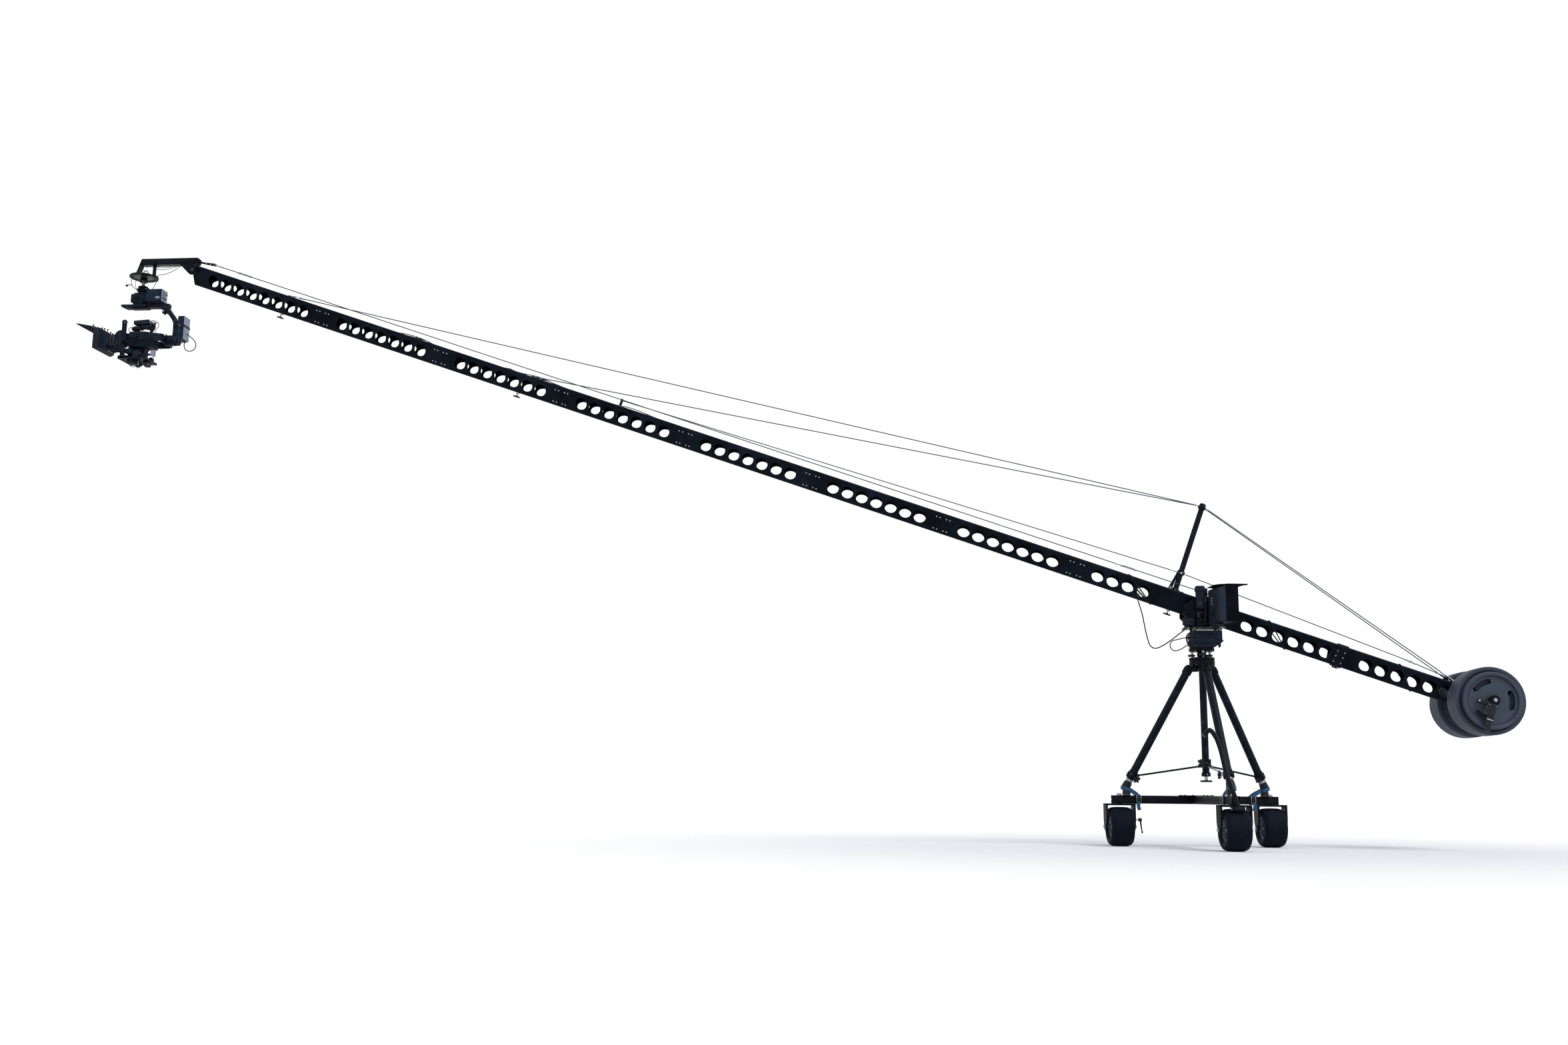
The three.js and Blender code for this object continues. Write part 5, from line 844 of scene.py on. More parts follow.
# the band's way round the frame bar: across the bar, and height
BAND = [(-26.6, 276), (-26.6, 320), (-24, 328.6), (-14, 330.2), (0, 330.6), (14, 330.2), (24, 328.6),
        (26.6, 320), (26.6, 276), (24, 270.4), (10, 269.9), (-10, 269.9), (-24, 270.4)]
for side_name, turn in LEG_TURNS:
    bm = bmesh.new()
    _, foot, down = leg_line(turn)
    grip = foot + down * 12
    straight = side_name == "front"
    # u runs along the frame bar and v across it
    u = Vector((0, -1, 0)) if straight else Vector((math.copysign(1, foot.x), 0, 0))
    v = Vector((1, 0, 0)) if straight else Vector((0, 1, 0))
    room = math.hypot(96, 44)
    reach = (568 if straight else 491.9) - room - 0.6 - 13
    middle = u * reach + (Vector((0, 0, 0)) if straight else Vector((0, 284, 0)))
    webbing(bm, [middle + v * a + Vector((0, 0, z)) for a, z in BAND], u, 25, 2.2, 0, closed=True)
    piece("ratchet_strap_band_" + side_name, bm, "base", [polyester_webbing], DOLLY, ["strap_" + side_name])

    bm = bmesh.new()
    # over the foot: up from the band, round the swivel foot and back down
    around = []
    for k in range(17):
        a = math.radians(-150 + 300 * k / 16)
        ring = grip + Vector((0, 0, -6)) + (v * math.sin(a) + u * math.cos(a)) * 29.5
        around.append(ring + Vector((0, 0, 7 * math.cos(a))))
    start = middle + v * -27.6 + Vector((0, 0, 300))
    finish_at = middle + v * 27.6 + Vector((0, 0, 300))
    line = [start, start + Vector((0, 0, 24)) + u * 4, *around, finish_at + Vector((0, 0, 24)) + u * 4,
            finish_at]
    line = smooth_line(line, 5)
    webbing(bm, line, (0, 0, 1), 23, 1.8)
    # ratchet: side plates, spool and lever in zinc-plated steel
    box_at = Matrix.Translation(middle + v * -31 + Vector((0, 0, 303))) @ Matrix(
        ((u.x, v.x, 0, 0), (u.y, v.y, 0, 0), (0, 0, 1, 0), (0, 0, 0, 1)))
    for way in (-1, 1):
        moved(bm, box_at, block, (way * 14 - 1.2, -8, -22), (way * 14 + 1.2, 3, 22), 0.6, 1)
    moved(bm, box_at, rod, (-16, -3, 8), (16, -3, 8), 5.5, 20, 1, 0.8)
    moved(bm, box_at, rod, (-16, -3, -16), (16, -3, -16), 3.2, 16, 1, 0.8)
    moved(bm, box_at, block, (-12, -11, -20), (12, -9, 16), 0.8, 2)
    tail = [box_at @ Vector(p) for p in ((0, -9, -18), (3, -13, -30), (6, -12, -44), (2, -9, -58),
                                         (-2, -11, -72))]
    webbing(bm, smooth_line(tail, 5), u, 23, 1.6)
    piece("ratchet_strap_and_tail_" + side_name, bm, "base", [polyester_webbing, zinc_steel, phenolic],
          DOLLY, ())

# Levelling base: two turned aluminium plates on a steel ball, set level by three bright screws, each with a
# three-lobed moulded knob.


def ball_profile(middle, radius, start, end, steps=12):
    """Radius and height pairs of a ball's surface between two heights above its middle."""
    heights = [start + (end - start) * i / steps for i in range(steps + 1)]
    return [(math.sqrt(max(0.0, radius**2 - h**2)), middle + h) for h in heights]


bm = bmesh.new()
turned(bm, [(0, 1177.3), (78, 1177.3), (80, 1179.3), (80, 1184), (78.6, 1185.2), (78.6, 1187), (80, 1188.2),
            (80, 1195.3), (78, 1197.3), (0, 1197.3)], sides=72)
turned(bm, [(0, 1197), (34, 1197), (31, 1200), *ball_profile(1218, 30, -14, 14), (31, 1236), (34, 1239.2),
            (0, 1239.2)], sides=48)
turned(bm, [(0, 1239), (78, 1239), (80, 1241), (80, 1246), (78.6, 1247.2), (78.6, 1249), (80, 1250.2),
            (80, 1257), (78, 1259), (0, 1259)], sides=72)
for turn in (30, 150, 270):
    x, y = 64 * math.cos(math.radians(turn)), 64 * math.sin(math.radians(turn))
    for i in range(14):
        turned(bm, [(0, 0), (5.2, 0), (6, 0.9), (6, 1.5), (5.2, 2.4), (0, 2.4)], (x, y, 1197.3 + i * 3.0),
               (0, 0, 1), 18, 2)
    rod(bm, (x, y, 1197), (x, y, 1239.2), 5.1, 16, 2, 0.2)
    star(bm, (x, y, 1207.4), (0, 0, 1), 26.5, 13.5, 3, 3)
    turned(bm, [(0, 1230), (9.5, 1230), (10, 1231), (10, 1238), (9, 1239), (0, 1239)], (x, y, 0), (0, 0, 1),
           6, 2)
piece("levelling_base_plates", bm, "base", [powder_coat, bright_aluminium, zinc_steel, phenolic], PAN,
      ["levelling_base"])

# Pan turntable: a turned cone on its bearing, with a friction knob, that flares to a folded sheet box
# with the drive and its electronics. Two threaded cable glands leave the box at the left.

# Steel sheet with a fine texture paint: dark blue-grey, matt and slightly grainy
texture_paint = look("steel_sheet_texture_painted", ("0f1824", "283648"), (0.5, 0.72),
                     noise(22.0, 8.0, 0.66), wear=(0.4, 0.75), grain=noise(900.0, 2.0),
                     relief=(0.35, 0.0004), ior=1.5, gloss=0.1)

# ABS moulding: charcoal with a fine spark texture, even and dull
abs_plastic = look("abs_moulded_charcoal", ("0c131c", "202b3a"), (0.45, 0.68), noise(30.0, 7.0, 0.6),
                   grain=noise(1100.0), relief=(0.25, 0.0003), ior=1.53, gloss=0.1)

# Aluminium sheet left bare and glass-bead blasted: pale blue-grey with a soft even sheen, on sockets and
# small parts. On the receiver's end plate and the head battery's side, both facing +X, the paleness is
# painted light, for faces lit from the right.
pale_sheet_and_lit_faces = look("aluminium_sheet_bead_blasted_and_painted_lit_faces", ("6e778c", "99a1b4"), (0.42, 0.58), noise(24.0, 7.0, 0.6),
                  grain=noise(1500.0), relief=(0.15, 0.0002), metal=0.35)

# Steel with black oxide, as socket screws come: near black, oily, with a soft metal sheen
black_screws = look("steel_black_oxide", ("161c26", "39434f"), (0.35, 0.5), noise(140.0, 4.0), metal=0.7)


def cap_screw(bm, foot, axis, radius, finish=1):
    """Adds a socket head screw that stands on a face: a knurled rim round a hexagonal recess."""
    high = radius * 0.9
    turned(bm, [(radius * 0.55, high * 0.35), (radius * 0.55, high), (radius * 0.9, high),
                (radius, high * 0.86), (radius, -0.3), (0, -0.3), (0, high * 0.35)], foot, axis, 18, finish)


bm = bmesh.new()
turned(bm, [(0, 1259.4), (69, 1259.4), (70, 1260.4), (72, 1263), (72, 1266), (79, 1268.5), (80, 1270),
            (84, 1279), (83, 1280), (85, 1283), (91, 1292), (91, 1298), (0, 1298)], sides=72)
for k in range(8):
    turn = math.radians(45 * k + 10)
    cap_screw(bm, (80.6 * math.cos(turn), 80.6 * math.sin(turn), 1272),
              (math.cos(turn), math.sin(turn), -0.5), 3.2)
skin = [[(-53.3, -77.5, 1259.6), (70, -77.5, 1259.6), (70, 77.5, 1259.6), (-53.3, 77.5, 1259.6)],
        [(-66, -77.5, 1290.5), (118, -77.5, 1290.5), (118, 77.5, 1290.5), (-66, 77.5, 1290.5)]]
loft(bm, skin)
block(bm, (-66, -93, 1290), (118, 93, 1366), 2.2)
block(bm, (-73.7, -85.3, 1297.7), (125.7, 85.3, 1305.3), 1.0)
# lid seam, louvres and screws of the box on its long sides, and a socket panel towards the operator
for side in (-1, 1):
    y = side * 93
    block(bm, (-62, y, 1353), (114, y + side * 0.9, 1364.5), 0.4)
    for i in range(7):
        x = 40 + i * 9
        block(bm, (x, y - side, 1312), (x + 4, y + side * 1.6, 1342), 0.8)
    for x in (-58, -8, 42, 110):
        cap_screw(bm, (x, y + side * 0.6, 1358.6), (0, side, 0), 2.4)
block(bm, (-52, -94.6, 1310), (28, -92.5, 1346), 0.8, 2)
for x in (-42, -24, -6, 12):
    turned(bm, [(4.2, 0), (7.4, 0), (7.4, 3.0), (6.4, 3.8), (5.2, 3.8), (4.2, 2.6)], (x, -94.6, 1332),
           (0, -1, 0), 24, 1)
    turned(bm, [(0, 0), (4.1, 0), (4.1, 1.0), (0, 1.0)], (x, -94.6, 1332), (0, -1, 0), 18, 2)
for x in (-36, -16, 6):
    rod(bm, (x, -94.6, 1317), (x, -99.5, 1317.5), 2.4, 12, 1, 0.5)
# two cable glands: where the tube starts, where its nut stands, where it ends, its height and its radius
for root, face, end, z, radius in ((-64.5, -66, -107.8, 1320, 7), (-48, -64, -86.8, 1276, 5.6)):
    turned(bm, [(0, 0), (radius * 0.78, 0), (radius * 0.78, root - end), (0, root - end)], (root, -70, z),
           (-1, 0, 0), 20, 2)
    turned(bm, [(0, 0), (radius, 0), (radius, 9), (0, 9)], (face, -70, z), (-1, 0, 0), 6, 1)
    for i in range(int((face - 9 - end) // 2.6)):
        turned(bm, [(0, 0), (radius - 0.9, 0), (radius, 0.7), (radius, 1.5), (radius - 0.9, 2.2), (0, 2.2)],
               (face - 9 - i * 2.6, -70, z), (-1, 0, 0), 20, 2)
# friction knob of the pan bearing
rod(bm, (86, -18, 1281), (106, -26, 1281), 5, 16, 1, 0.8)
star(bm, (104, -25.2, 1281), (0.93, -0.37, 0), 20, 12, 5, 2)
# two straps of the same painted sheet, bent round the left end of the box
bracket = [(-67, 1296), (-77, 1301), (-84, 1314), (-86, 1330), (-82, 1348), (-74, 1360), (-60, 1366)]
for y, wide in ((40, 46), (-28, 30)):
    webbing(bm, smooth_line([(x, y, z) for x, z in bracket], 5), (0, 1, 0), wide, 3.0)
piece("pan_turntable_and_drive_box", bm, "pan", [texture_paint, black_screws, abs_plastic, pale_sheet_and_lit_faces], PAN,
      ["pan_turntable"])

# Fulcrum: an aluminium deck on four turned standoffs carries two machined cheek plates, which hold the
# tilt axle in bearings. The rear of the plates holds the pin of the levelling cable; an arm to the
# operator's side holds the monitor, and the near plate holds the battery. Black anodised, bare where it
# was milled after.

# Aluminium plate, milled and black anodised: even satin, worn pale on edges, with rings of the cutter that
# lie 3.5 mm apart
milled_plate = look("aluminium_plate_milled_anodised", ("080c13", "18212f"), (0.34, 0.46),
                    noise(26.0, 8.0, 0.7), wear=(0.5, 0.82),
                    marks=waves(90.0, 1.4, wave_type="RINGS", rings_direction="Y"), relief=(0.06, 0.0002),
                    metal=0.4, gloss=0.1)

# Brass, turned and dulled by handling: pale grey-gold
brass_standoff = look("brass_turned_dull", ("5c5a50", "a39d8a"), (0.3, 0.45), noise(90.0, 5.0), metal=0.8)

bm = bmesh.new()
flat_deck = [(-105, -100), (145, -100), (145, -48), (58, -48), (58, 48), (145, 48), (145, 100), (-105, 100)]
on_deck = Matrix(((1, 0, 0, 0), (0, 0, 1, 0), (0, 1, 0, 0), (0, 0, 0, 1)))
moved(bm, on_deck, plate, flat_deck, 1387, 1396,
      [(-85, -84, 4), (-85, 84, 4), (130, -84, 4), (130, 84, 4), (-30, 0, 22), (20, 0, 22)], edge=0.8)
block(bm, (-108, -99, 1372), (-103, 60, 1395), 1.0)
for x in (-50.7, 102.7):
    for y in (-69.75, 69.75):
        turned(bm, [(0, 0), (9, 0), (10, 1), (10, 6), (8.2, 8), (8.2, 13), (10, 15), (10, 19.7), (9, 20.8),
                    (0, 20.8)], (x, y, 1366.3), (0, 0, 1), 28, 2)
        cap_screw(bm, (x, y, 1396), (0, 0, 1), 5.4)
CHEEK = [(-60, 1394.5), (116, 1394.5), (151, 1574.3), (145, 1586.3), (133, 1586.3),
         *arc(0, AXLE_HEIGHT, 68, 60, 130, 18), (-118, 1530.3), (-118, 1462)]
for side in (-1, 1):
    y0 = 87 if side > 0 else -95
    plate(bm, CHEEK, y0, y0 + 8, [(0, AXLE_HEIGHT, 15.4)], edge=0.8)
    # bearing ring and its four screws on the inner face, feet of the plate screwed to the deck
    turned(bm, [(15.4, 0), (27, 0), (28, 1), (28, 4.6), (27, 5.6), (15.4, 5.6)],
           (0, side * 87, AXLE_HEIGHT), (0, -side, 0), 48, 1)
    for k in range(4):
        turn = math.radians(90 * k + 45)
        cap_screw(bm, (22 * math.cos(turn), side * 81.6, AXLE_HEIGHT + 22 * math.sin(turn)), (0, -side, 0),
                  2.2)
    block(bm, (-58, side * 87, 1395.5), (112, side * 72, 1408), 1.0)
    for x in (-44, 6, 56, 100):
        cap_screw(bm, (x, side * 79, 1408), (0, 0, 1), 4)
rod(bm, (139, -95, 1574.3), (139, 95, 1574.3), 4, 20, 3, 0.8)
for side in (-1, 1):
    rod(bm, (139, side * 86, 1574.3), (139, side * 80, 1574.3), 7, 6, 1, 0.6)
block(bm, (28, -312, 1378), (88, -86, 1389), 1.2)
block(bm, (28, -99.8, 1386), (88, -85.5, 1389.5), 0.6)
for x in (38, 78):
    cap_screw(bm, (x, -92, 1378.2), (0, 0, -1), 4)
rod(bm, (77.3, -276.7, 1382), (77.3, -276.7, 1401.8), 7.9, 24, 1, 1)
rod(bm, (77.3, -276.7, 1378.3), (77.3, -276.7, 1370.5), 12, 6, 1, 1)
for z in (1493, 1548.3):
    block(bm, (-44, -102.5, z), (-26.6, -94.8, z + 15.6), 0.8)
# the battery's bracket below it and the upright that steadies the monitor's arm, with their clips and leads
block(bm, (-42, -119, 1390), (0, -112, 1504), 1.2)
block(bm, (-30, -113, 1400), (-12, -94, 1420), 1.0)
block(bm, (6, -120, 1388), (31, -112, 1632), 1.2)
for z in (1404, 1500, 1600):
    block(bm, (9, -113, z), (28, -94, z + 14), 1.0)
for x, z in ((-34, 1484), (-8, 1484), (-34, 1430), (-8, 1430), (18, 1410), (18, 1506), (18, 1606)):
    cap_screw(bm, (x, -120 if x > 0 else -119, z), (0, -1, 0), 3.2)
for z in (1448, 1464):
    block(bm, (-40, -127, z), (-20, -118, z + 11), 1.6, 1)
block(bm, (11, -128, 1540), (27, -119, 1584), 2.0, 1)
sweep(bm, smooth_line([(-30, -127, 1454), (-26, -134, 1440), (-12, -136, 1424), (6, -132, 1440),
                       (14, -130, 1480), (18, -128, 1520), (19, -126, 1546)], 5), 2.4, 10, 1)
sweep(bm, smooth_line([(-24, -127, 1470), (-12, -134, 1476), (2, -133, 1468), (8, -130, 1440),
                       (2, -128, 1410), (-8, -124, 1396)], 5), 2.2, 10, 1)
for x, z in ((-108, 1520), (-108, 1480), (122, 1560), (108, 1420)):
    cap_screw(bm, (x, -95, z), (0, -1, 0), 3.4)
piece("fulcrum_deck_and_cheeks", bm, "pan", [milled_plate, black_screws, brass_standoff, zinc_steel], PAN,
      ["fulcrum_yoke"])

# Battery: a moulded lithium pack with a proud cap and vents, locked on a plate that is screwed to the
# cheek. Its case is charcoal ABS, and two short bars on the near cheek plate hold it clear of the plate.

bm = bmesh.new()
block(bm, (-44.2, -141, 1501), (8.8, -103, 1647), 4.5)
block(bm, (-48, -144.8, 1610.7), (12.6, -103.2, 1639), 2.4)
block(bm, (-46, -142.4, 1506), (10.6, -103.2, 1512), 1.6)
for i in range(6):
    z = 1560 + i * 6.5
    block(bm, (-35, -142.2, z), (0, -140.2, z + 2.8), 0.7, 1)
block(bm, (-30, -142.0, 1526), (-6, -140.6, 1540), 1.0, 2)
block(bm, (9, -132, 1536), (11.2, -112, 1590), 0.8, 1)
for x in (-38, 2):
    cap_screw(bm, (x, -144.6, 1624.8), (0, -1, 0), 2.6, 2)
piece("battery_pack", bm, "pan", [abs_plastic, phenolic, black_screws], PAN, ["battery"])

# Tilt axle: a ground steel shaft through both cheeks and the boom, with turned end caps.
# The shaft is bright plated steel; the caps are blackened steel, the far one taller than the near one.

bm = bmesh.new()
turned(bm, [(0, -96.8), (13.6, -96.8), (15, -95.4), (15, 95.4), (13.6, 96.8), (0, 96.8)], axis=(0, 1, 0),
       sides=48)
near_cap = [(0, 95.4), (25, 95.4), (26, 96.4), (26, 98.2), (24.6, 99), (10, 99), (9, 100.4), (0, 100.4)]
far_cap = [(0, 95.4), (25, 95.4), (26, 96.4), (26, 101.4), (24.6, 102.8), (10, 102.8), (0, 102.8)]
for side, cap in ((-1, near_cap), (1, far_cap)):
    turned(bm, cap, axis=(0, side, 0), sides=48, finish=1)
piece("tilt_axle_shaft", bm, "boom", [zinc_steel, black_screws], BOOM, ["tilt_axle"])

# Operator's monitor: a flat panel in a moulded case on a pivot pin, with its sockets on the back, and a
# deep sun hood of thin black foamed sheet, whose top reaches further out than its sides.

# Painted aluminium plate: slate blue, satin, evenly sprayed
slate_plate = look("aluminium_plate_painted_slate", ("16202c", "2c3a4b"), (0.4, 0.58),
                   noise(20.0, 7.0, 0.6), ior=1.5, gloss=0.12)

# Toughened screen glass over a dark panel: black with a deep gloss and a cool haze
screen_glass = look("glass_over_dark_panel", ("05070a", "121a26"), (0.06, 0.16), noise(18.0, 6.0), ior=1.52)


def panel_loop(x, side, low, high, corner):
    """A rounded rectangle across X, as a loop of points."""
    loop = []
    for cy, cz, start in ((side - corner, high - corner, 0), (-side + corner, high - corner, 90),
                          (-side + corner, low + corner, 180), (side - corner, low + corner, 270)):
        loop += [(x, y, z) for y, z in arc(cy, cz, corner, start, start + 90, 5)]
    return loop


bm = bmesh.new()
# case, open at the front round the screen, with the pivot pin's boss in its foot
CASE_MIDDLE = Matrix.Translation((0, 4, 0))
moved(bm, CASE_MIDDLE, loft, [panel_loop(3.4, 124, 4, 221, 8), panel_loop(8, 127.6, 0, 225, 9),
                              panel_loop(38, 127.6, 0, 225, 9), panel_loop(39.4, 126.6, 1, 224, 8),
                              panel_loop(39.4, 121.6, 6.4, 218.6, 4), panel_loop(37.4, 121, 7, 218, 4),
                              panel_loop(37.3, 90, 40, 180, 3), panel_loop(4.6, 90, 40, 180, 3),
                              panel_loop(3.4, 92, 38, 182, 3)], closed=True)
block(bm, (4.8, -85, 41), (37.0, 93, 179), 0.6, 1)
block(bm, (37.2, -116.6, 7.4), (38.4, 124.6, 217.6), 0.5, 2)
# a proud painted plate over the right half of the back, a dark recess with its sockets on the left half
block(bm, (-1.6, -121, 10), (4.2, -20, 218), 1.6, 4)
for y in (-113, -28):
    for z in (19, 114, 209):
        cap_screw(bm, (-1.6, y, z), (-1, 0, 0), 2.4, 3)
block(bm, (1.2, -14, 20), (4.4, 122, 206), 1.0, 1)
for z in (166, 147.6, 129.2):
    turned(bm, [(3.4, 0), (6.6, 0), (6.6, 3.4), (5.6, 4.2), (3.8, 4.2), (3.4, 3)], (1.4, 70, z), (-1, 0, 0),
           22, 5)
    turned(bm, [(0, 0), (3.4, 0), (3.4, 1.4), (0, 1.4)], (1.4, 70, z), (-1, 0, 0), 18, 1)
for i in range(8):
    y = 26 + 7 * i
    block(bm, (-0.2, y, 34), (1.6, y + 3, 92), 0.6, 1)
for z in (30, 108, 196):
    for y in (-4, 112):
        cap_screw(bm, (1.2, y, z), (-1, 0, 0), 2.4, 3)
sweep(bm, smooth_line([(0, 45, 197), (-9, 38, 190), (-12, 22, 168), (-10, 13, 140), (-9, 18, 104),
                       (-10, 44, 76), (-8, 70, 64), (0, 82, 60)], 5), 2.6, 12, 6)
turned(bm, [(8.4, 0), (15, 0.4), (15, 10), (8.4, 10)], (20, 0, 0.2), (0, 0, 1), 28, 3)
piece("monitor_case_and_screen", bm, "monitor", [texture_paint, abs_plastic, screen_glass, black_screws,
                                                 slate_plate, pale_sheet_and_lit_faces, pvc_jacket], MONITOR, ["monitor"])

# Foamed PVC sheet, hand cut: dead matt black with soft scuffs
foam_sheet = look("pvc_foam_sheet_black", ("05070b", "141922"), (0.72, 0.9), noise(16.0, 8.0, 0.7),
                  wear=(0.45, 0.8), grain=noise(800.0), relief=(0.3, 0.0004), ior=1.48, gloss=0.05)


def hood_sheet(bm, corners, way):
    """Adds one flat sheet of the hood from its corners, 3 mm thick, with its edges broken."""
    way = Vector(way) * 3.0
    corners = [Vector(c) for c in corners]
    middle = sum(corners, Vector()) / len(corners)
    rows = [[c + (middle - c).normalized() * 1.2 for c in corners], [c + way * 0.25 for c in corners],
            [c + way * 0.75 for c in corners], [c + (middle - c).normalized() * 1.2 + way for c in corners]]
    loft(bm, rows)


bm = bmesh.new()
near_side = [(3, 1), *arc(76, 9, 8, 270, 360, 6), (84, 224), (3, 224)]
hood_sheet(bm, [(x, -127, z) for x, z in near_side], (0, 1, 0))
hood_sheet(bm, [(38, 138.6, 1), (96, 138.6, 1), (110, 138.6, 30), (145, 138.6, 236), (38, 138.6, 240)],
           (0, -1, 0))
hood_sheet(bm, [(38, -126, 1), (84, -126, 1), (96, 138, 1), (38, 138, 1)], (0, 0, 1))
hood_sheet(bm, [(2, 138.6, 243), (2, 45, 249), (2, -35, 244), (25, -127, 236), (150, -127, 238),
                (150, 138.6, 238)], (0, 0, -1))
hood_sheet(bm, [(25, -127, 236), (150, -127, 238), (146, -127, 229), (84, -127, 222), (38, -127, 222)],
           (0, 1, 0))
# angles that hold the side and roof sheets together, inside the hood
for y, z in ((-121, 230), (132, 230)):
    block(bm, (44, y, z - 16), (84, y + 4, z), 0.8, 1)
piece("monitor_sun_hood", bm, "monitor", [foam_sheet, black_screws], MONITOR, ["monitor_hood"])

# Control box: a small moulded box on the deck's near left corner, with a lid, knobs and a gland beneath.
# Charcoal ABS with phenolic knobs; the gland takes the control lead that hangs from the boom.

bm = bmesh.new()
block(bm, (-130, -137.3, 1396.3), (-62, -95.3, 1434), 2.6)
block(bm, (-129.6, -136.9, 1434.4), (-62.4, -95.7, 1442.2), 2.2)
for x in (-124, -68):
    for y in (-131.5, -101):
        turned(bm, [(0, 0), (2.6, 0), (2.2, 0.1), (0, 0.1)], (x, y, 1442.1), (0, 0, 1), 12, 1)
for x, radius in ((-112, 6), (-90, 4.4), (-76, 4.4)):
    turned(bm, [(0, 0), (radius, 0), (radius, 4.4), (radius - 0.8, 5.4), (0, 5.4)], (x, -137.2, 1418),
           (0, -1, 0), 24, 1)
turned(bm, [(0, 0), (9, 0), (9, 4), (0, 4)], (-116.4, -116.3, 1396.2), (0, 0, -1), 6, 2)
turned(bm, [(0, 0), (6.8, 0), (6.8, 7), (0, 7)], (-116.4, -116.3, 1396.2), (0, 0, -1), 20, 2)
piece("control_box_on_deck", bm, "pan", [abs_plastic, phenolic, black_screws], PAN, ["control_box"])

# Boom: ten lengths of extruded aluminium tube of rounded triangular section, apex down, 160 mm a side and
# 4 mm thick, with round holes punched through both slanted walls every 101.6 mm. Each length slides over a
# spigot of the one before it and is held by low screws.

# Aluminium extrusion, black anodised: deep blue-black satin with long faint drawing lines, greyed by hands
boom_anodised = look("aluminium_extruded_black_anodised", ("070d15", "1a2431"), (0.36, 0.52),
                     noise(6.0, 10.0, 0.72), wear=(0.42, 0.8),
                     marks=noise(260.0, 5.0, stretch=(0.05, 1.0, 1.0)), relief=(0.08, 0.0002), metal=0.3,
                     gloss=0.06)

# spacing of the holes, thickness of the wall, radius of the corners, how far the middle of a wall lies
# from the boom's mid plane, and radius of a hole
PITCH = 101.6
SKIN = 4.0
ROUND = 11.0
HALF_SIDE = 40.0
HOLE = 41.4
CORNER_REACH = 160 / math.sqrt(3) - 2 * ROUND
CENTRE_Z = -22 - 80 * math.sin(math.radians(60)) + 160 / math.sqrt(3)


def triangle(depth, steps=6):
    """The rounded triangle at a depth inside the outer face, as pairs of Y and Z from the apex round."""
    outline = []
    for way in (-90, 30, 150):
        y = CORNER_REACH * math.cos(math.radians(way))
        z = CENTRE_Z + CORNER_REACH * math.sin(math.radians(way))
        outline += arc(y, z, ROUND - depth, way - 60, way + 60, steps)
    return outline


def boom_tube(bm, x0, x1, holes, spigot=True, slope=0.0, finish=0):
    """Adds one length of boom, with holes through both slanted walls.

    A hole is (x, half of its cell's length, height up the wall, radius along, radius up, lean). Its cell of
    the wall is eight spans long and eight high, so that 32 points on its border meet 32 on its rim."""
    stations = [x0]
    for hole in holes:
        stations += [hole[0] + hole[1] * (k - 4) / 4 for k in range(9)]
    stations.append(x1)
    marks = []
    for x in stations:
        if not marks or x - marks[-1] > 0.01:
            marks.append(x)
    cells = [(marks.index(min(marks, key=lambda m: abs(m - (hole[0] - hole[1])))), hole) for hole in holes]
    covered = {i + k for i, _ in cells for k in range(8)}
    size = len(triangle(0))
    rims = []
    for depth in (0.0, SKIN):
        outline = triangle(depth)
        rows = []
        for i, x in enumerate(marks):
            slant = slope if i == 0 else 0.0
            rows.append([bm.verts.new((x - slant * z, y, z)) for y, z in outline])
        walls = {6: 1, size - 1: -1}
        for i in range(len(marks) - 1):
            for k in range(size):
                if k in walls and i in covered:
                    continue
                n = (k + 1) % size
                bm.faces.new((rows[i][k], rows[i][n], rows[i + 1][n], rows[i + 1][k])).material_index = finish
        circles = {}
        for k, side in walls.items():
            up = Vector((0, side * 0.5, math.cos(math.radians(30))))
            out = Vector((0, side * math.cos(math.radians(30)), -0.5))
            low, high = (k, (k + 1) % size) if side > 0 else ((k + 1) % size, k)
            edges = {}

            def edge_points(i):
                if i not in edges:
                    a, b = rows[i][low].co, rows[i][high].co
                    edges[i] = [bm.verts.new(a.lerp(b, j / 8)) for j in range(1, 8)]
                return edges[i]

            for i, (x, _, height, along, rise, lean) in cells:
                bottom = [rows[i + j][low] for j in range(9)]
                top = [rows[i + j][high] for j in range(9)]
                border = bottom + edge_points(i + 8) + top[::-1] + edge_points(i)[::-1]
                shift = lean if depth else 0.0
                middle = Vector((x, side * HALF_SIDE, -22)) + up * (height + shift) - out * depth
                ring = []
                for j in range(32):
                    turn = math.radians(-135 + 360 * j / 32)
                    ring.append(bm.verts.new(middle + Vector((1, 0, 0)) * ((along + 0.5) * math.cos(turn))
                                             + up * ((rise + 0.5) * math.sin(turn))))
                join_loops(bm, border, ring, finish)
                circles[(side, i)] = (ring, middle, up, out, along, rise, shift)
        rims.append((rows, circles))
    for key, (outer, middle, up, out, along, rise, _) in rims[0][1].items():
        inner, _, _, _, _, _, lean = rims[1][1][key]
        bands = [outer]
        for depth in (0.6, SKIN - 0.6):
            here = middle - out * depth + up * (lean * depth / SKIN)
            band = []
            for j in range(32):
                turn = math.radians(-135 + 360 * j / 32)
                spot = here + Vector((1, 0, 0)) * (along * math.cos(turn)) + up * (rise * math.sin(turn))
                band.append(bm.verts.new(spot))
            bands.append(band)
        bands.append(inner)
        for a, b in zip(bands, bands[1:]):
            join_loops(bm, a, b, finish)
    for end in (0, -1):
        join_loops(bm, rims[0][0][end], rims[1][0][end], finish)
    if spigot:
        loops = [[(x, y, z) for y, z in triangle(depth)] for x, depth in (
            (x1 - 60, 4.05), (x1 + 58.5, 4.3), (x1 + 60, 5.3), (x1 + 60, 8.3), (x1 - 60, 8.3))]
        loft(bm, loops, finish, closed=True)


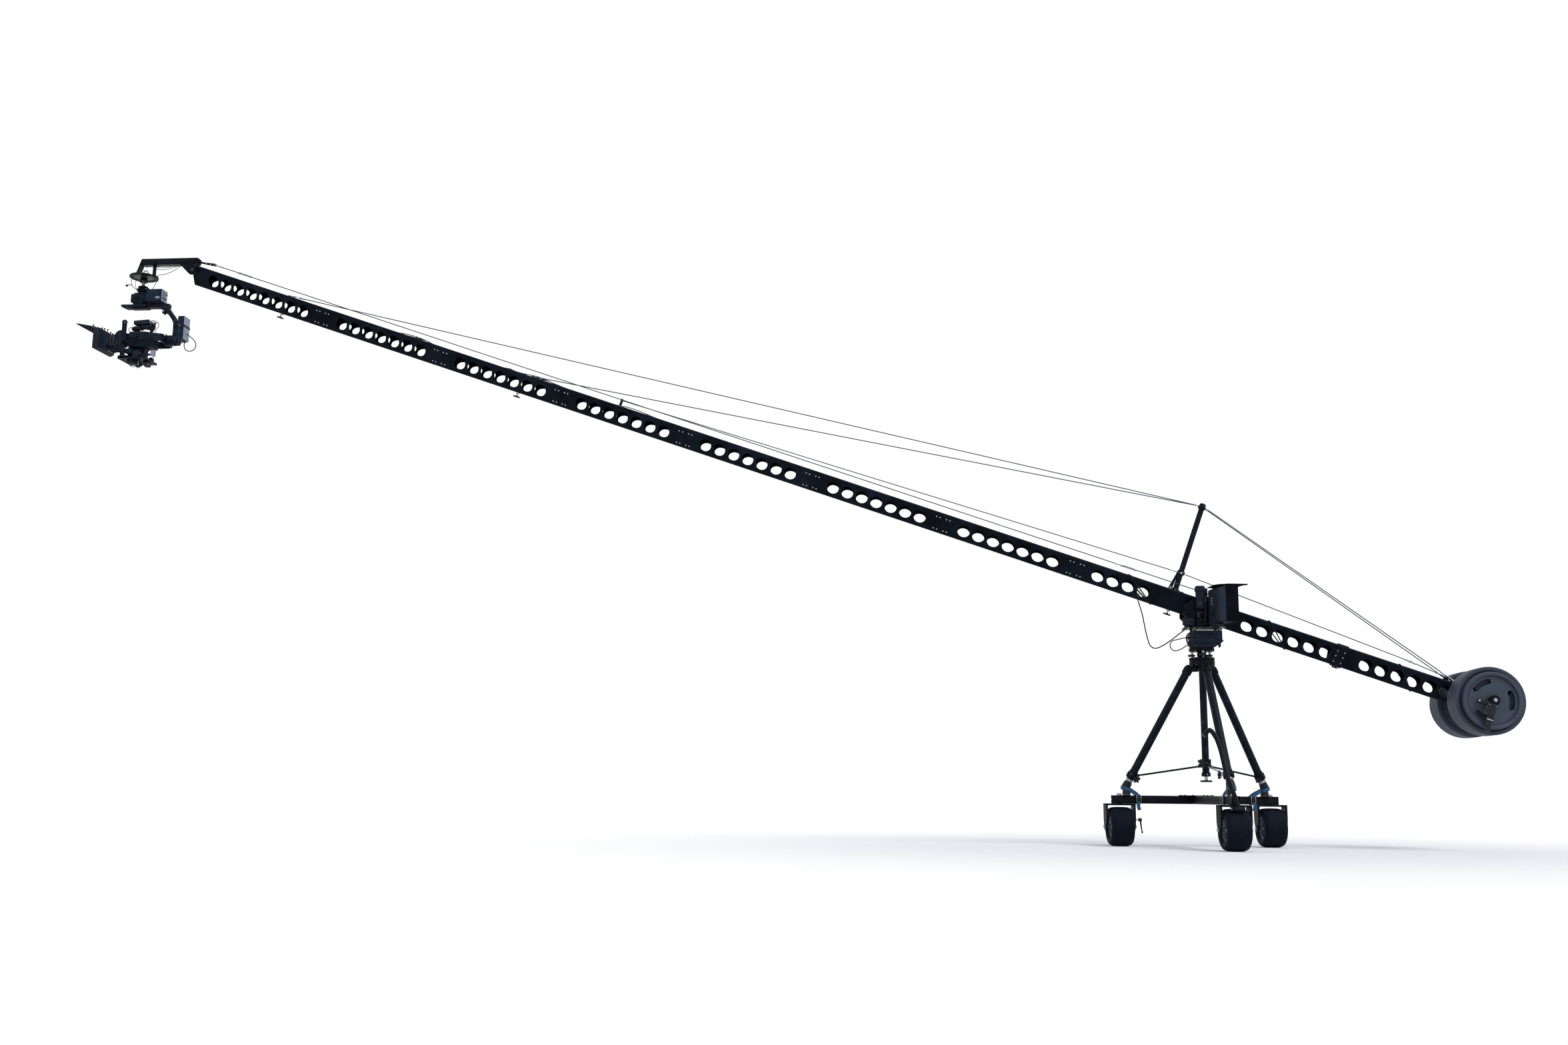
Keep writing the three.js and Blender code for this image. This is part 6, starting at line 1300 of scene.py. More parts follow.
def wall_point(x, side, up_by, lift=0.0):
    """A point on a slanted wall's outer face, at a distance up from the line of holes."""
    up = Vector((0, side * 0.5, math.cos(math.radians(30))))
    out = Vector((0, side * math.cos(math.radians(30)), -0.5))
    return Vector((x, side * HALF_SIDE, -22)) + up * up_by + out * lift


def wall_out(side):
    """The outward direction of a slanted wall."""
    return Vector((0, side * math.cos(math.radians(30)), -0.5))


def button_screw(bm, foot, axis, radius, finish=1):
    """Adds a low domed screw head."""
    turned(bm, [(0, -0.4), (radius, -0.4), (radius, 0.4), (radius * 0.8, 1.2), (radius * 0.4, 1.7), (0, 1.8)],
           foot, axis, 16, finish)


def round_holes(first, count):
    """The cells of a row of lightening holes."""
    return [(first + PITCH * i, PITCH / 2, 0.0, HOLE, HOLE, 0.0) for i in range(count)]


def pin_hole(x, z, radius, half):
    """The cell of a hole that a cross pin goes through, level while the wall slants."""
    across = math.cos(math.radians(30))
    return (x, half, (z + 22) / across, radius, radius / across, -SKIN * math.tan(math.radians(30)))


def hole_at(index):
    """Place of a lightening hole, counted from the nose."""
    return -7181.0 + PITCH * index


def joint_at(number):
    """Place of a seam, counted from the nose."""
    return hole_at(8.5 + 9 * number)


# name, start, end, holes, spigot, and how much the start is slanted
nose_holes = [pin_hole(NOSE_PIN, 0, 8.3, 9.5)] + round_holes(hole_at(0), 8)
SECTIONS = [("nose", -7351.0, joint_at(0) - 0.15, nose_holes, True, 0.3443)]
for i in range(6):
    holes = round_holes(hole_at(10 + 9 * i), 7)
    SECTIONS.append((f"extension_{i + 1}", joint_at(i) + 0.15, joint_at(i + 1) - 0.15, holes, True, 0.0))
centre_holes = round_holes(-678.6, 4) + [pin_hole(0, 0, 15.3, 40)]
tail_holes = round_holes(1074.0, 7) + [pin_hole(1787, -22, 12.8, 32)]
SECTIONS += [
    ("centre", joint_at(6) + 0.15, joint_at(7) - 0.15, centre_holes, True, 0.0),
    ("rear", joint_at(7) + 0.15, 904.85, round_holes(311.0, 6), True, 0.0),
    ("tail", 905.15, 1858.0, tail_holes, False, 0.0),
]
SEAMS = {"nose": (None, joint_at(0)), "centre": (joint_at(6), joint_at(7)), "rear": (joint_at(7), None)}
for i in range(6):
    SEAMS[f"extension_{i + 1}"] = (joint_at(i), joint_at(i + 1))

for name, x0, x1, holes, spigot, slope in SECTIONS:
    bm = bmesh.new()
    if name == "nose":
        # the pin's cell starts on the slanted end, so it is given its own start line
        holes[0] = (NOSE_PIN + 12, 21.0, holes[0][2], 8.3, holes[0][4], holes[0][5])
        boom_tube(bm, x0, x1, holes[1:], spigot, slope)
        for side in (-1, 1):
            turned(bm, [(8.3, 0), (16, 0), (17, 1), (17, 3.4), (16, 4.4), (8.3, 4.4)],
                   (NOSE_PIN, side * 52.7, 0), (0, side, 0), 32, 1)
    else:
        boom_tube(bm, x0, x1, holes, spigot, slope)
    for end, seam in zip((1, -1), SEAMS.get(name, (None, None))):
        if seam is None:
            continue
        for side in (-1, 1):
            for gap in (22, 46):
                for up_by in (-44, 40):
                    button_screw(bm, wall_point(seam + end * gap, side, up_by), wall_out(side), 4.6)
        for gap in (22, 46):
            for y in (-34, 34):
                button_screw(bm, (seam + end * gap, y, 47.28), (0, 0, 1), 4.6)
    if name == "centre":
        turned(bm, [(0, -1), (7, -1), (7, 13), (6, 16), (4.2, 16), (4.2, 15), (0, 15)], CORD_CLIP,
               CLIP_DOWN, 20, 1)
        for side in (-1, 1):
            turned(bm, [(15.3, 0), (34, 0), (36, 1.4), (36, 5), (34, 6.4), (15.3, 6.4)],
                   wall_point(0, side, 22 / math.cos(math.radians(30)), 0.0), (0, side, 0), 48, 1)
    piece("boom_tube_" + name, bm, "boom", [boom_anodised, zinc_steel], BOOM, ["boom_" + name],
          crease=28)

# T knobs under the apex: a threaded rod with a turned cross bar, which clamps a spigot from below.
# The rods are zinc-plated steel and the cross bars black phenolic; three joints of the boom have one.

bm = bmesh.new()
for x in (-6627.0, -4796.0, -186.0):
    foot = Vector((x, 0, -79.5))
    turned(bm, [(0, 0), (11, 0), (12, -1), (12, -6), (9, -8), (0, -8)], foot, (0, 0, 1), 24, 1)
    rod(bm, foot + Vector((0, 0, -7)), foot + Vector((0, 0, -31)), 4.4, 16, 1, 0.4)
    rod(bm, foot + Vector((0, 0, -22)), foot + Vector((0, 0, -34)), 8.5, 20, 0, 1)
    rod(bm, foot + Vector((-24, 0, -30)), foot + Vector((24, 0, -30)), 5.4, 16, 0, 2)
piece("boom_t_knobs", bm, "boom", [phenolic, zinc_steel], BOOM, ())

# Band clamp at the rear joint: a bent steel band that follows the tube, drawn tight by two screws under it.
# The band is powder coated black, with two ears at the apex that the screws pull together.

bm = bmesh.new()
band = [[(x, y, z) for y, z in triangle(depth, 8)] for x, depth in (
    (870, -5.3), (871, -6.3), (939, -6.3), (940, -5.3), (940, -0.3), (870, -0.3))]
loft(bm, band, closed=True)
for side in (-1, 1):
    block(bm, (887.5, side * 4.2 - 3.4, -95.0), (922.5, side * 4.2 + 3.4, -83.6), 0.8)
rod(bm, (897, -11.8, -89.6), (897, 11.8, -89.6), 2.6, 12, 1, 0.4)
rod(bm, (913, -11.8, -89.6), (913, 11.8, -89.6), 2.6, 12, 1, 0.4)
for side in (-1, 1):
    for x in (882, 928):
        for up_by in (-40, 0, 36):
            button_screw(bm, wall_point(x, side, up_by, 6.3), wall_out(side), 4.2)
piece("band_clamp_steel", bm, "boom", [powder_coat, zinc_steel], BOOM, ["band_clamp"])

# Mast: an anodised tube on a foot plate that is screwed to the boom's flat top, with a clamped collar from
# which two brace tubes run down to the plate.

bm = bmesh.new()
MAST_X = -182.0
block(bm, (MAST_X - 52, -35, 47.7), (MAST_X + 52, 35, 54.6), 1.2, 1)
for x in (-43, 0, 43):
    for y in (-27, 27):
        cap_screw(bm, (MAST_X + x, y, 54.6), (0, 0, 1), 4, 2)
turned(bm, [(0, 54), (28, 54), (29, 56), (28, 60), (20.5, 68), (17.6, 72), (0, 72)], (MAST_X, 0, 0),
       (0, 0, 1), 36, 1)
turned(bm, [(0, 50), (17.5, 50), (17.5, 620.5), (0, 620.5)], (MAST_X, 0, 0), (0, 0, 1), 36, 0)
for z0, z1 in ((166, 176), (178.5, 189)):
    turned(bm, [(17.6, z0), (23, z0), (24, z0 + 1), (24, z1 - 1), (23, z1), (17.6, z1)], (MAST_X, 0, 0),
           (0, 0, 1), 36, 1)
block(bm, (MAST_X + 20, -7, 167), (MAST_X + 23.8, 7, 188), 1, 1)
for z in (172, 183):
    cap_screw(bm, (MAST_X + 10, -21.2, z), (0.42, -0.9, 0), 3, 2)
for share in (1, 2 / 3):
    foot = Vector((MAST_X - (52 - 8.75) * share, 0, 56))
    head_end = Vector((MAST_X - 19.5, 0, 173))
    sweep(bm, [foot, head_end], 5.6, 18, 0)
    for end, way in ((foot, 1), (head_end, -1)):
        at_end = end + (head_end - foot).normalized() * way * 4
        rod(bm, at_end - Vector((0, 6, 0)), at_end + Vector((0, 6, 0)), 4.6, 16, 2, 0.6)
for z in (300, 470):
    turned(bm, [(17.4, z), (18.4, z + 0.6), (18.4, z + 2.4), (17.4, z + 3)], (MAST_X, 0, 0), (0, 0, 1), 32, 1)
piece("mast_tube_and_braces", bm, "boom", [anodised_tube, powder_coat, zinc_steel], BOOM, ["mast"])

# Stays: 6 mm galvanised steel strand from the mast's saddle: a long and a short one to the front, each
# with a turnbuckle at its bracket, and a pair to the rear with swaged sleeves.

# Steel strand: grey zinc, darkened in the grooves between the twisted wires as painted shade, with paler
# crowns some 10 mm apart on the front stays
wire_strand = look("steel_strand_galvanised", ("12161d", "525b69"), (0.62, 0.4),
                   waves(95.0, 0.6, wave_type="BANDS", bands_direction="DIAGONAL"), relief=(0.5, 0.0005),
                   metal=0.85)


def turnbuckle(bm, middle, along, half, radius, finish=1):
    """Adds an open turnbuckle: two bosses, two side bars and the threaded ends between them."""
    middle, along = Vector(middle), Vector(along).normalized()
    across = along.cross(Vector((0, 1, 0))).normalized()
    if across.length < 0.5:
        across = Vector((0, 0, 1))
    for way in (-1, 1):
        rod(bm, middle + along * way * half, middle + along * way * (half - radius * 2.4), radius * 0.92,
            18, finish, 0.8)
        rod(bm, middle + along * way * (half + radius * 3), middle + along * way * (half * 0.28),
            radius * 0.42, 12, finish, 0.2)
        rod(bm, middle + along * (-half + radius) + across * (way * radius * 0.78),
            middle + along * (half - radius) + across * (way * radius * 0.78), radius * 0.2, 10, finish, 0.2)


bm = bmesh.new()
turned(bm, [(0, 621.4), (24, 621.4), (24, 632), (22.6, 634), (21, 646), (17.4, 655), (16, 656.8), (0, 656.8)],
       (MAST_X, 0, 0), (0, 0, 1), 36, 2)
rod(bm, (MAST_X, -17, 639), (MAST_X, 17, 639), 5.4, 16, 1, 1)
EYE = Vector((MAST_X, 0, 639))
for end_x in (-6622.0, -4735.0):
    end = Vector((end_x, 0, 60.3))
    along = (EYE - end).normalized()
    sweep(bm, [end + along * 96, EYE], 3.0, 12, 0)
    turnbuckle(bm, end + along * 58, along, 34, 5.8)
    turned(bm, [(3, 0), (4.4, 0), (5, 1), (5, 22), (4.4, 23), (3, 23)], end + along * 100, along, 16, 1)
    turned(bm, [(3, 0), (4.4, 0), (5, 1), (5, 26), (4.4, 27), (3, 27)], EYE - along * 52, along, 16, 1)
    block(bm, (end_x - 25.8, -12.8, 47.7), (end_x + 25.8, 12.8, 51.4), 0.9, 2)
    for side in (-1, 1):
        plate(bm, [(end_x - 12, 50), (end_x + 12, 50), (end_x + 8, 63), (end_x - 8, 63)], side * 6 - 1.4,
              side * 6 + 1.4, edge=0.4, finish=2)
        cap_screw(bm, (end_x + side * 19, 0, 51.4), (0, 0, 1), 3.4)
    rod(bm, (end_x, -9.5, 58.6), (end_x, 9.5, 58.6), 3.2, 12, 1, 0.5)
    sweep(bm, [end + Vector((0, 0, -1)), end + along * 30], 3.0, 12, 1)
for side in (-1, 1):
    end = Vector((1615, side * 34, 60.3))
    top = Vector((MAST_X, side * 12, 639))
    along = (top - end).normalized()
    sweep(bm, [end, top], 3.0, 12, 0)
    turned(bm, [(3, 0), (5, 0), (5.8, 1.2), (5.8, 58), (5, 60), (3, 60)], end + along * 44, along, 16, 1)
    turned(bm, [(3, 0), (4.4, 0), (5, 1), (5, 26), (4.4, 27), (3, 27)], top - along * 50, along, 16, 1)
    rod(bm, end - along * 2, end + along * 40, 4.6, 14, 1, 0.6)
    rod(bm, (1606, side * 34, 51), (1606, side * 34, 62.5), 7.4, 20, 1, 1)
block(bm, (1581.4, -46.8, 47.7), (1631.8, 46.8, 53.2), 1.0, 2)
for x in (1590, 1623):
    for y in (-20, 20):
        cap_screw(bm, (x, y, 53.2), (0, 0, 1), 4)
for side in (-1, 1):
    block(bm, (1592, side * 34 - 12, 53), (1630, side * 34 + 12, 57.6), 0.8, 2)
piece("stay_strands_and_fittings", bm, "boom", [wire_strand, zinc_steel, powder_coat], BOOM, ["stay_wires"])

# Guide post on the boom's flat top: a screwed foot with two tall moulded prongs, between which the
# levelling strand runs clear of the tube.

bm = bmesh.new()
GUIDE_X = -4074.0
block(bm, (GUIDE_X - 22, -49, 47.5), (GUIDE_X + 22, -23, 51), 0.8, 1)
for x in (-15, 15):
    cap_screw(bm, (GUIDE_X + x, -36, 51), (0, 0, 1), 3.2, 1)
for way in (-1, 1):
    block(bm, (GUIDE_X - 7, -36 + way * 9 - 2.4, 50), (GUIDE_X + 7, -36 + way * 9 + 2.4, 98), 1.6)
    rod(bm, (GUIDE_X, -36 + way * 9, 96), (GUIDE_X, -36 + way * 9, 103), 3.2, 16, 0, 1)
piece("strand_guide_post", bm, "boom", [phenolic, zinc_steel], BOOM, ())

# Upper strand: a second steel strand that is fixed to the boom. It runs from the guide post over the
# mast's collar to a bracket on the tube's rear, and is drawn tight by a sleeve with a lock nut.

bm = bmesh.new()
UPPER = [Vector((GUIDE_X, -27, 92)), Vector((MAST_X, -28, 171)), Vector((1333, -22, 94)),
         Vector((1560, -20, 72))]
for a, b in zip(UPPER, UPPER[1:]):
    sweep(bm, [a, b], 2.8, 12, 0)
turned(bm, [(0, -3), (5, -3), (6.4, -2), (6.4, 2), (5, 3), (0, 3)], UPPER[0], (0, 1, 0), 20, 1)
turned(bm, [(0, -4), (6, -4), (7, -3), (7, 3), (6, 4), (0, 4)], UPPER[1], (0, 1, 0), 24, 1)
for share in (0.02, 0.982):
    foot = UPPER[0].lerp(UPPER[1], share)
    rod(bm, foot, foot + (UPPER[1] - UPPER[0]).normalized() * 30, 3.8, 14, 1, 0.8)
run = (UPPER[3] - UPPER[2]).normalized()
rod(bm, UPPER[2] - run * 34, UPPER[2] + run * 34, 5.6, 18, 1, 1)
rod(bm, UPPER[2] - run * 8, UPPER[2] + run * 2, 8, 6, 1, 0.6)
plate(bm, [(1545, 47.6), (1588, 47.6), (1572, 76), (1556, 76)], -22, -18, edge=0.6, finish=2)
rod(bm, (1562, -25, 71.6), (1562, -15, 71.6), 4.6, 16, 1, 0.8)
piece("upper_strand_and_sleeve", bm, "boom", [wire_strand, zinc_steel, powder_coat], BOOM, ())

# Levelling strand: one steel strand between an eye on the fulcrum's pin and an eye on the head's lever,
# with a long turnbuckle near each end, so that the head stays level as the boom tilts.

bm = bmesh.new()
LINK_Z, LINK_FRONT, LINK_REAR = 94.8, -7221.8, 114.2
for x in (LINK_FRONT, LINK_REAR):
    turned(bm, [(4.3, -3), (9, -3), (10, -2), (10, 2), (9, 3), (4.3, 3)], (x, -36, LINK_Z), (0, 1, 0), 32, 1)
    way = 1 if x == LINK_FRONT else -1
    rod(bm, (x + way * 9, -36, LINK_Z), (x + way * 52, -36, LINK_Z), 4.4, 16, 1, 0.8)
    rod(bm, (x + way * 50, -36, LINK_Z), (x + way * 66, -36, LINK_Z), 5.4, 6, 1, 0.6)
sweep(bm, [(LINK_FRONT + 11.4, -36, LINK_Z), (LINK_REAR - 11.4, -36, LINK_Z)], 2.9, 12, 0)
for x in (-6979.7, -509.4):
    turnbuckle(bm, (x, -36, LINK_Z), (1, 0, 0), 55, 6.9)
for x in (-6888, -5200, -3150, -1380, -600):
    rod(bm, (x, -36, LINK_Z), (x + 30, -36, LINK_Z), 4.4, 14, 1, 0.8)
piece("levelling_strand_and_eyes", bm, "link", [wire_strand, zinc_steel], BOOM, ["levelling_link"])

# Feed cable of the head: a thin PVC cable that lies along the boom's flat top under small saddles, with
# its spare length laid in low loops at the joints, and black cords tied round the tube, as the crew left
# them.

bm = bmesh.new()
FEED = [(-6602, -10, 51), (-6520, -17, 50.4), (-6400, -19, 51), (-6120, -17, 50.4), (-5900, -20, 50.4),
        (-5770, -18, 51), (-5700, -19, 60), (-5620, -20, 64), (-5540, -19, 60), (-5480, -17, 51),
        (-5200, -19, 50.2), (-4960, -17, 50.4), (-4905, -18, 58), (-4862, -20, 53), (-4800, -19, 56),
        (-4690, -20, 66), (-4590, -20, 58), (-4480, -18, 52), (-4300, -17, 50.2), (-4130, -12, 52),
        (-4000, -11, 64), (-3930, -12, 62), (-3850, -16, 55), (-3740, -18, 50.2), (-3300, -20, 50.2),
        (-2700, -17, 50.2), (-2100, -20, 50.2), (-1500, -18, 50.2), (-900, -20, 50.2), (-420, -19, 50.4),
        (-236, -20, 51)]
sweep(bm, smooth_line(FEED, 26), 2.8, 10)
for x in (-6400, -5200, -4300, -3300, -2700, -2100, -1500, -900):
    block(bm, (x - 9, -30, 47.4), (x + 9, -8, 49.4), 0.6, 1)
    block(bm, (x - 5, -26, 49), (x + 5, -12, 54.4), 1.6, 1)
for x in (-5620, -4690):
    # the spare length: a flat loop tied with a strip
    loop = [(x + 70 * math.cos(t), -19 + 6 * math.sin(t), 56 + 4 * math.cos(t)) for t in
            [2 * math.pi * k / 40 for k in range(40)]]
    sweep(bm, loop, 2.6, 10, closed=True)
    block(bm, (x - 4, -27, 49), (x + 4, -11, 67), 3.0, 1)
for x0, lean, radius in ((428, 1.156, 3.6), (1265, 0.92, 3.2), (-500, 1.48, 2.4), (-488, 1.44, 2.4)):
    sweep(bm, [(x0 + (48 - z) * lean, y, z) for y, z in triangle(-radius + 0.3)], radius, 12, closed=True)
piece("boom_feed_cable_and_ties", bm, "boom", [pvc_jacket, phenolic], BOOM, ())

# Counterweights: iron plates as used in gyms, cast with a heavy rim and hub and a thin web, enamelled slate
# grey and chipped. Eight of 424 mm with finger holes and two of 352 mm with three curved grip slots, on a
# bright steel axle through the boom's tail.

# Cast iron under enamel: slate blue-grey, the skin of sand in relief, chipped dark where plates knock
cast_enamel, tree, shader, spot = new_finish("iron_cast_enamelled_slate")
shader.inputs["IOR"].default_value = 1.5
shader.inputs["Specular IOR Level"].default_value = 0.35
chips = place(tree, "ShaderNodeTexNoise", {"Vector": spot, "Scale": 34.0, "Detail": 9.0, "Roughness": 0.75})
gone = place(tree, "ShaderNodeMapRange", {"Value": chips.outputs["Fac"], "From Min": 0.62, "From Max": 0.68})
shade = place(tree, "ShaderNodeTexNoise", {"Vector": spot, "Scale": 7.0, "Detail": 5.0})
tone = place(tree, "ShaderNodeMix", {"Factor": shade.outputs["Fac"], "A": linear("1d242f"),
                                     "B": linear("3f4b5d")}, data_type="RGBA")
coat = place(tree, "ShaderNodeMix", {"Factor": gone.outputs["Result"], "A": tone.outputs[2],
                                     "B": linear("0f1217")}, data_type="RGBA")
rough = place(tree, "ShaderNodeMapRange", {"Value": chips.outputs["Fac"], "To Min": 0.42, "To Max": 0.7})
sand = place(tree, "ShaderNodeTexNoise", {"Vector": spot, "Scale": 380.0, "Detail": 4.0})
bump = place(tree, "ShaderNodeBump", {"Strength": 0.4, "Distance": 0.0006, "Height": sand.outputs["Fac"]})
for name, value in (("Base Color", coat.outputs[2]), ("Roughness", rough.outputs["Result"]),
                    ("Normal", bump.outputs[0])):
    tree.links.new(value, shader.inputs[name])

AXLE_X, AXLE_Z = 1787.0, -22.0


def annulus(bm, inner, outer, y0, y1, cuts, finish=0):
    """Adds a flat ring across Y with openings cut through it, each opening a loop of X and Z pairs."""
    loops = [circle(0, 0, outer, 96, 1), circle(0, 0, inner, 40)] + cuts
    rows = [[[bm.verts.new((x, y, z)) for x, z in loop] for y in (y0, y1)] for loop in loops]
    for row in rows:
        join_loops(bm, row[0], row[1], finish)
    for level in (0, 1):
        flat = [[Vector((v.co.x, v.co.z, 0)) for v in row[level]] for row in rows]
        every = [v for row in rows for v in row[level]]
        for three in geometry.tessellate_polygon(flat):
            corners = [every[i] for i in three]
            if len(set(corners)) == 3:
                bm.faces.new(corners).material_index = finish


def iron_plate(bm, radius, thick, rim_inner, web, cuts, hub=35.1):
    """One plate about the axle's line, from Y zero to its thickness."""
    half = thick / 2
    turned(bm, [(rim_inner, 2.5), (rim_inner + 3, 0.6), (radius - 7, 0.3), (radius - 2.4, 1.8),
                (radius - 0.4, 5), (radius, half), (radius - 0.4, thick - 5), (radius - 2.4, thick - 1.8),
                (radius - 7, thick - 0.3), (rim_inner + 3, thick - 0.6), (rim_inner, thick - 2.5),
                (rim_inner - 2.5, half + web / 2), (rim_inner - 2.5, half - web / 2)], axis=(0, 1, 0),
           sides=96)
    turned(bm, [(13.6, 0.4), (hub - 3, 0.4), (hub, 3), (hub + 2.6, half - web / 2),
                (hub + 2.6, half + web / 2), (hub, thick - 3), (hub - 3, thick - 0.4), (13.6, thick - 0.4)],
           axis=(0, 1, 0), sides=48)
    annulus(bm, hub + 1, rim_inner - 1, half - web / 2, half + web / 2, cuts)
    # a raised bead that runs round the web, as the pattern maker left it
    for level, sign in ((half - web / 2, -1), (half + web / 2, 1)):
        turned(bm, [(rim_inner - 13, level), (rim_inner - 11.6, level + sign * 1.6),
                    (rim_inner - 9.4, level + sign * 1.6), (rim_inner - 8, level)], axis=(0, 1, 0),
               sides=96)


def finger_cuts():
    """The three round finger holes of a large plate."""
    cuts = []
    for turn in (90, 210, 330):
        x, z = 118.7 * math.cos(math.radians(turn)), 118.7 * math.sin(math.radians(turn))
        cuts.append(circle(x, z, 24))
    return cuts


def grip_cuts():
    """The three curved grip slots of a small plate, with round ends."""
    cuts = []
    for start in (20, 140, 260):
        loop = arc(0, 0, 117.3 + 17, start - 22, start + 22, 16)
        end = math.radians(start + 22)
        loop += arc(117.3 * math.cos(end), 117.3 * math.sin(end), 17, start + 22, start + 202, 8)[1:-1]
        loop += arc(0, 0, 117.3 - 17, start + 22, start - 22, 12)
        end = math.radians(start - 22)
        loop += arc(117.3 * math.cos(end), 117.3 * math.sin(end), 17, start + 158, start + 338, 8)[1:-1]
        cuts.append(loop[::-1])
    return cuts


for side_name, side in (("near", -1), ("far", 1)):
    facing = Matrix.Translation((AXLE_X, 0, AXLE_Z)) @ Matrix.Diagonal((1, side, 1, 1))
    bm = bmesh.new()
    for i, turn in enumerate((0, 23, -17, 41)):
        here = facing @ Matrix.Translation((0, 94 + 42 * i, 0)) @ spun(turn, "Y")
        moved(bm, here, iron_plate, 209.2, 42, 184.4, 12, finger_cuts())
    piece("large_iron_plates_" + side_name, bm, "boom", [cast_enamel], BOOM, ["large_plates_" + side_name])
    bm = bmesh.new()
    moved(bm, facing @ Matrix.Translation((0, 262.3, 0)), iron_plate, 176, 40, 153, 14, grip_cuts())
    piece("small_iron_plate_" + side_name, bm, "boom", [cast_enamel], BOOM, ["small_plate_" + side_name])

bm = bmesh.new()
turned(bm, [(0, -349), (11, -349), (12.5, -347.4), (12.5, 347.4), (11, 349), (0, 349)], (AXLE_X, 0, AXLE_Z),
       (0, 1, 0), 36)
for side in (-1, 1):
    turned(bm, [(12.6, 82), (24, 82), (25, 83), (25, 88), (23, 90), (23, 93), (12.6, 93.4)],
           (AXLE_X, 0, AXLE_Z), (0, side, 0), 36)
    turned(bm, [(10.4, 348.4), (10.9, 349.0), (9.4, 349.0), (9.4, 346)], (AXLE_X, 0, AXLE_Z), (0, side, 0),
           24)
piece("weight_axle_bar", bm, "boom", [zinc_steel], BOOM, ["weight_axle"])

# Hub clamp: a split collar with a lever that keeps the plates on, and under it a small box in a nylon pouch
# whose black strap hangs down.

# Nylon webbing, woven: black with a soft sheen and ribs 2.4 mm apart, coarser than the real ones to show
nylon = look("nylon_webbing_black", ("080a0e", "1d232c"), (0.75, 0.95), noise(50.0, 6.0),
             grain=waves(130.0, 0.5, wave_type="BANDS", bands_direction="Z"), relief=(0.6, 0.0005),
             ior=1.53, sheen=0.3, gloss=0.25)

bm = bmesh.new()
turned(bm, [(12.9, -336.7), (28.6, -336.7), (30.5, -334.6), (30.5, -322.5), (28.9, -321), (28.9, -319),
            (30.5, -317.5), (30.5, -305), (28.6, -303), (12.9, -303)], (AXLE_X, 0, AXLE_Z), (0, 1, 0), 48)
block(bm, (1695.4, -331, -67), (1768, -306, -41), 5, 1)
rod(bm, (1702, -336, -54), (1702, -303.4, -54), 6.5, 20, 2, 1)
rod(bm, (1763.6, -318, -64), (1763.6, -318, -38), 4.4, 16, 2, 0.8)
block(bm, (1753, -345, -113.6), (1809.6, -303.4, -50), 4.5, 3)
block(bm, (1757, -345.3, -70), (1806, -343, -52), 1.2, 1)
for x in (1762, 1800):
    rod(bm, (x, -344.6, -61), (x, -346.2, -61), 2.6, 12, 2, 0.4)
strap_line = [(1790, -332.6, -98), (1789, -333.4, -130), (1791.5, -332.0, -160), (1789.5, -332.8, -190),
              (1791, -332.4, -220.6)]
webbing(bm, smooth_line(strap_line, 6), (1, 0, 0), 36, 2.6, 3)
block(bm, (1772.4, -336.6, -221), (1809.6, -328.4, -206), 1.6, 3)
block(bm, (1770.5, -337, -150), (1811, -327.6, -144), 1.4, 2)
piece("hub_clamp_pouch_and_strap", bm, "boom", [powder_coat, phenolic, zinc_steel, nylon], BOOM,
      ["hub_clamp"])

# Levelling arm of the remote head: a square aluminium tube welded between two machined cheek plates that
# hang on the boom's nose pin, with a lever plate for the levelling cable and a slanted plate and a post
# in front.

bm = bmesh.new()
square_tube(bm, (-414, -30, 69), (4, 30, 114), 0, 4)
ARM_CHEEK = [(-26, 74), (-92, 74), (-103.2, 55.2), *arc(0, 0, 34, 225, 405, 24)]
for side in (-1, 1):
    plate(bm, ARM_CHEEK, 83 if side > 0 else -91, 91 if side > 0 else -83, [(0, 0, 8.2)], edge=0.9, finish=1)
    for x, z, radius in ((-84, 62, 4.4), (-52, 84, 4.4), (-64, 31, 4.4), (-29, -6, 5.4), (-8, 27, 4.4),
                         (-47, 22, 3.4)):
        cap_screw(bm, (x, side * 91, z), (0, side, 0), radius, 2)
    turned(bm, [(0, 0), (12.8, 0), (12.8, 3.2), (11.6, 4), (0, 4)], (0, side * 91, 0), (0, side, 0), 32, 2)
rod(bm, (0, -91, 0), (0, 91, 0), 8, 28, 4, 0.8)
block(bm, (-90, -83.4, 58.6), (-27, 83.4, 69.2), 1.4, 1)
for side in (-1, 1):
    for x in (-80, -60, -40):
        cap_screw(bm, (x, side * 56, 58.6), (0, 0, -1), 4, 2)
lever = [(-25.8, 73), (46.3, 65), *arc(139, 52, 12, -60, 100, 10), (46.3, 77), (0, 110), (-25.8, 110)]
plate(bm, lever, -32.7, -26.7, [(139, 52, 4.1), (104, 59, 3.4), (72, 67, 3.4)], edge=0.6, finish=1)
for x, z in ((-16, 82), (-16, 101), (4, 88)):
    cap_screw(bm, (x, -32.7, z), (0, -1, 0), 3.6, 2)
rod(bm, (139, -42, 52), (139, -26, 52), 4, 20, 2, 0.8)
turned(bm, [(0, 0), (7, 0), (7, 2.2), (0, 2.2)], (139, -40.6, 52), (0, -1, 0), 20, 2)
# bare cap and screws at the rear end of the tube, screw heads along its sides
for y in (-21, 21):
    rod(bm, (2, y, 106), (8, y, 106), 3.4, 14, 4, 0.6)
for x in (-396, -348, -206, -60):
    for side in (-1, 1):
        turned(bm, [(0, 0), (4.2, 0), (4.2, 0.5), (3, 0.9), (0, 0.9)], (x, side * 30, 92), (0, side, 0), 18,
               1)
for x in (-392, -340, -306):
    for y in (-18, 18):
        cap_screw(bm, (x, y, 69), (0, 0, -1), 3.4, 2)
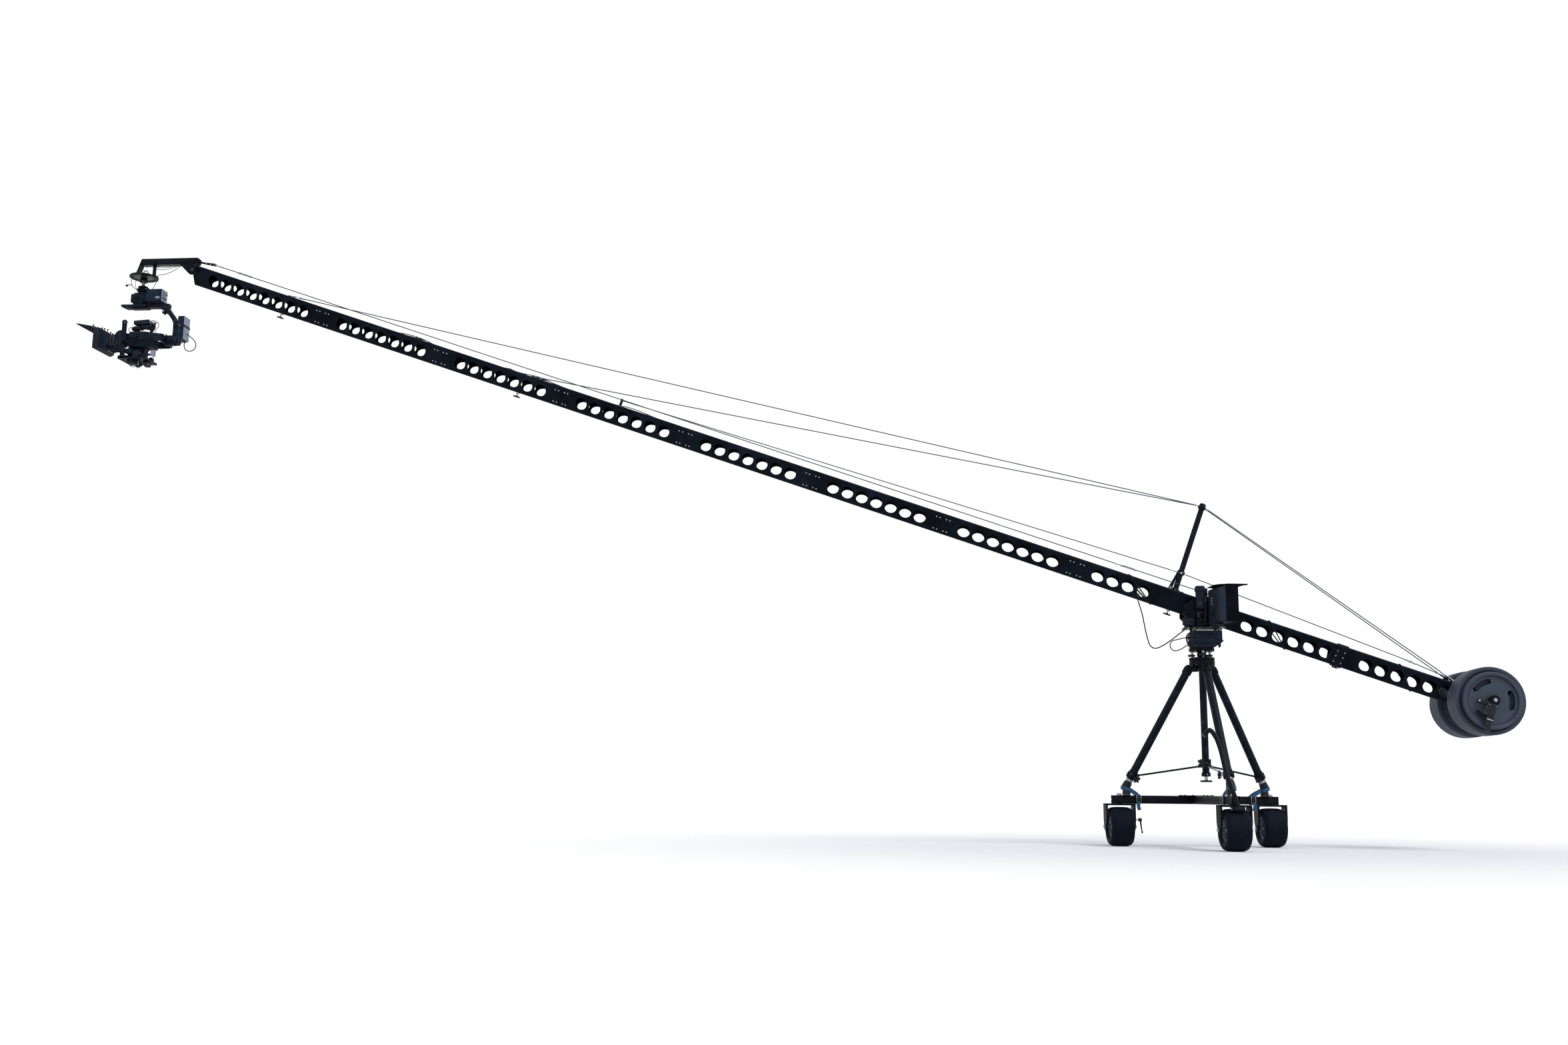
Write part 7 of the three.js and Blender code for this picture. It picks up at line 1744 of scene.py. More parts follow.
# slanted front plate, folded at both ends, and the square post behind it
front = [(-410, 106), (-414.6, 106), (-452, -4), (-452, -9.7), (-424, -9.7), (-424, -5), (-445, -3)]
plate(bm, front, -30, 30, edge=0.8, finish=0)
for y in (-20, 20):
    cap_screw(bm, (-431, y, -5), (0, 0, 1), 4.0, 2)
block(bm, (-334.7, -10, -9.7), (-316, 10, 71), 1.2, 0)
block(bm, (-340, -30, -9.7), (-307, 30, -5), 1.0, 0)
for y in (-19, 0, 19):
    cap_screw(bm, (-318, y, -5), (0, 0, 1), 4.0, 2)
# safety eye of bent bar
hook = [(-414, 12, -9), (-414, 12, 14), (-409, 12, 31), (-396, 12, 38), (-384, 12, 32), (-378, 12, 14),
        (-378, 12, -9)]
sweep(bm, smooth_line(hook, 4), 3.6, 16, 3)
piece("levelling_arm_and_lever", bm, "head_arm", [anodised_tube, milled_plate, black_screws, cast_aluminium,
                                                  zinc_steel], HEAD, ["level_arm"])

# Damper: a turned plate with an olive anodised face beneath, and a wire rope isolator that carries the
# head's pan drive: eight crossed wires of bright steel rope between two clamp rings.

# Aluminium, hard anodised: dull olive with a brassy tone, fine turning lines round its middle
olive_anodised = look("aluminium_hard_anodised_olive", ("383b2e", "66654a"), (0.36, 0.52), noise(30.0, 6.0),
                      grain=noise(700.0), relief=(0.1, 0.0002), metal=0.4, gloss=0.2)

DAMPER = Matrix.Translation((-400, 0, 0))
bm = bmesh.new()
turned(bm, [(0, -18), (66, -18), (66.6, -22.4), (68, -23), (95.6, -23), (98, -21), (98, -12.4), (95.6, -10),
            (0, -10)], sides=72)
turned(bm, [(24, -20.4), (65.8, -20.4), (65.8, -17), (24, -17)], sides=64, finish=1)
turned(bm, [(0, -17), (23, -17), (23, -38), (27, -41), (33, -41), (34, -42), (34, -48.2), (33, -49.2),
            (0, -49.2)], sides=40)
for k in range(8):
    turn = math.radians(45 * k + 12)
    way = Vector((math.cos(turn), math.sin(turn), 0))
    cap_screw(bm, way * 82 + Vector((0, 0, -23)), (0, 0, -1), 3.6, 2)
    cap_screw(bm, way * 97.6 + Vector((0, 0, -16.5)), way, 3.0, 2)
    cap_screw(bm, way * 29 + Vector((0, 0, -49.2)), (0, 0, -1), 2.2, 2)
    # one wire of the isolator, from the upper ring across to the lower one, slightly bowed
    far = Vector((math.cos(turn + 2.4), math.sin(turn + 2.4), 0))
    sweep(bm, smooth_line([way * 25 + Vector((0, 0, -48)), way * 19 + far * 4 + Vector((0, 0, -58)),
                           far * 10 + way * 6 + Vector((0, 0, -74)), far * 25 + Vector((0, 0, -90))], 4),
          1.7, 10, 3)
for side in (-1, 1):
    block(bm, (side * 89 - 7, -9, -10), (side * 89 + 7, 9, -4.6), 1.0, 2)
    rod(bm, (side * 89, 0, -4.6), (side * 89, 0, -0.6), 4, 6, 2, 0.6)
# pan drive: lower clamp ring, finned motor and its connectors
turned(bm, [(0, -88), (33, -88), (34, -89), (34, -95), (30, -97), (28, -98), (28, -101), (35, -103),
            (36, -107), (32, -108), (32, -111), (36, -112), (36, -116), (32, -117), (32, -120), (36, -121),
            (36, -125), (30, -127), (29, -139), (0, -139)], sides=48)
for turn in (10, 130, 250):
    here = spun(turn)
    moved(bm, here, block, (26, -8, -137), (44, 8, -108), 2.0)
    moved(bm, here, block, (30, 9, -104), (38, 20, -92), 1.4)
for turn in (200, 320, 80):
    way = Vector((math.cos(math.radians(turn)), math.sin(math.radians(turn)), 0))
    rod(bm, way * 29 + Vector((0, 0, -114)), way * 42 + Vector((0, 0, -112)), 4.6, 16, 0, 0.6)
    rod(bm, way * 42 + Vector((0, 0, -112)), way * 50 + Vector((0, 0, -109)), 3.4, 14, 2, 0.8)
bmesh.ops.transform(bm, matrix=DAMPER, verts=bm.verts)
piece("damper_plate_and_rope_isolator", bm, "head_arm",
      [powder_coat, olive_anodised, zinc_steel, wire_strand], HEAD, ["damping_disk"])

bm = bmesh.new()
routes = [
    ([(-436, -20, -112), (-456, -26, -100), (-478, -22, -70), (-486, -10, -38), (-482, 2, -8),
      (-462, 6, 10), (-440, 4, 30), (-424, 4, 60)], 2.0),
    ([(-434, 14, -108), (-462, 18, -88), (-470, 14, -56), (-458, 8, -26)], 1.6),
    ([(-366, 20, -108), (-342, 26, -92), (-324, 24, -60), (-306, 18, -30), (-304, 10, -12)], 1.8),
    ([(-304, 8, -6), (-280, 4, 2), (-240, 0, 6), (-200, -10, 14), (-158, -24, 28), (-120, -36, 46),
      (-100, -40, 58)], 1.9),
    ([(-316, -30, 40), (-284, -32, 30), (-240, -33, 28), (-196, -34, 34), (-150, -36, 44),
      (-112, -40, 58)], 1.9),
    ([(-316, -30, 52), (-276, -32, 44), (-230, -33, 42), (-180, -34, 48), (-130, -36, 58)], 1.5),
    ([(-470, -34, -84), (-486, -36, -80), (-498, -36, -86)], 2.6),
]
for route, radius in routes:
    sweep(bm, smooth_line(route, 5), radius, 10)
block(bm, (-512, -42, -92), (-496, -30, -80), 1.6)
piece("head_feed_cables", bm, "head_arm", [pvc_jacket], HEAD, ())

# Top of the three-axis gimbal: the pan housing under the isolator, the sliding top bar with its lock
# knob, and the bent roll arm with the roll motor at its foot. Cast and machined aluminium, anodised
# black.

# Gimbal castings: fine matt black anodising over cast aluminium, greyer where hands hold it
gimbal_black = look("aluminium_cast_matt_black", ("0c141e", "28364a"), (0.42, 0.6), noise(34.0, 7.0, 0.65),
                    wear=(0.46, 0.78), grain=noise(1200.0), relief=(0.2, 0.0003), metal=0.25, gloss=0.08)

# Anodised trim: a thin line of dull dark red that only just shows
red_trim = look("aluminium_anodised_dull_red", ("3b1116", "7c2a2c"), (0.35, 0.5), noise(60.0, 4.0),
                metal=0.6)


def slat(bm, line, wide_way, wide, thick, corner=3.0, finish=0):
    """Adds a bar of rounded rectangular section along a line of points."""
    line = [Vector(p) for p in line]
    section = []
    for a, b, start in ((1, 1, 0), (-1, 1, 90), (-1, -1, 180), (1, -1, 270)):
        section += arc(a * (wide / 2 - corner), b * (thick / 2 - corner), corner, start, start + 90, 4)
    rows = []
    for i, p in enumerate(line):
        ahead = (line[min(i + 1, len(line) - 1)] - line[max(i - 1, 0)]).normalized()
        across = Vector(wide_way)
        across = (across - ahead * across.dot(ahead)).normalized()
        up = ahead.cross(across)
        rows.append([p + across * a + up * b for a, b in section])
    loft(bm, rows, finish)


def motor(bm, foot, axis, radius, length, rings, sides=48, finish=0):
    """Adds a flat round motor: a turned body with grooves round it and a dished cap."""
    profile = [(0, 0), (radius - 1.4, 0), (radius, 1.4)]
    for height in rings:
        profile += [(radius, height - 1.4), (radius - 1.6, height - 0.8), (radius - 1.6, height + 0.8),
                    (radius, height + 1.4)]
    profile += [(radius, length - 2), (radius - 2, length), (radius * 0.62, length),
                (radius * 0.58, length - 1.6), (radius * 0.2, length - 1.6), (0, length - 1.6)]
    turned(bm, profile, foot, axis, sides, finish)


bm = bmesh.new()
block(bm, (-466, -44, -214), (-346, 44, -149), 9)
block(bm, (-468.8, -30, -206), (-343.8, 30, -158), 3)
block(bm, (-446, -36, -150), (-366, 36, -139.6), 3.5)
turned(bm, [(0, -214.6), (38, -214.6), (38, -218), (34, -221.2), (0, -221.2)], (-400, 0, 0), (0, 0, 1), 40)
for side in (-1, 1):
    y = 44 * side
    block(bm, (-452, y - side, -204), (-362, y + side, -160), 0.9)
    for i in range(6):
        x = -444 + i * 8
        block(bm, (x, y, -196), (x + 3.4, y + side * 1.9, -170), 0.7)
    for x in (-456, -356):
        for z in (-206, -157):
            cap_screw(bm, (x, y, z), (0, side, 0), 3.0, 1)
    turned(bm, [(4, 0), (7.4, 0), (7.4, 3.4), (6.4, 4.2), (4.6, 4.2), (4, 3)], (-378, y + side, -182),
           (0, side, 0), 24, 1)
    turned(bm, [(0, 0), (4, 0), (4, 1.4), (0, 1.4)], (-378, y + side, -182), (0, side, 0), 20, 0)
bar = [(-544, -221.5), (-544, -235), (-508, -252), (-470, -252), (-463, -256.2), (-345, -256.2),
       (-338, -249.6), (-188, -249.6), (-188, -221.5)]
plate(bm, bar, -22, 22, [(-520, -232, 3.2), (-486, -238, 3.2)], edge=1.6)
block(bm, (-452, -33, -245), (-348, 33, -221.6), 3.0)
block(bm, (-336, -22.7, -247.4), (-192, -21.8, -245.2), 0.2, 2)
block(bm, (-336, 21.8, -247.4), (-192, 22.7, -245.2), 0.2, 2)
turned(bm, [(0, 0), (6.4, 0), (6.4, 1.2), (5.4, 2), (0, 2)], (-503, -22, -238), (0, -1, 0), 28, 1)
for x in (-440, -424, -376, -360):
    cap_screw(bm, (x, -33, -233), (0, -1, 0), 2.6, 1)
    cap_screw(bm, (x, -12, -256.2), (0, 0, -1), 2.6, 1)
for i in range(7):
    block(bm, (-328 + i * 12, -22.4, -236), (-326.6 + i * 12, -21.6, -230), 0.2, 1)
# clamp and star knob that lock the slide
block(bm, (-246, -27, -262), (-200, 27, -221.6), 3.0)
rod(bm, (-222, 0, -262), (-222, 0, -275), 7, 20, 1, 0.8)
star(bm, (-222, 0, -289), (0, 0, 1), 21, 15, 6, 3)
rod(bm, (-222, 0, -289), (-222, 0, -297), 8, 20, 3, 1.4)
block(bm, (-214, -31, -258), (-196, -26, -238), 1.2, 3)
for side in (-1, 1):
    for x in (-238, -208):
        cap_screw(bm, (x, side * 27, -232), (0, side, 0), 3, 1)
# height of the roll and tilt axes below the nose pin, and how far in front of it the tilt axis lies
AXIS_Z, AXIS_X = -490, -464
# bent roll arm, and the motor at its foot with the block that carries the battery
path = smooth_line([(-222, 0, -233), (-208, 0, -252), (-186, 0, -281), (-163, 0, -311), (-144, 0, -337),
                    (-134, 0, -362), (-131, 0, -392), (-131, 0, -430), (-131, 0, -486)], 8)
slat(bm, path, (0, 1, 0), 46, 27, 6)
slat(bm, path[3:-4], (0, 1, 0), 30, 29, 2)
for i in (6, 14, 22):
    for side in (-1, 1):
        cap_screw(bm, path[i] + Vector((0, side * 23, 0)), (0, side, 0), 2.8, 1)
motor(bm, (-101, 0, AXIS_Z), (-1, 0, 0), 38, 78, (20, 30, 52, 62))
for k in range(8):
    turn = math.radians(45 * k + 20)
    rod(bm, (-146, 36 * math.cos(turn), AXIS_Z + 36 * math.sin(turn)),
        (-128, 36 * math.cos(turn), AXIS_Z + 36 * math.sin(turn)), 3.6, 12, 0, 0.8)
block(bm, (-118, -23, -488), (-101.2, 23, -352), 2.4)
block(bm, (-118, -30, -470), (-101.2, 30, -440), 2.0)
for z in (-366, -400, -434):
    cap_screw(bm, (-124, -14, z), (-1, 0, 0), 3, 1)
for z in (-380, -420):
    rod(bm, (-112, -23, z), (-112, -30, z), 5.4, 18, 1, 0.8)
    rod(bm, (-112, -30, z), (-112, -34, z), 7.4, 20, 3, 1.0)
piece("gimbal_top_and_roll_arm", bm, "gimbal", [gimbal_black, black_screws, red_trim, phenolic], HEAD,
      ["gimbal_top"])

# Receiver: a folded sheet box behind the pan housing, dark on its long sides, with a vented end plate towards
# the boom, its pale colour painted light for the face lit from the right.

bm = bmesh.new()
block(bm, (-343.5, -56, -212.3), (-229.5, 24, -122.3), 2.6)
# the end plate, towards +X: its pale colour is painted light, for the face lit from the right
block(bm, (-229.8, -55.4, -211.6), (-226.2, 23.4, -123), 1.2, 1)
block(bm, (-337, -56.9, -206), (-236, -55.6, -129), 0.5)
block(bm, (-337, 23.6, -206), (-236, 24.9, -129), 0.5)
for x in (-332, -241):
    for z in (-201, -134):
        cap_screw(bm, (x, -56.8, z), (0, -1, 0), 2.4, 2)
        cap_screw(bm, (x, 24.8, z), (0, 1, 0), 2.4, 2)
# blank name field, and the row of slots and sockets on the end plate
block(bm, (-273, -57.5, -193), (-243, -56.6, -178), 0.3, 1)
for i in range(7):
    z = -136 - i * 5.4
    block(bm, (-226.6, -44, z - 2.6), (-225.7, -6, z), 0.4, 3)
for y, z in ((-42, -186), (-22, -186), (-2, -186), (12, -150)):
    turned(bm, [(3.6, 0), (6.2, 0), (6.2, 2.8), (5.4, 3.6), (4.2, 3.6), (3.6, 2.4)], (-226.4, y, z),
           (1, 0, 0), 22, 2)
    turned(bm, [(0, 0), (3.6, 0), (3.6, 1), (0, 1)], (-226.4, y, z), (1, 0, 0), 18, 3)
for y in (-50, 18):
    for z in (-206, -128):
        cap_screw(bm, (-226.3, y, z), (1, 0, 0), 2.2, 2)
block(bm, (-336, -40, -221.4), (-240, 10, -212), 1.2, 3)
piece("receiver_sheet_box", bm, "gimbal", [texture_paint, pale_sheet_and_lit_faces, black_screws, phenolic], HEAD,
      ["receiver_box"])

# Head battery: an upright aluminium case with a dark front and a cover, its side plate towards +X pale as
# painted light for the face lit from the right, strapped by a rubber band, and small connectors hanging
# beneath.

bm = bmesh.new()
block(bm, (-98.6, -43.4, -493.4), (-53.4, 43.4, -322.6), 3.2)
# the side plate towards +X: its pale colour is painted light, for the face lit from the right
block(bm, (-54.4, -41.6, -491), (-50.7, 41.6, -325), 1.6, 1)
block(bm, (-100.7, -40, -488), (-96, 40, -328), 1.2)
for z in (-333, -374, -414, -482):
    block(bm, (-96, -44, z - 0.9), (-56, -43, z), 0.3)
for y in (-36, 36):
    for z in (-484, -331):
        cap_screw(bm, (-50.9, y, z), (1, 0, 0), 2.4, 2)
block(bm, (-95, -38, -322.8), (-57, 38, -320.4), 1.0, 3)
for y in (-30, 30):
    for x in (-88, -63):
        cap_screw(bm, (x, y, -493.2), (0, 0, -1), 2.4, 2)
for x, y, long in ((-90, -26, 13), (-80, -8, 17), (-66, -30, 9), (-62, 14, 14), (-84, 20, 12)):
    rod(bm, (x, y, -493), (x, y, -493 - long * 0.55), 4.2, 16, 2, 0.8)
    rod(bm, (x, y, -493 - long * 0.5), (x + 1, y, -493 - long), 3.0, 14, 3, 1.0)
# the band: 3 mm rubber round all four sides, with its buckle at the near side
loop = []
for cx, cy, start in ((-52.6, 42, 0), (-95.4, 42, 90), (-95.4, -42, 180), (-52.6, -42, 270)):
    loop += [(x, y, -394) for x, y in arc(cx, cy, 3.4, start, start + 90, 4)]
webbing(bm, loop, (0, 0, 1), 16, 3.0, 3, closed=True)
block(bm, (-86, -48.6, -402), (-66, -45.2, -386), 1.2, 3)
block(bm, (-83, -49.4, -400), (-79, -47, -388), 0.8, 2)
piece("head_battery_case_and_band", bm, "gimbal", [texture_paint, pale_sheet_and_lit_faces, zinc_steel, phenolic], HEAD,
      ["head_battery"])

# Roll frame: a forged yoke that turns on the roll motor, its two arms curving forwards round the camera,
# with the tilt motor on the near arm and a plain bearing on the far one.

bm = bmesh.new()
motor(bm, (-180, 0, AXIS_Z), (-1, 0, 0), 38, 20.3, (8,))
plan = [(-464, -107), (-430, -107), (-380, -107.4), (-320, -107.6), (-262, -107.4), (-232, -106),
        (-210, -98), (-197, -82), (-193.4, -60), (-193.3, -30), (-193.3, 0)]
near = smooth_line([(x, y, AXIS_Z) for x, y in plan], 8)
slat(bm, near + [Vector((p.x, -p.y, p.z)) for p in near[-2::-1]], (0, 0, 1), 52, 13.6, 3.6)
for side in (-1, 1):
    # thicker web of the arm where the real one is deepest, and the boss of the tilt axle
    web = [p for p in smooth_line([(x, (y - 1.8) * -side, AXIS_Z) for x, y in plan], 8) if -330 < p.x < -214]
    slat(bm, web, (0, 0, 1), 40, 14.4, 4)
    turned(bm, [(8.3, 0), (24, 0), (26, 2), (26, 12.5), (24, 14), (8.3, 14)], (AXIS_X, side * 100, AXIS_Z),
           (0, side, 0), 40)
    for x in (-440, -412):
        for z in (-506, -474):
            cap_screw(bm, (x, side * 114, z), (0, side, 0), 2.6, 1)
turned(bm, [(8.3, 0), (20, 0), (20, 8), (18, 10), (8.3, 10)], (AXIS_X, 113.6, AXIS_Z), (0, 1, 0), 32)
turned(bm, [(0, 10), (9, 10), (9, 12), (0, 12)], (AXIS_X, 113.6, AXIS_Z), (0, 1, 0), 24, 1)
turned(bm, [(8.3, 0), (40.6, 0), (42, 1.4), (42, 6), (40.4, 6.8), (40.4, 8.4), (42, 9.2), (42, 18),
            (40.4, 18.8), (40.4, 20.4), (42, 21.2), (42, 25), (39.6, 27.4), (27, 28), (25.6, 26.6),
            (9, 26.6), (8.3, 26)], (AXIS_X, -112, AXIS_Z), (0, -1, 0), 56)
turned(bm, [(0, 26.4), (5.6, 26.4), (5.6, 27.6), (0, 27.6)], (AXIS_X, -112, AXIS_Z), (0, -1, 0), 24, 1)
for k in range(6):
    turn = math.radians(60 * k + 15)
    cap_screw(bm, (AXIS_X + 33.4 * math.cos(turn), -139.6, AXIS_Z + 33.4 * math.sin(turn)), (0, -1, 0), 2.4,
              1)
slat(bm, smooth_line([(-424, -117, AXIS_Z), (-400, -117, -489), (-372, -116.6, -488), (-350, -115, -487)],
                     6), (0, 0, 1), 26, 8, 3)
cable = [(-192, -26, -466), (-178, -30, -456), (-160, -32, -446), (-150, -30, -428)]
sweep(bm, smooth_line(cable[:2] + [(-186, -40, -460), (-204, -60, -456), (-214, -84, -462)], 5), 2.2, 12, 2)
piece("roll_yoke_and_tilt_motor", bm, "roll", [gimbal_black, black_screws, pvc_jacket], HEAD,
      ["roll_frame"])

# Camera cradle: two upright bars on the tilt pins, a drilled floor plate between them, a riser block and
# a pair of short rods, all machined from aluminium bar and held by screws, with clips and cables slung
# beneath.

bm = bmesh.new()
POST = [(-478, -641.6), (-446, -641.6), (-447, -600), (-450, -520), (-447, -505),
        *arc(AXIS_X, AXIS_Z, 20, -40, 40, 4), (-448, -470), (-448, -380),
        *arc(-464, -378, 19.4, 0, 180, 14), (-480, -380), (-480, -470),
        *arc(AXIS_X, AXIS_Z, 20, 140, 220, 4), (-481, -505), (-481, -600)]
for side in (-1, 1):
    y0 = 87.4 if side > 0 else -99
    plate(bm, POST, y0, y0 + 11.6, [(-464, -378, 5)], edge=1.6)
    turned(bm, [(0, 86.4), (8.1, 86.4), (8.1, 111.6), (7.2, 112.4), (0, 112.4)], (AXIS_X, 0, AXIS_Z),
           (0, side, 0), 28, 1)
    turned(bm, [(5, 98.6), (15, 98.6), (16, 99.4), (16, 100), (5, 100)], (-464, 0, -378), (0, side, 0), 32)
    for z in (-410, -434, -546, -572, -598):
        cap_screw(bm, (-464, side * 97, z), (0, side, 0), 2.6, 1)
    for i in range(8):
        # marks of a scale, softened on the far bar and sharp on the near one
        edge = 0.2 if side > 0 else 0
        block(bm, (-455, side * 98.6, -620 + i * 9), (-449.6, side * 99.6, -618.8 + i * 9), edge, 1)
FLOOR = [(-498, -92), (-491, -99), (-306, -99), (-299, -92), (-299, 92), (-306, 99), (-491, 99), (-498, 92)]
moved(bm, on_deck, plate, FLOOR, -641.8, -630.2, [(-360, -62, 17), (-360, 62, 17), (-420, -62, 17),
                                                  (-420, 62, 17), (-330, 0, 14), (-478, 0, 8)], edge=1.0)
for x in (-488, -310):
    for y in (-86, 86):
        cap_screw(bm, (x, y, -641.8), (0, 0, -1), 3.6, 1)
plate(bm, [(-464, -630.4), (-332, -630.4), (-338, -600), (-338, -566), (-332, -546.4), (-464, -546.4),
           (-458, -566), (-458, -600)], -29, 29, [(-380, -590, 12), (-416, -590, 12)], edge=1.4)
for x in (-452, -398, -344):
    cap_screw(bm, (x, -29, -554), (0, -1, 0), 3.0, 1)
for y in (-46, 46):
    rod(bm, (-520, y, -612), (-310, y, -612), 7.4, 24, 2, 1.2)
    for x in (-484, -322):
        block(bm, (x - 9, y - 13, -631), (x + 9, y + 13, -600), 2.0)
        rod(bm, (x, y + math.copysign(13, y), -612), (x, y + math.copysign(24, y), -612), 4, 14, 1, 0.6)
        star(bm, (x, y + math.copysign(22, y), -612), (0, math.copysign(1, y), 0), 11, 8, 5, 3)
piece("camera_cradle_posts_and_floor", bm, "camera", [gimbal_black, black_screws, anodised_tube, phenolic],
      HEAD, ["camera_cage"])

bm = bmesh.new()
# a follow-focus motor, transmitter, small battery and clamps under the floor and beside the riser
block(bm, (-452, -84, -600), (-404, -40, -566), 3.0)
motor(bm, (-428, -84, -583), (0, -1, 0), 13, 12, (5,), 28)
block(bm, (-392, -88, -628), (-346, -50, -580), 2.6, 1)
block(bm, (-388, -89.4, -622), (-350, -87.6, -588), 0.8)
block(bm, (-446, -60, -668), (-386, -8, -642.4), 2.6)
block(bm, (-438, -62, -662), (-396, -59.6, -648), 0.8, 1)
rod(bm, (-372, -36, -642), (-372, -36, -676), 6, 18, 2, 0.8)
turned(bm, [(0, 0), (14, 0), (15, 1.4), (15, 9), (13, 11), (0, 11)], (-372, -36, -680), (0, 0, -1), 30)
rod(bm, (-372, -36, -690), (-368, -36, -700), 3.4, 12, 2, 0.8)
block(bm, (-342, -30, -664), (-310, 16, -642.2), 2.2, 1)
rod(bm, (-326, -8, -664), (-326, -8, -674), 8.5, 20, 1, 1.0)
star(bm, (-400, -70, -650), (0, -1, 0), 12, 9, 5, 1)
rod(bm, (-420, -99, -560), (-420, -70, -560), 4, 14, 2, 0.6)
block(bm, (-268, -72, -618), (-244, -40, -578), 1.8, 3)
block(bm, (-300, -64, -612), (-266, -48, -600), 1.2)
for x, y in ((-404, 20), (-350, 44)):
    block(bm, (x - 20, y, -664), (x + 16, y + 30, -642.2), 2.2)
routes = [
    [(-404, -62, -586), (-388, -70, -604), (-366, -62, -640), (-340, -52, -668), (-318, -34, -672),
     (-306, -16, -652)],
    [(-440, -40, -668), (-424, -30, -684), (-398, -34, -688), (-380, -44, -672), (-384, -56, -646)],
    [(-346, -70, -600), (-322, -78, -612), (-300, -66, -600), (-290, -50, -574), (-286, -40, -548)],
    [(-452, -62, -582), (-476, -72, -596), (-492, -66, -618), (-480, -60, -640), (-456, -54, -652)],
    [(-330, 10, -650), (-306, 20, -640), (-290, 20, -600), (-284, 10, -560)],
]
for route in routes:
    sweep(bm, smooth_line(route, 4), 1.9, 10, 4)
piece("slung_motor_transmitter_and_leads", bm, "camera",
      [abs_plastic, phenolic, zinc_steel, pale_sheet_and_lit_faces, pvc_jacket], HEAD, ())

# Camera: a moulded and cast body with vents, sockets and buttons, a top handle with a slanted viewing
# screen, and a long lens whose focus, zoom and iris rings are ribbed rubber between bare bands.

# Lens band: anodised aluminium, brownish grey, satin, with faint turning marks
lens_band = look("aluminium_anodised_brown_grey", ("2d333c", "50565e"), (0.34, 0.5), noise(40.0, 6.0),
                 metal=0.35, gloss=0.15)

bm = bmesh.new()
BODY = [(-446.7, -546), (-281.7, -546), (-281.7, -470), (-287, -448), (-296, -440), (-330, -434.4),
        (-440, -434.4), (-446.7, -442)]
plate(bm, BODY, -57, 57, edge=3.6)
for side in (-1, 1):
    y = 57 * side
    block(bm, (-436, y, -536), (-352, y + side, -452), 0.8)
    block(bm, (-344, y, -530), (-292, y + side, -462), 0.8)
    for i in range(8):
        block(bm, (-338 + i * 5.6, y, -522), (-335.4 + i * 5.6, y + side * 1.9, -492), 0.6)
    for x, z, radius in ((-420, -466, 3.4), (-404, -466, 3.4), (-388, -466, 3.4), (-372, -466, 5.2),
                         (-420, -488, 2.6), (-404, -488, 2.6)):
        turned(bm, [(0, 0), (radius, 0), (radius, 1.4), (radius - 0.7, 2), (0, 2)], (x, y + side * 0.8, z),
               (0, side, 0), 20, 1)
    turned(bm, [(0, 0), (11, 0), (12, 1), (12, 5), (11, 6), (0, 6)], (-392, y + side * 0.6, -516),
           (0, side, 0), 36, 1)
    for x in (-438, -288):
        cap_screw(bm, (x, y, -540), (0, side, 0), 2.4, 2)
block(bm, (-283, -44, -532), (-277, 44, -452), 2.0)
for y in (-26, 0, 26):
    turned(bm, [(4, 0), (7, 0), (7, 3), (4, 3)], (-277.4, y, -518), (1, 0, 0), 20, 2)
block(bm, (-277.6, -34, -500), (-268, 34, -462), 3.0, 1)
# handle: two posts, a grip bar, a rail of holes, and the viewing screen on its arm
for x0, x1 in ((-434.7, -422.7), (-317.7, -305.7)):
    block(bm, (x0, -12, -436), (x1, 12, -404), 2.0)
slat(bm, smooth_line([(-452, 0, -402), (-426, 0, -394), (-380, 0, -391), (-330, 0, -392), (-296, 0, -400)],
                     8), (0, 1, 0), 34, 24, 7)
block(bm, (-428, -30, -408), (-384, 26, -386), 3.0, 1)
block(bm, (-352, -26, -404), (-322, 22, -378), 3.0)
rod(bm, (-372, -18, -396), (-372, -18, -372), 5.5, 18, 2, 0.8)
screen = Matrix.Translation((-374, -4, -357)) @ spun(-4, "Y")
moved(bm, screen, block, (-56, -34, -15), (56, 34, 13), 3.4, 0)
moved(bm, screen, block, (-52, -31, -18), (50, 31, -14.6), 1.6, 3)
moved(bm, screen, block, (55.4, -26, -11), (58.4, 26, 10), 1.0, 4)
moved(bm, screen, block, (-50, -35.4, -9), (44, -33.6, 6), 0.8, 1)
for x in (-40, 36):
    moved(bm, screen, rod, (x, -34, -2), (x, -37, -2), 2.4, 14, 2, 0.5)
# small things behind the screen: microphone, sockets and their leads
rod(bm, (-316, -16, -372), (-276, -24, -386), 6.6, 20, 1, 1.4)
rod(bm, (-312, 12, -360), (-284, 16, -352), 4.4, 16, 1, 1.0)
block(bm, (-312, -20, -398), (-290, 16, -364), 2.4)
rod(bm, (-300, -20, -380), (-300, -30, -378), 5, 16, 2, 0.8)
rod(bm, (-300, -29, -378), (-300, -34, -378), 8, 20, 1, 1.0)
block(bm, (-300, -10, -384), (-284, 6, -372), 1.4, 4)
routes = [
    [(-314, -16, -352), (-296, -22, -344), (-278, -26, -356), (-272, -28, -378), (-276, -28, -400),
     (-286, -24, -424), (-290, -20, -440)],
    [(-316, 10, -350), (-292, 14, -340), (-270, 12, -356), (-266, 4, -384), (-276, -4, -410),
     (-284, -6, -440)],
    [(-440, -20, -404), (-452, -32, -398), (-456, -44, -414), (-446, -52, -436), (-436, -56, -446)],
    [(-430, 14, -390), (-446, 20, -380), (-456, 12, -394), (-450, 2, -414), (-446, 0, -436)],
]
for route in routes:
    sweep(bm, smooth_line(route, 4), 2.0, 10, 5)
piece("camera_body_and_handle", bm, "camera", [abs_plastic, phenolic, black_screws, screen_glass,
                                               pale_sheet_and_lit_faces, pvc_jacket], HEAD, ["camera"])

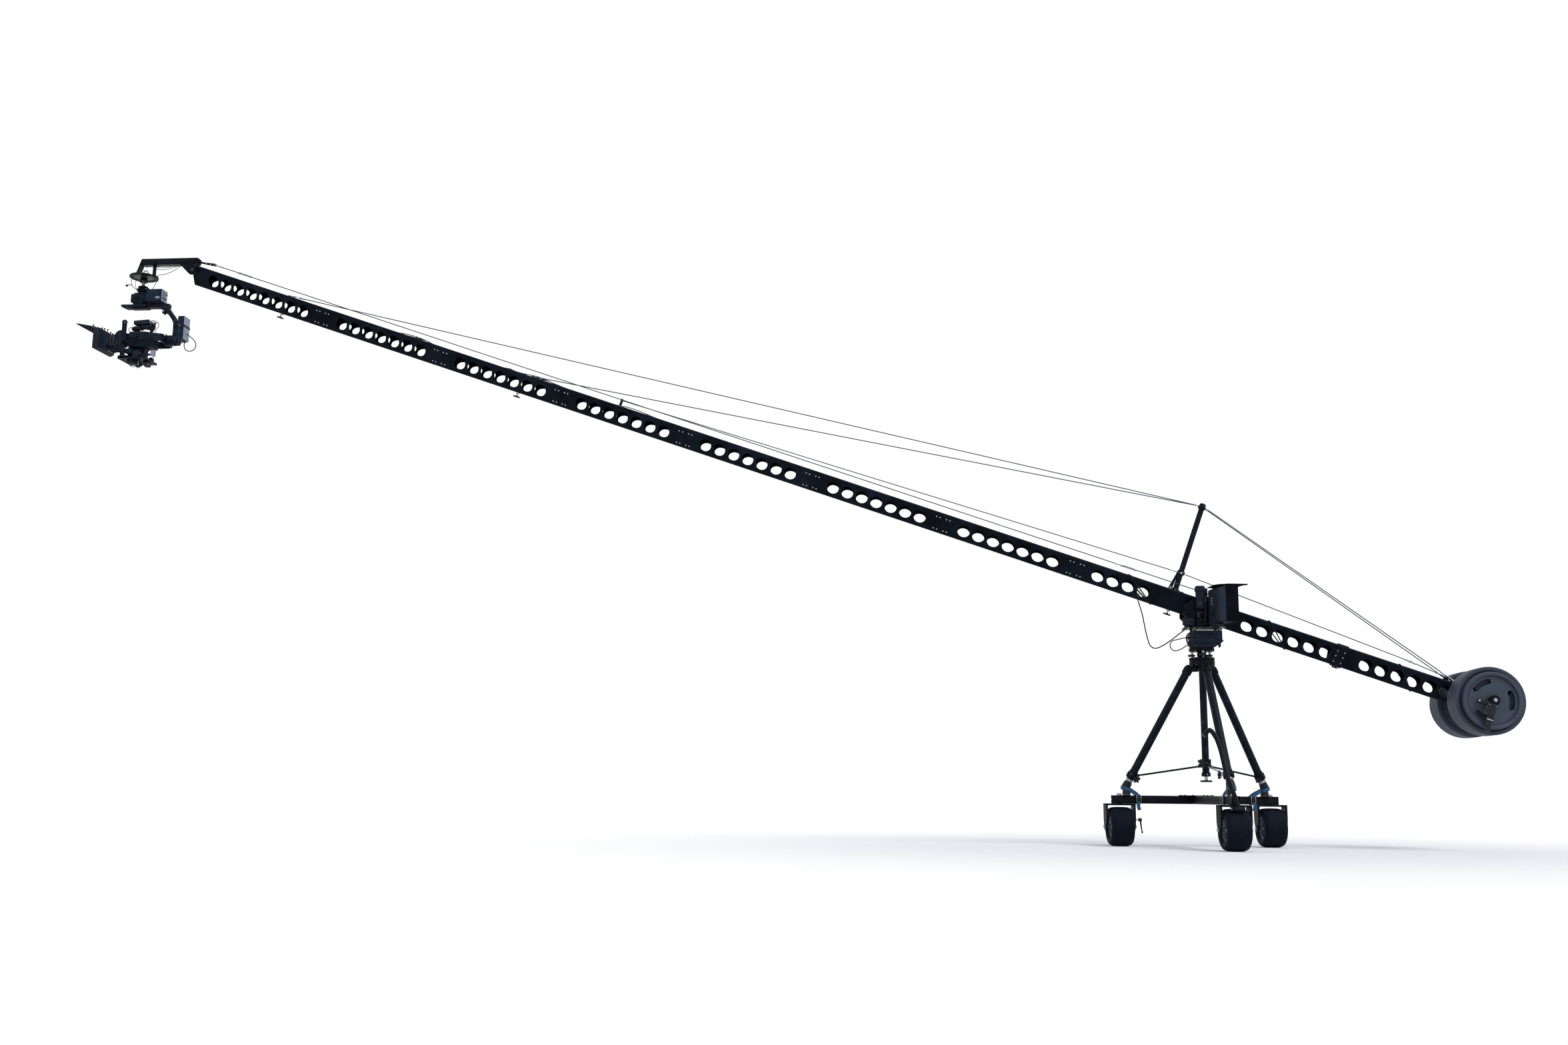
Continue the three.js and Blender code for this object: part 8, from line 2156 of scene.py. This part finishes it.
bm = bmesh.new()
MOUNT = Vector((-446.7, 0, AXIS_Z))
LENS = [(0, 1), (32.6, 1), (32.9, 8), (35, 10), (35, 46), (40, 50), (45, 53)]
turned(bm, [(0, 0), *LENS, (45, 56), (0, 56)], MOUNT, (-1, 0, 0), 56, 1)
for start, end, radius in ((56, 62, 44), (76, 82, 44.6), (94, 101, 46), (116, 124, 49), (138, 146, 50.6)):
    turned(bm, [(0, start), (radius - 1, start), (radius, start + 1), (radius, end - 1), (radius - 1, end),
                (0, end)], MOUNT, (-1, 0, 0), 56)
for start, end, radius in ((62, 76, 45), (82, 94, 45), (101, 116, 50.6), (124, 138, 52.6)):
    turned(bm, [(0, start), (radius - 1.6, start), (radius - 1.6, end), (0, end)], MOUNT, (-1, 0, 0), 56, 2)
    for k in range(56):
        turn = 2 * math.pi * k / 56
        way = Vector((0, math.cos(turn), math.sin(turn)))
        base = MOUNT + way * (radius - 1.7)
        cross = Vector((0, -math.sin(turn), math.cos(turn)))
        rib = [base + cross * 1.5, base + way * 1.6 + cross * 0.7, base + way * 1.6 - cross * 0.7,
               base - cross * 1.5]
        loft(bm, [[corner - Vector((x, 0, 0)) for corner in rib] for x in (start + 0.8, end - 0.8)], 2)
turned(bm, [(40, 146), (51.4, 146), (53, 147.4), (53, 155), (51.8, 157), (46, 157), (44, 152), (40, 150)],
       MOUNT, (-1, 0, 0), 56, 1)
turned(bm, [(43, 155), (50.6, 155), (50.6, 158.6), (49.4, 159.6), (49.4, 167.4), (43, 167.4)], MOUNT,
       (-1, 0, 0), 56, 0)
turned(bm, [(0, 146), (41, 146), (41, 148.5), (28, 151.6), (0, 153.4)], MOUNT, (-1, 0, 0), 56, 3)
block(bm, (-520, -9, -448), (-470, 9, -440), 2.0, 1)
piece("camera_lens", bm, "camera", [lens_band, gimbal_black, phenolic, screen_glass], HEAD, ())

# Matte box: a moulded hood that tapers from its wide front to the lens, with a tray slot and small knobs on
# top, carried on two short rods, and a thin top flag on a hinge along its front edge.


def bore_loop(x, radius):
    """A circle across X round the lens, with as many points as a rounded panel."""
    turns = [start + 90 * (i + 0.5) / 6 for start in (0, 90, 180, 270) for i in range(6)]
    return [(x, radius * math.cos(math.radians(t)), AXIS_Z + radius * math.sin(math.radians(t)))
            for t in turns]


bm = bmesh.new()
loft(bm, [panel_loop(-674.3, 124.6, -567.6, -412.4, 7), panel_loop(-668, 125, -568, -412, 8),
          panel_loop(-666, 123, -566.6, -413, 8), panel_loop(-641, 112, -561, -420, 7),
          panel_loop(-638, 108, -560, -421, 7), panel_loop(-634, 84, -556, -425, 7),
          panel_loop(-625, 72, -550, -430, 9), panel_loop(-622, 62, -546, -434, 12),
          panel_loop(-614.3, 58, -545, -435, 14), bore_loop(-614.3, 42.4), bore_loop(-617.3, 42.4),
          panel_loop(-617.3, 54, -541, -439, 10), panel_loop(-624, 66, -546, -434, 7),
          panel_loop(-638, 104, -557, -424, 5), panel_loop(-674.3, 121, -564, -416, 5)], closed=True)
for side in (-1, 1):
    # a raised rib, a latch and screws on each sloping side, which carries nothing else
    leaning = Matrix.Translation((-655, side * 118.2, AXIS_Z)) @ spun(side * -24)
    moved(bm, leaning, block, (-12, -1.0, -54), (-8.6, 1.0, 54), 0.5, 0)
    moved(bm, leaning, block, (-3, -1.6, -10), (9, 1.6, 10), 0.8, 1)
    for z in (-58, 58):
        moved(bm, leaning, turned, [(0, -1.4), (3, -1.4), (3, 1.8), (0, 1.8)], (2, 0, z), (0, 1, 0), 16, 2)
block(bm, (-662, -104, -416), (-655, 104, -410.8), 0.8, 1)
block(bm, (-650, -100, -419), (-643, 100, -413.6), 0.8, 1)
for x, y, top in ((-640, -72, -406), (-626, -64, -409), (-622, -30, -406), (-640, 72, -406),
                  (-626, 20, -411)):
    rod(bm, (x, y, -436), (x, y, top - 6), 2.6, 12, 2, 0.5)
    rod(bm, (x, y, top - 8), (x, y, top), 5.4, 18, 1, 1.0)
for y in (-112, 0, 112):
    turned(bm, [(0, -7), (3.4, -7), (3.4, 7), (0, 7)], (-675.6, y, -411.4), (0, 1, 0), 16, 2)
block(bm, (-616.3, -34.5, -562), (-604.3, 34.5, -544.6), 1.4, 1)
for y in (-26.5, 26.5):
    rod(bm, (-609.6, y, -554), (-498.3, y, -554), 8, 24, 3, 1.2)
    turned(bm, [(8, 0), (12, 0), (12.6, 0.8), (12.6, 13), (8, 13)], (-598, y, -554), (1, 0, 0), 24, 1)
    cap_screw(bm, (-591, y, -566.4), (0, 0, -1), 2.6, 2)
block(bm, (-512, -38, -565), (-498.4, 38, -543), 2.0, 1)
piece("matte_box_hood_and_rods", bm, "camera", [abs_plastic, phenolic, black_screws, anodised_tube], HEAD,
      ["matte_box"], 26)

bm = bmesh.new()
flag_at = Matrix.Translation((-674.6, 0, -411.7)) @ spun(10, "Y")
sheet = [(-4, -118), (-4, 118), (-131, 125), (-139, 117), (-139, -117), (-131, -125)]
moved(bm, flag_at @ on_deck, plate, sheet, 0.2, 2.4, [(-16, -96, 3), (-16, 96, 3)], edge=0.7)
moved(bm, flag_at, block, (-138.6, -112, -1.4), (-134.6, 112, 3.4), 0.8)
for y in (-92, 92):
    moved(bm, flag_at, block, (-30, y - 9, -1.2), (-3, y + 9, 3.6), 0.8, 1)
    moved(bm, flag_at, rod, (-7, y - 11, 1.4), (-7, y + 11, 1.4), 3.4, 18, 2, 0.6)
for y in (-108, 108):
    moved(bm, flag_at, rod, (-14, y, 2), (-14, y, 9), 2.4, 12, 2, 0.5)
    moved(bm, flag_at, rod, (-14, y, 8), (-14, y, 16), 5.0, 18, 1, 1.0)
piece("top_flag_sheet", bm, "flag", [foam_sheet, phenolic, black_screws], HEAD, ["top_flag"])
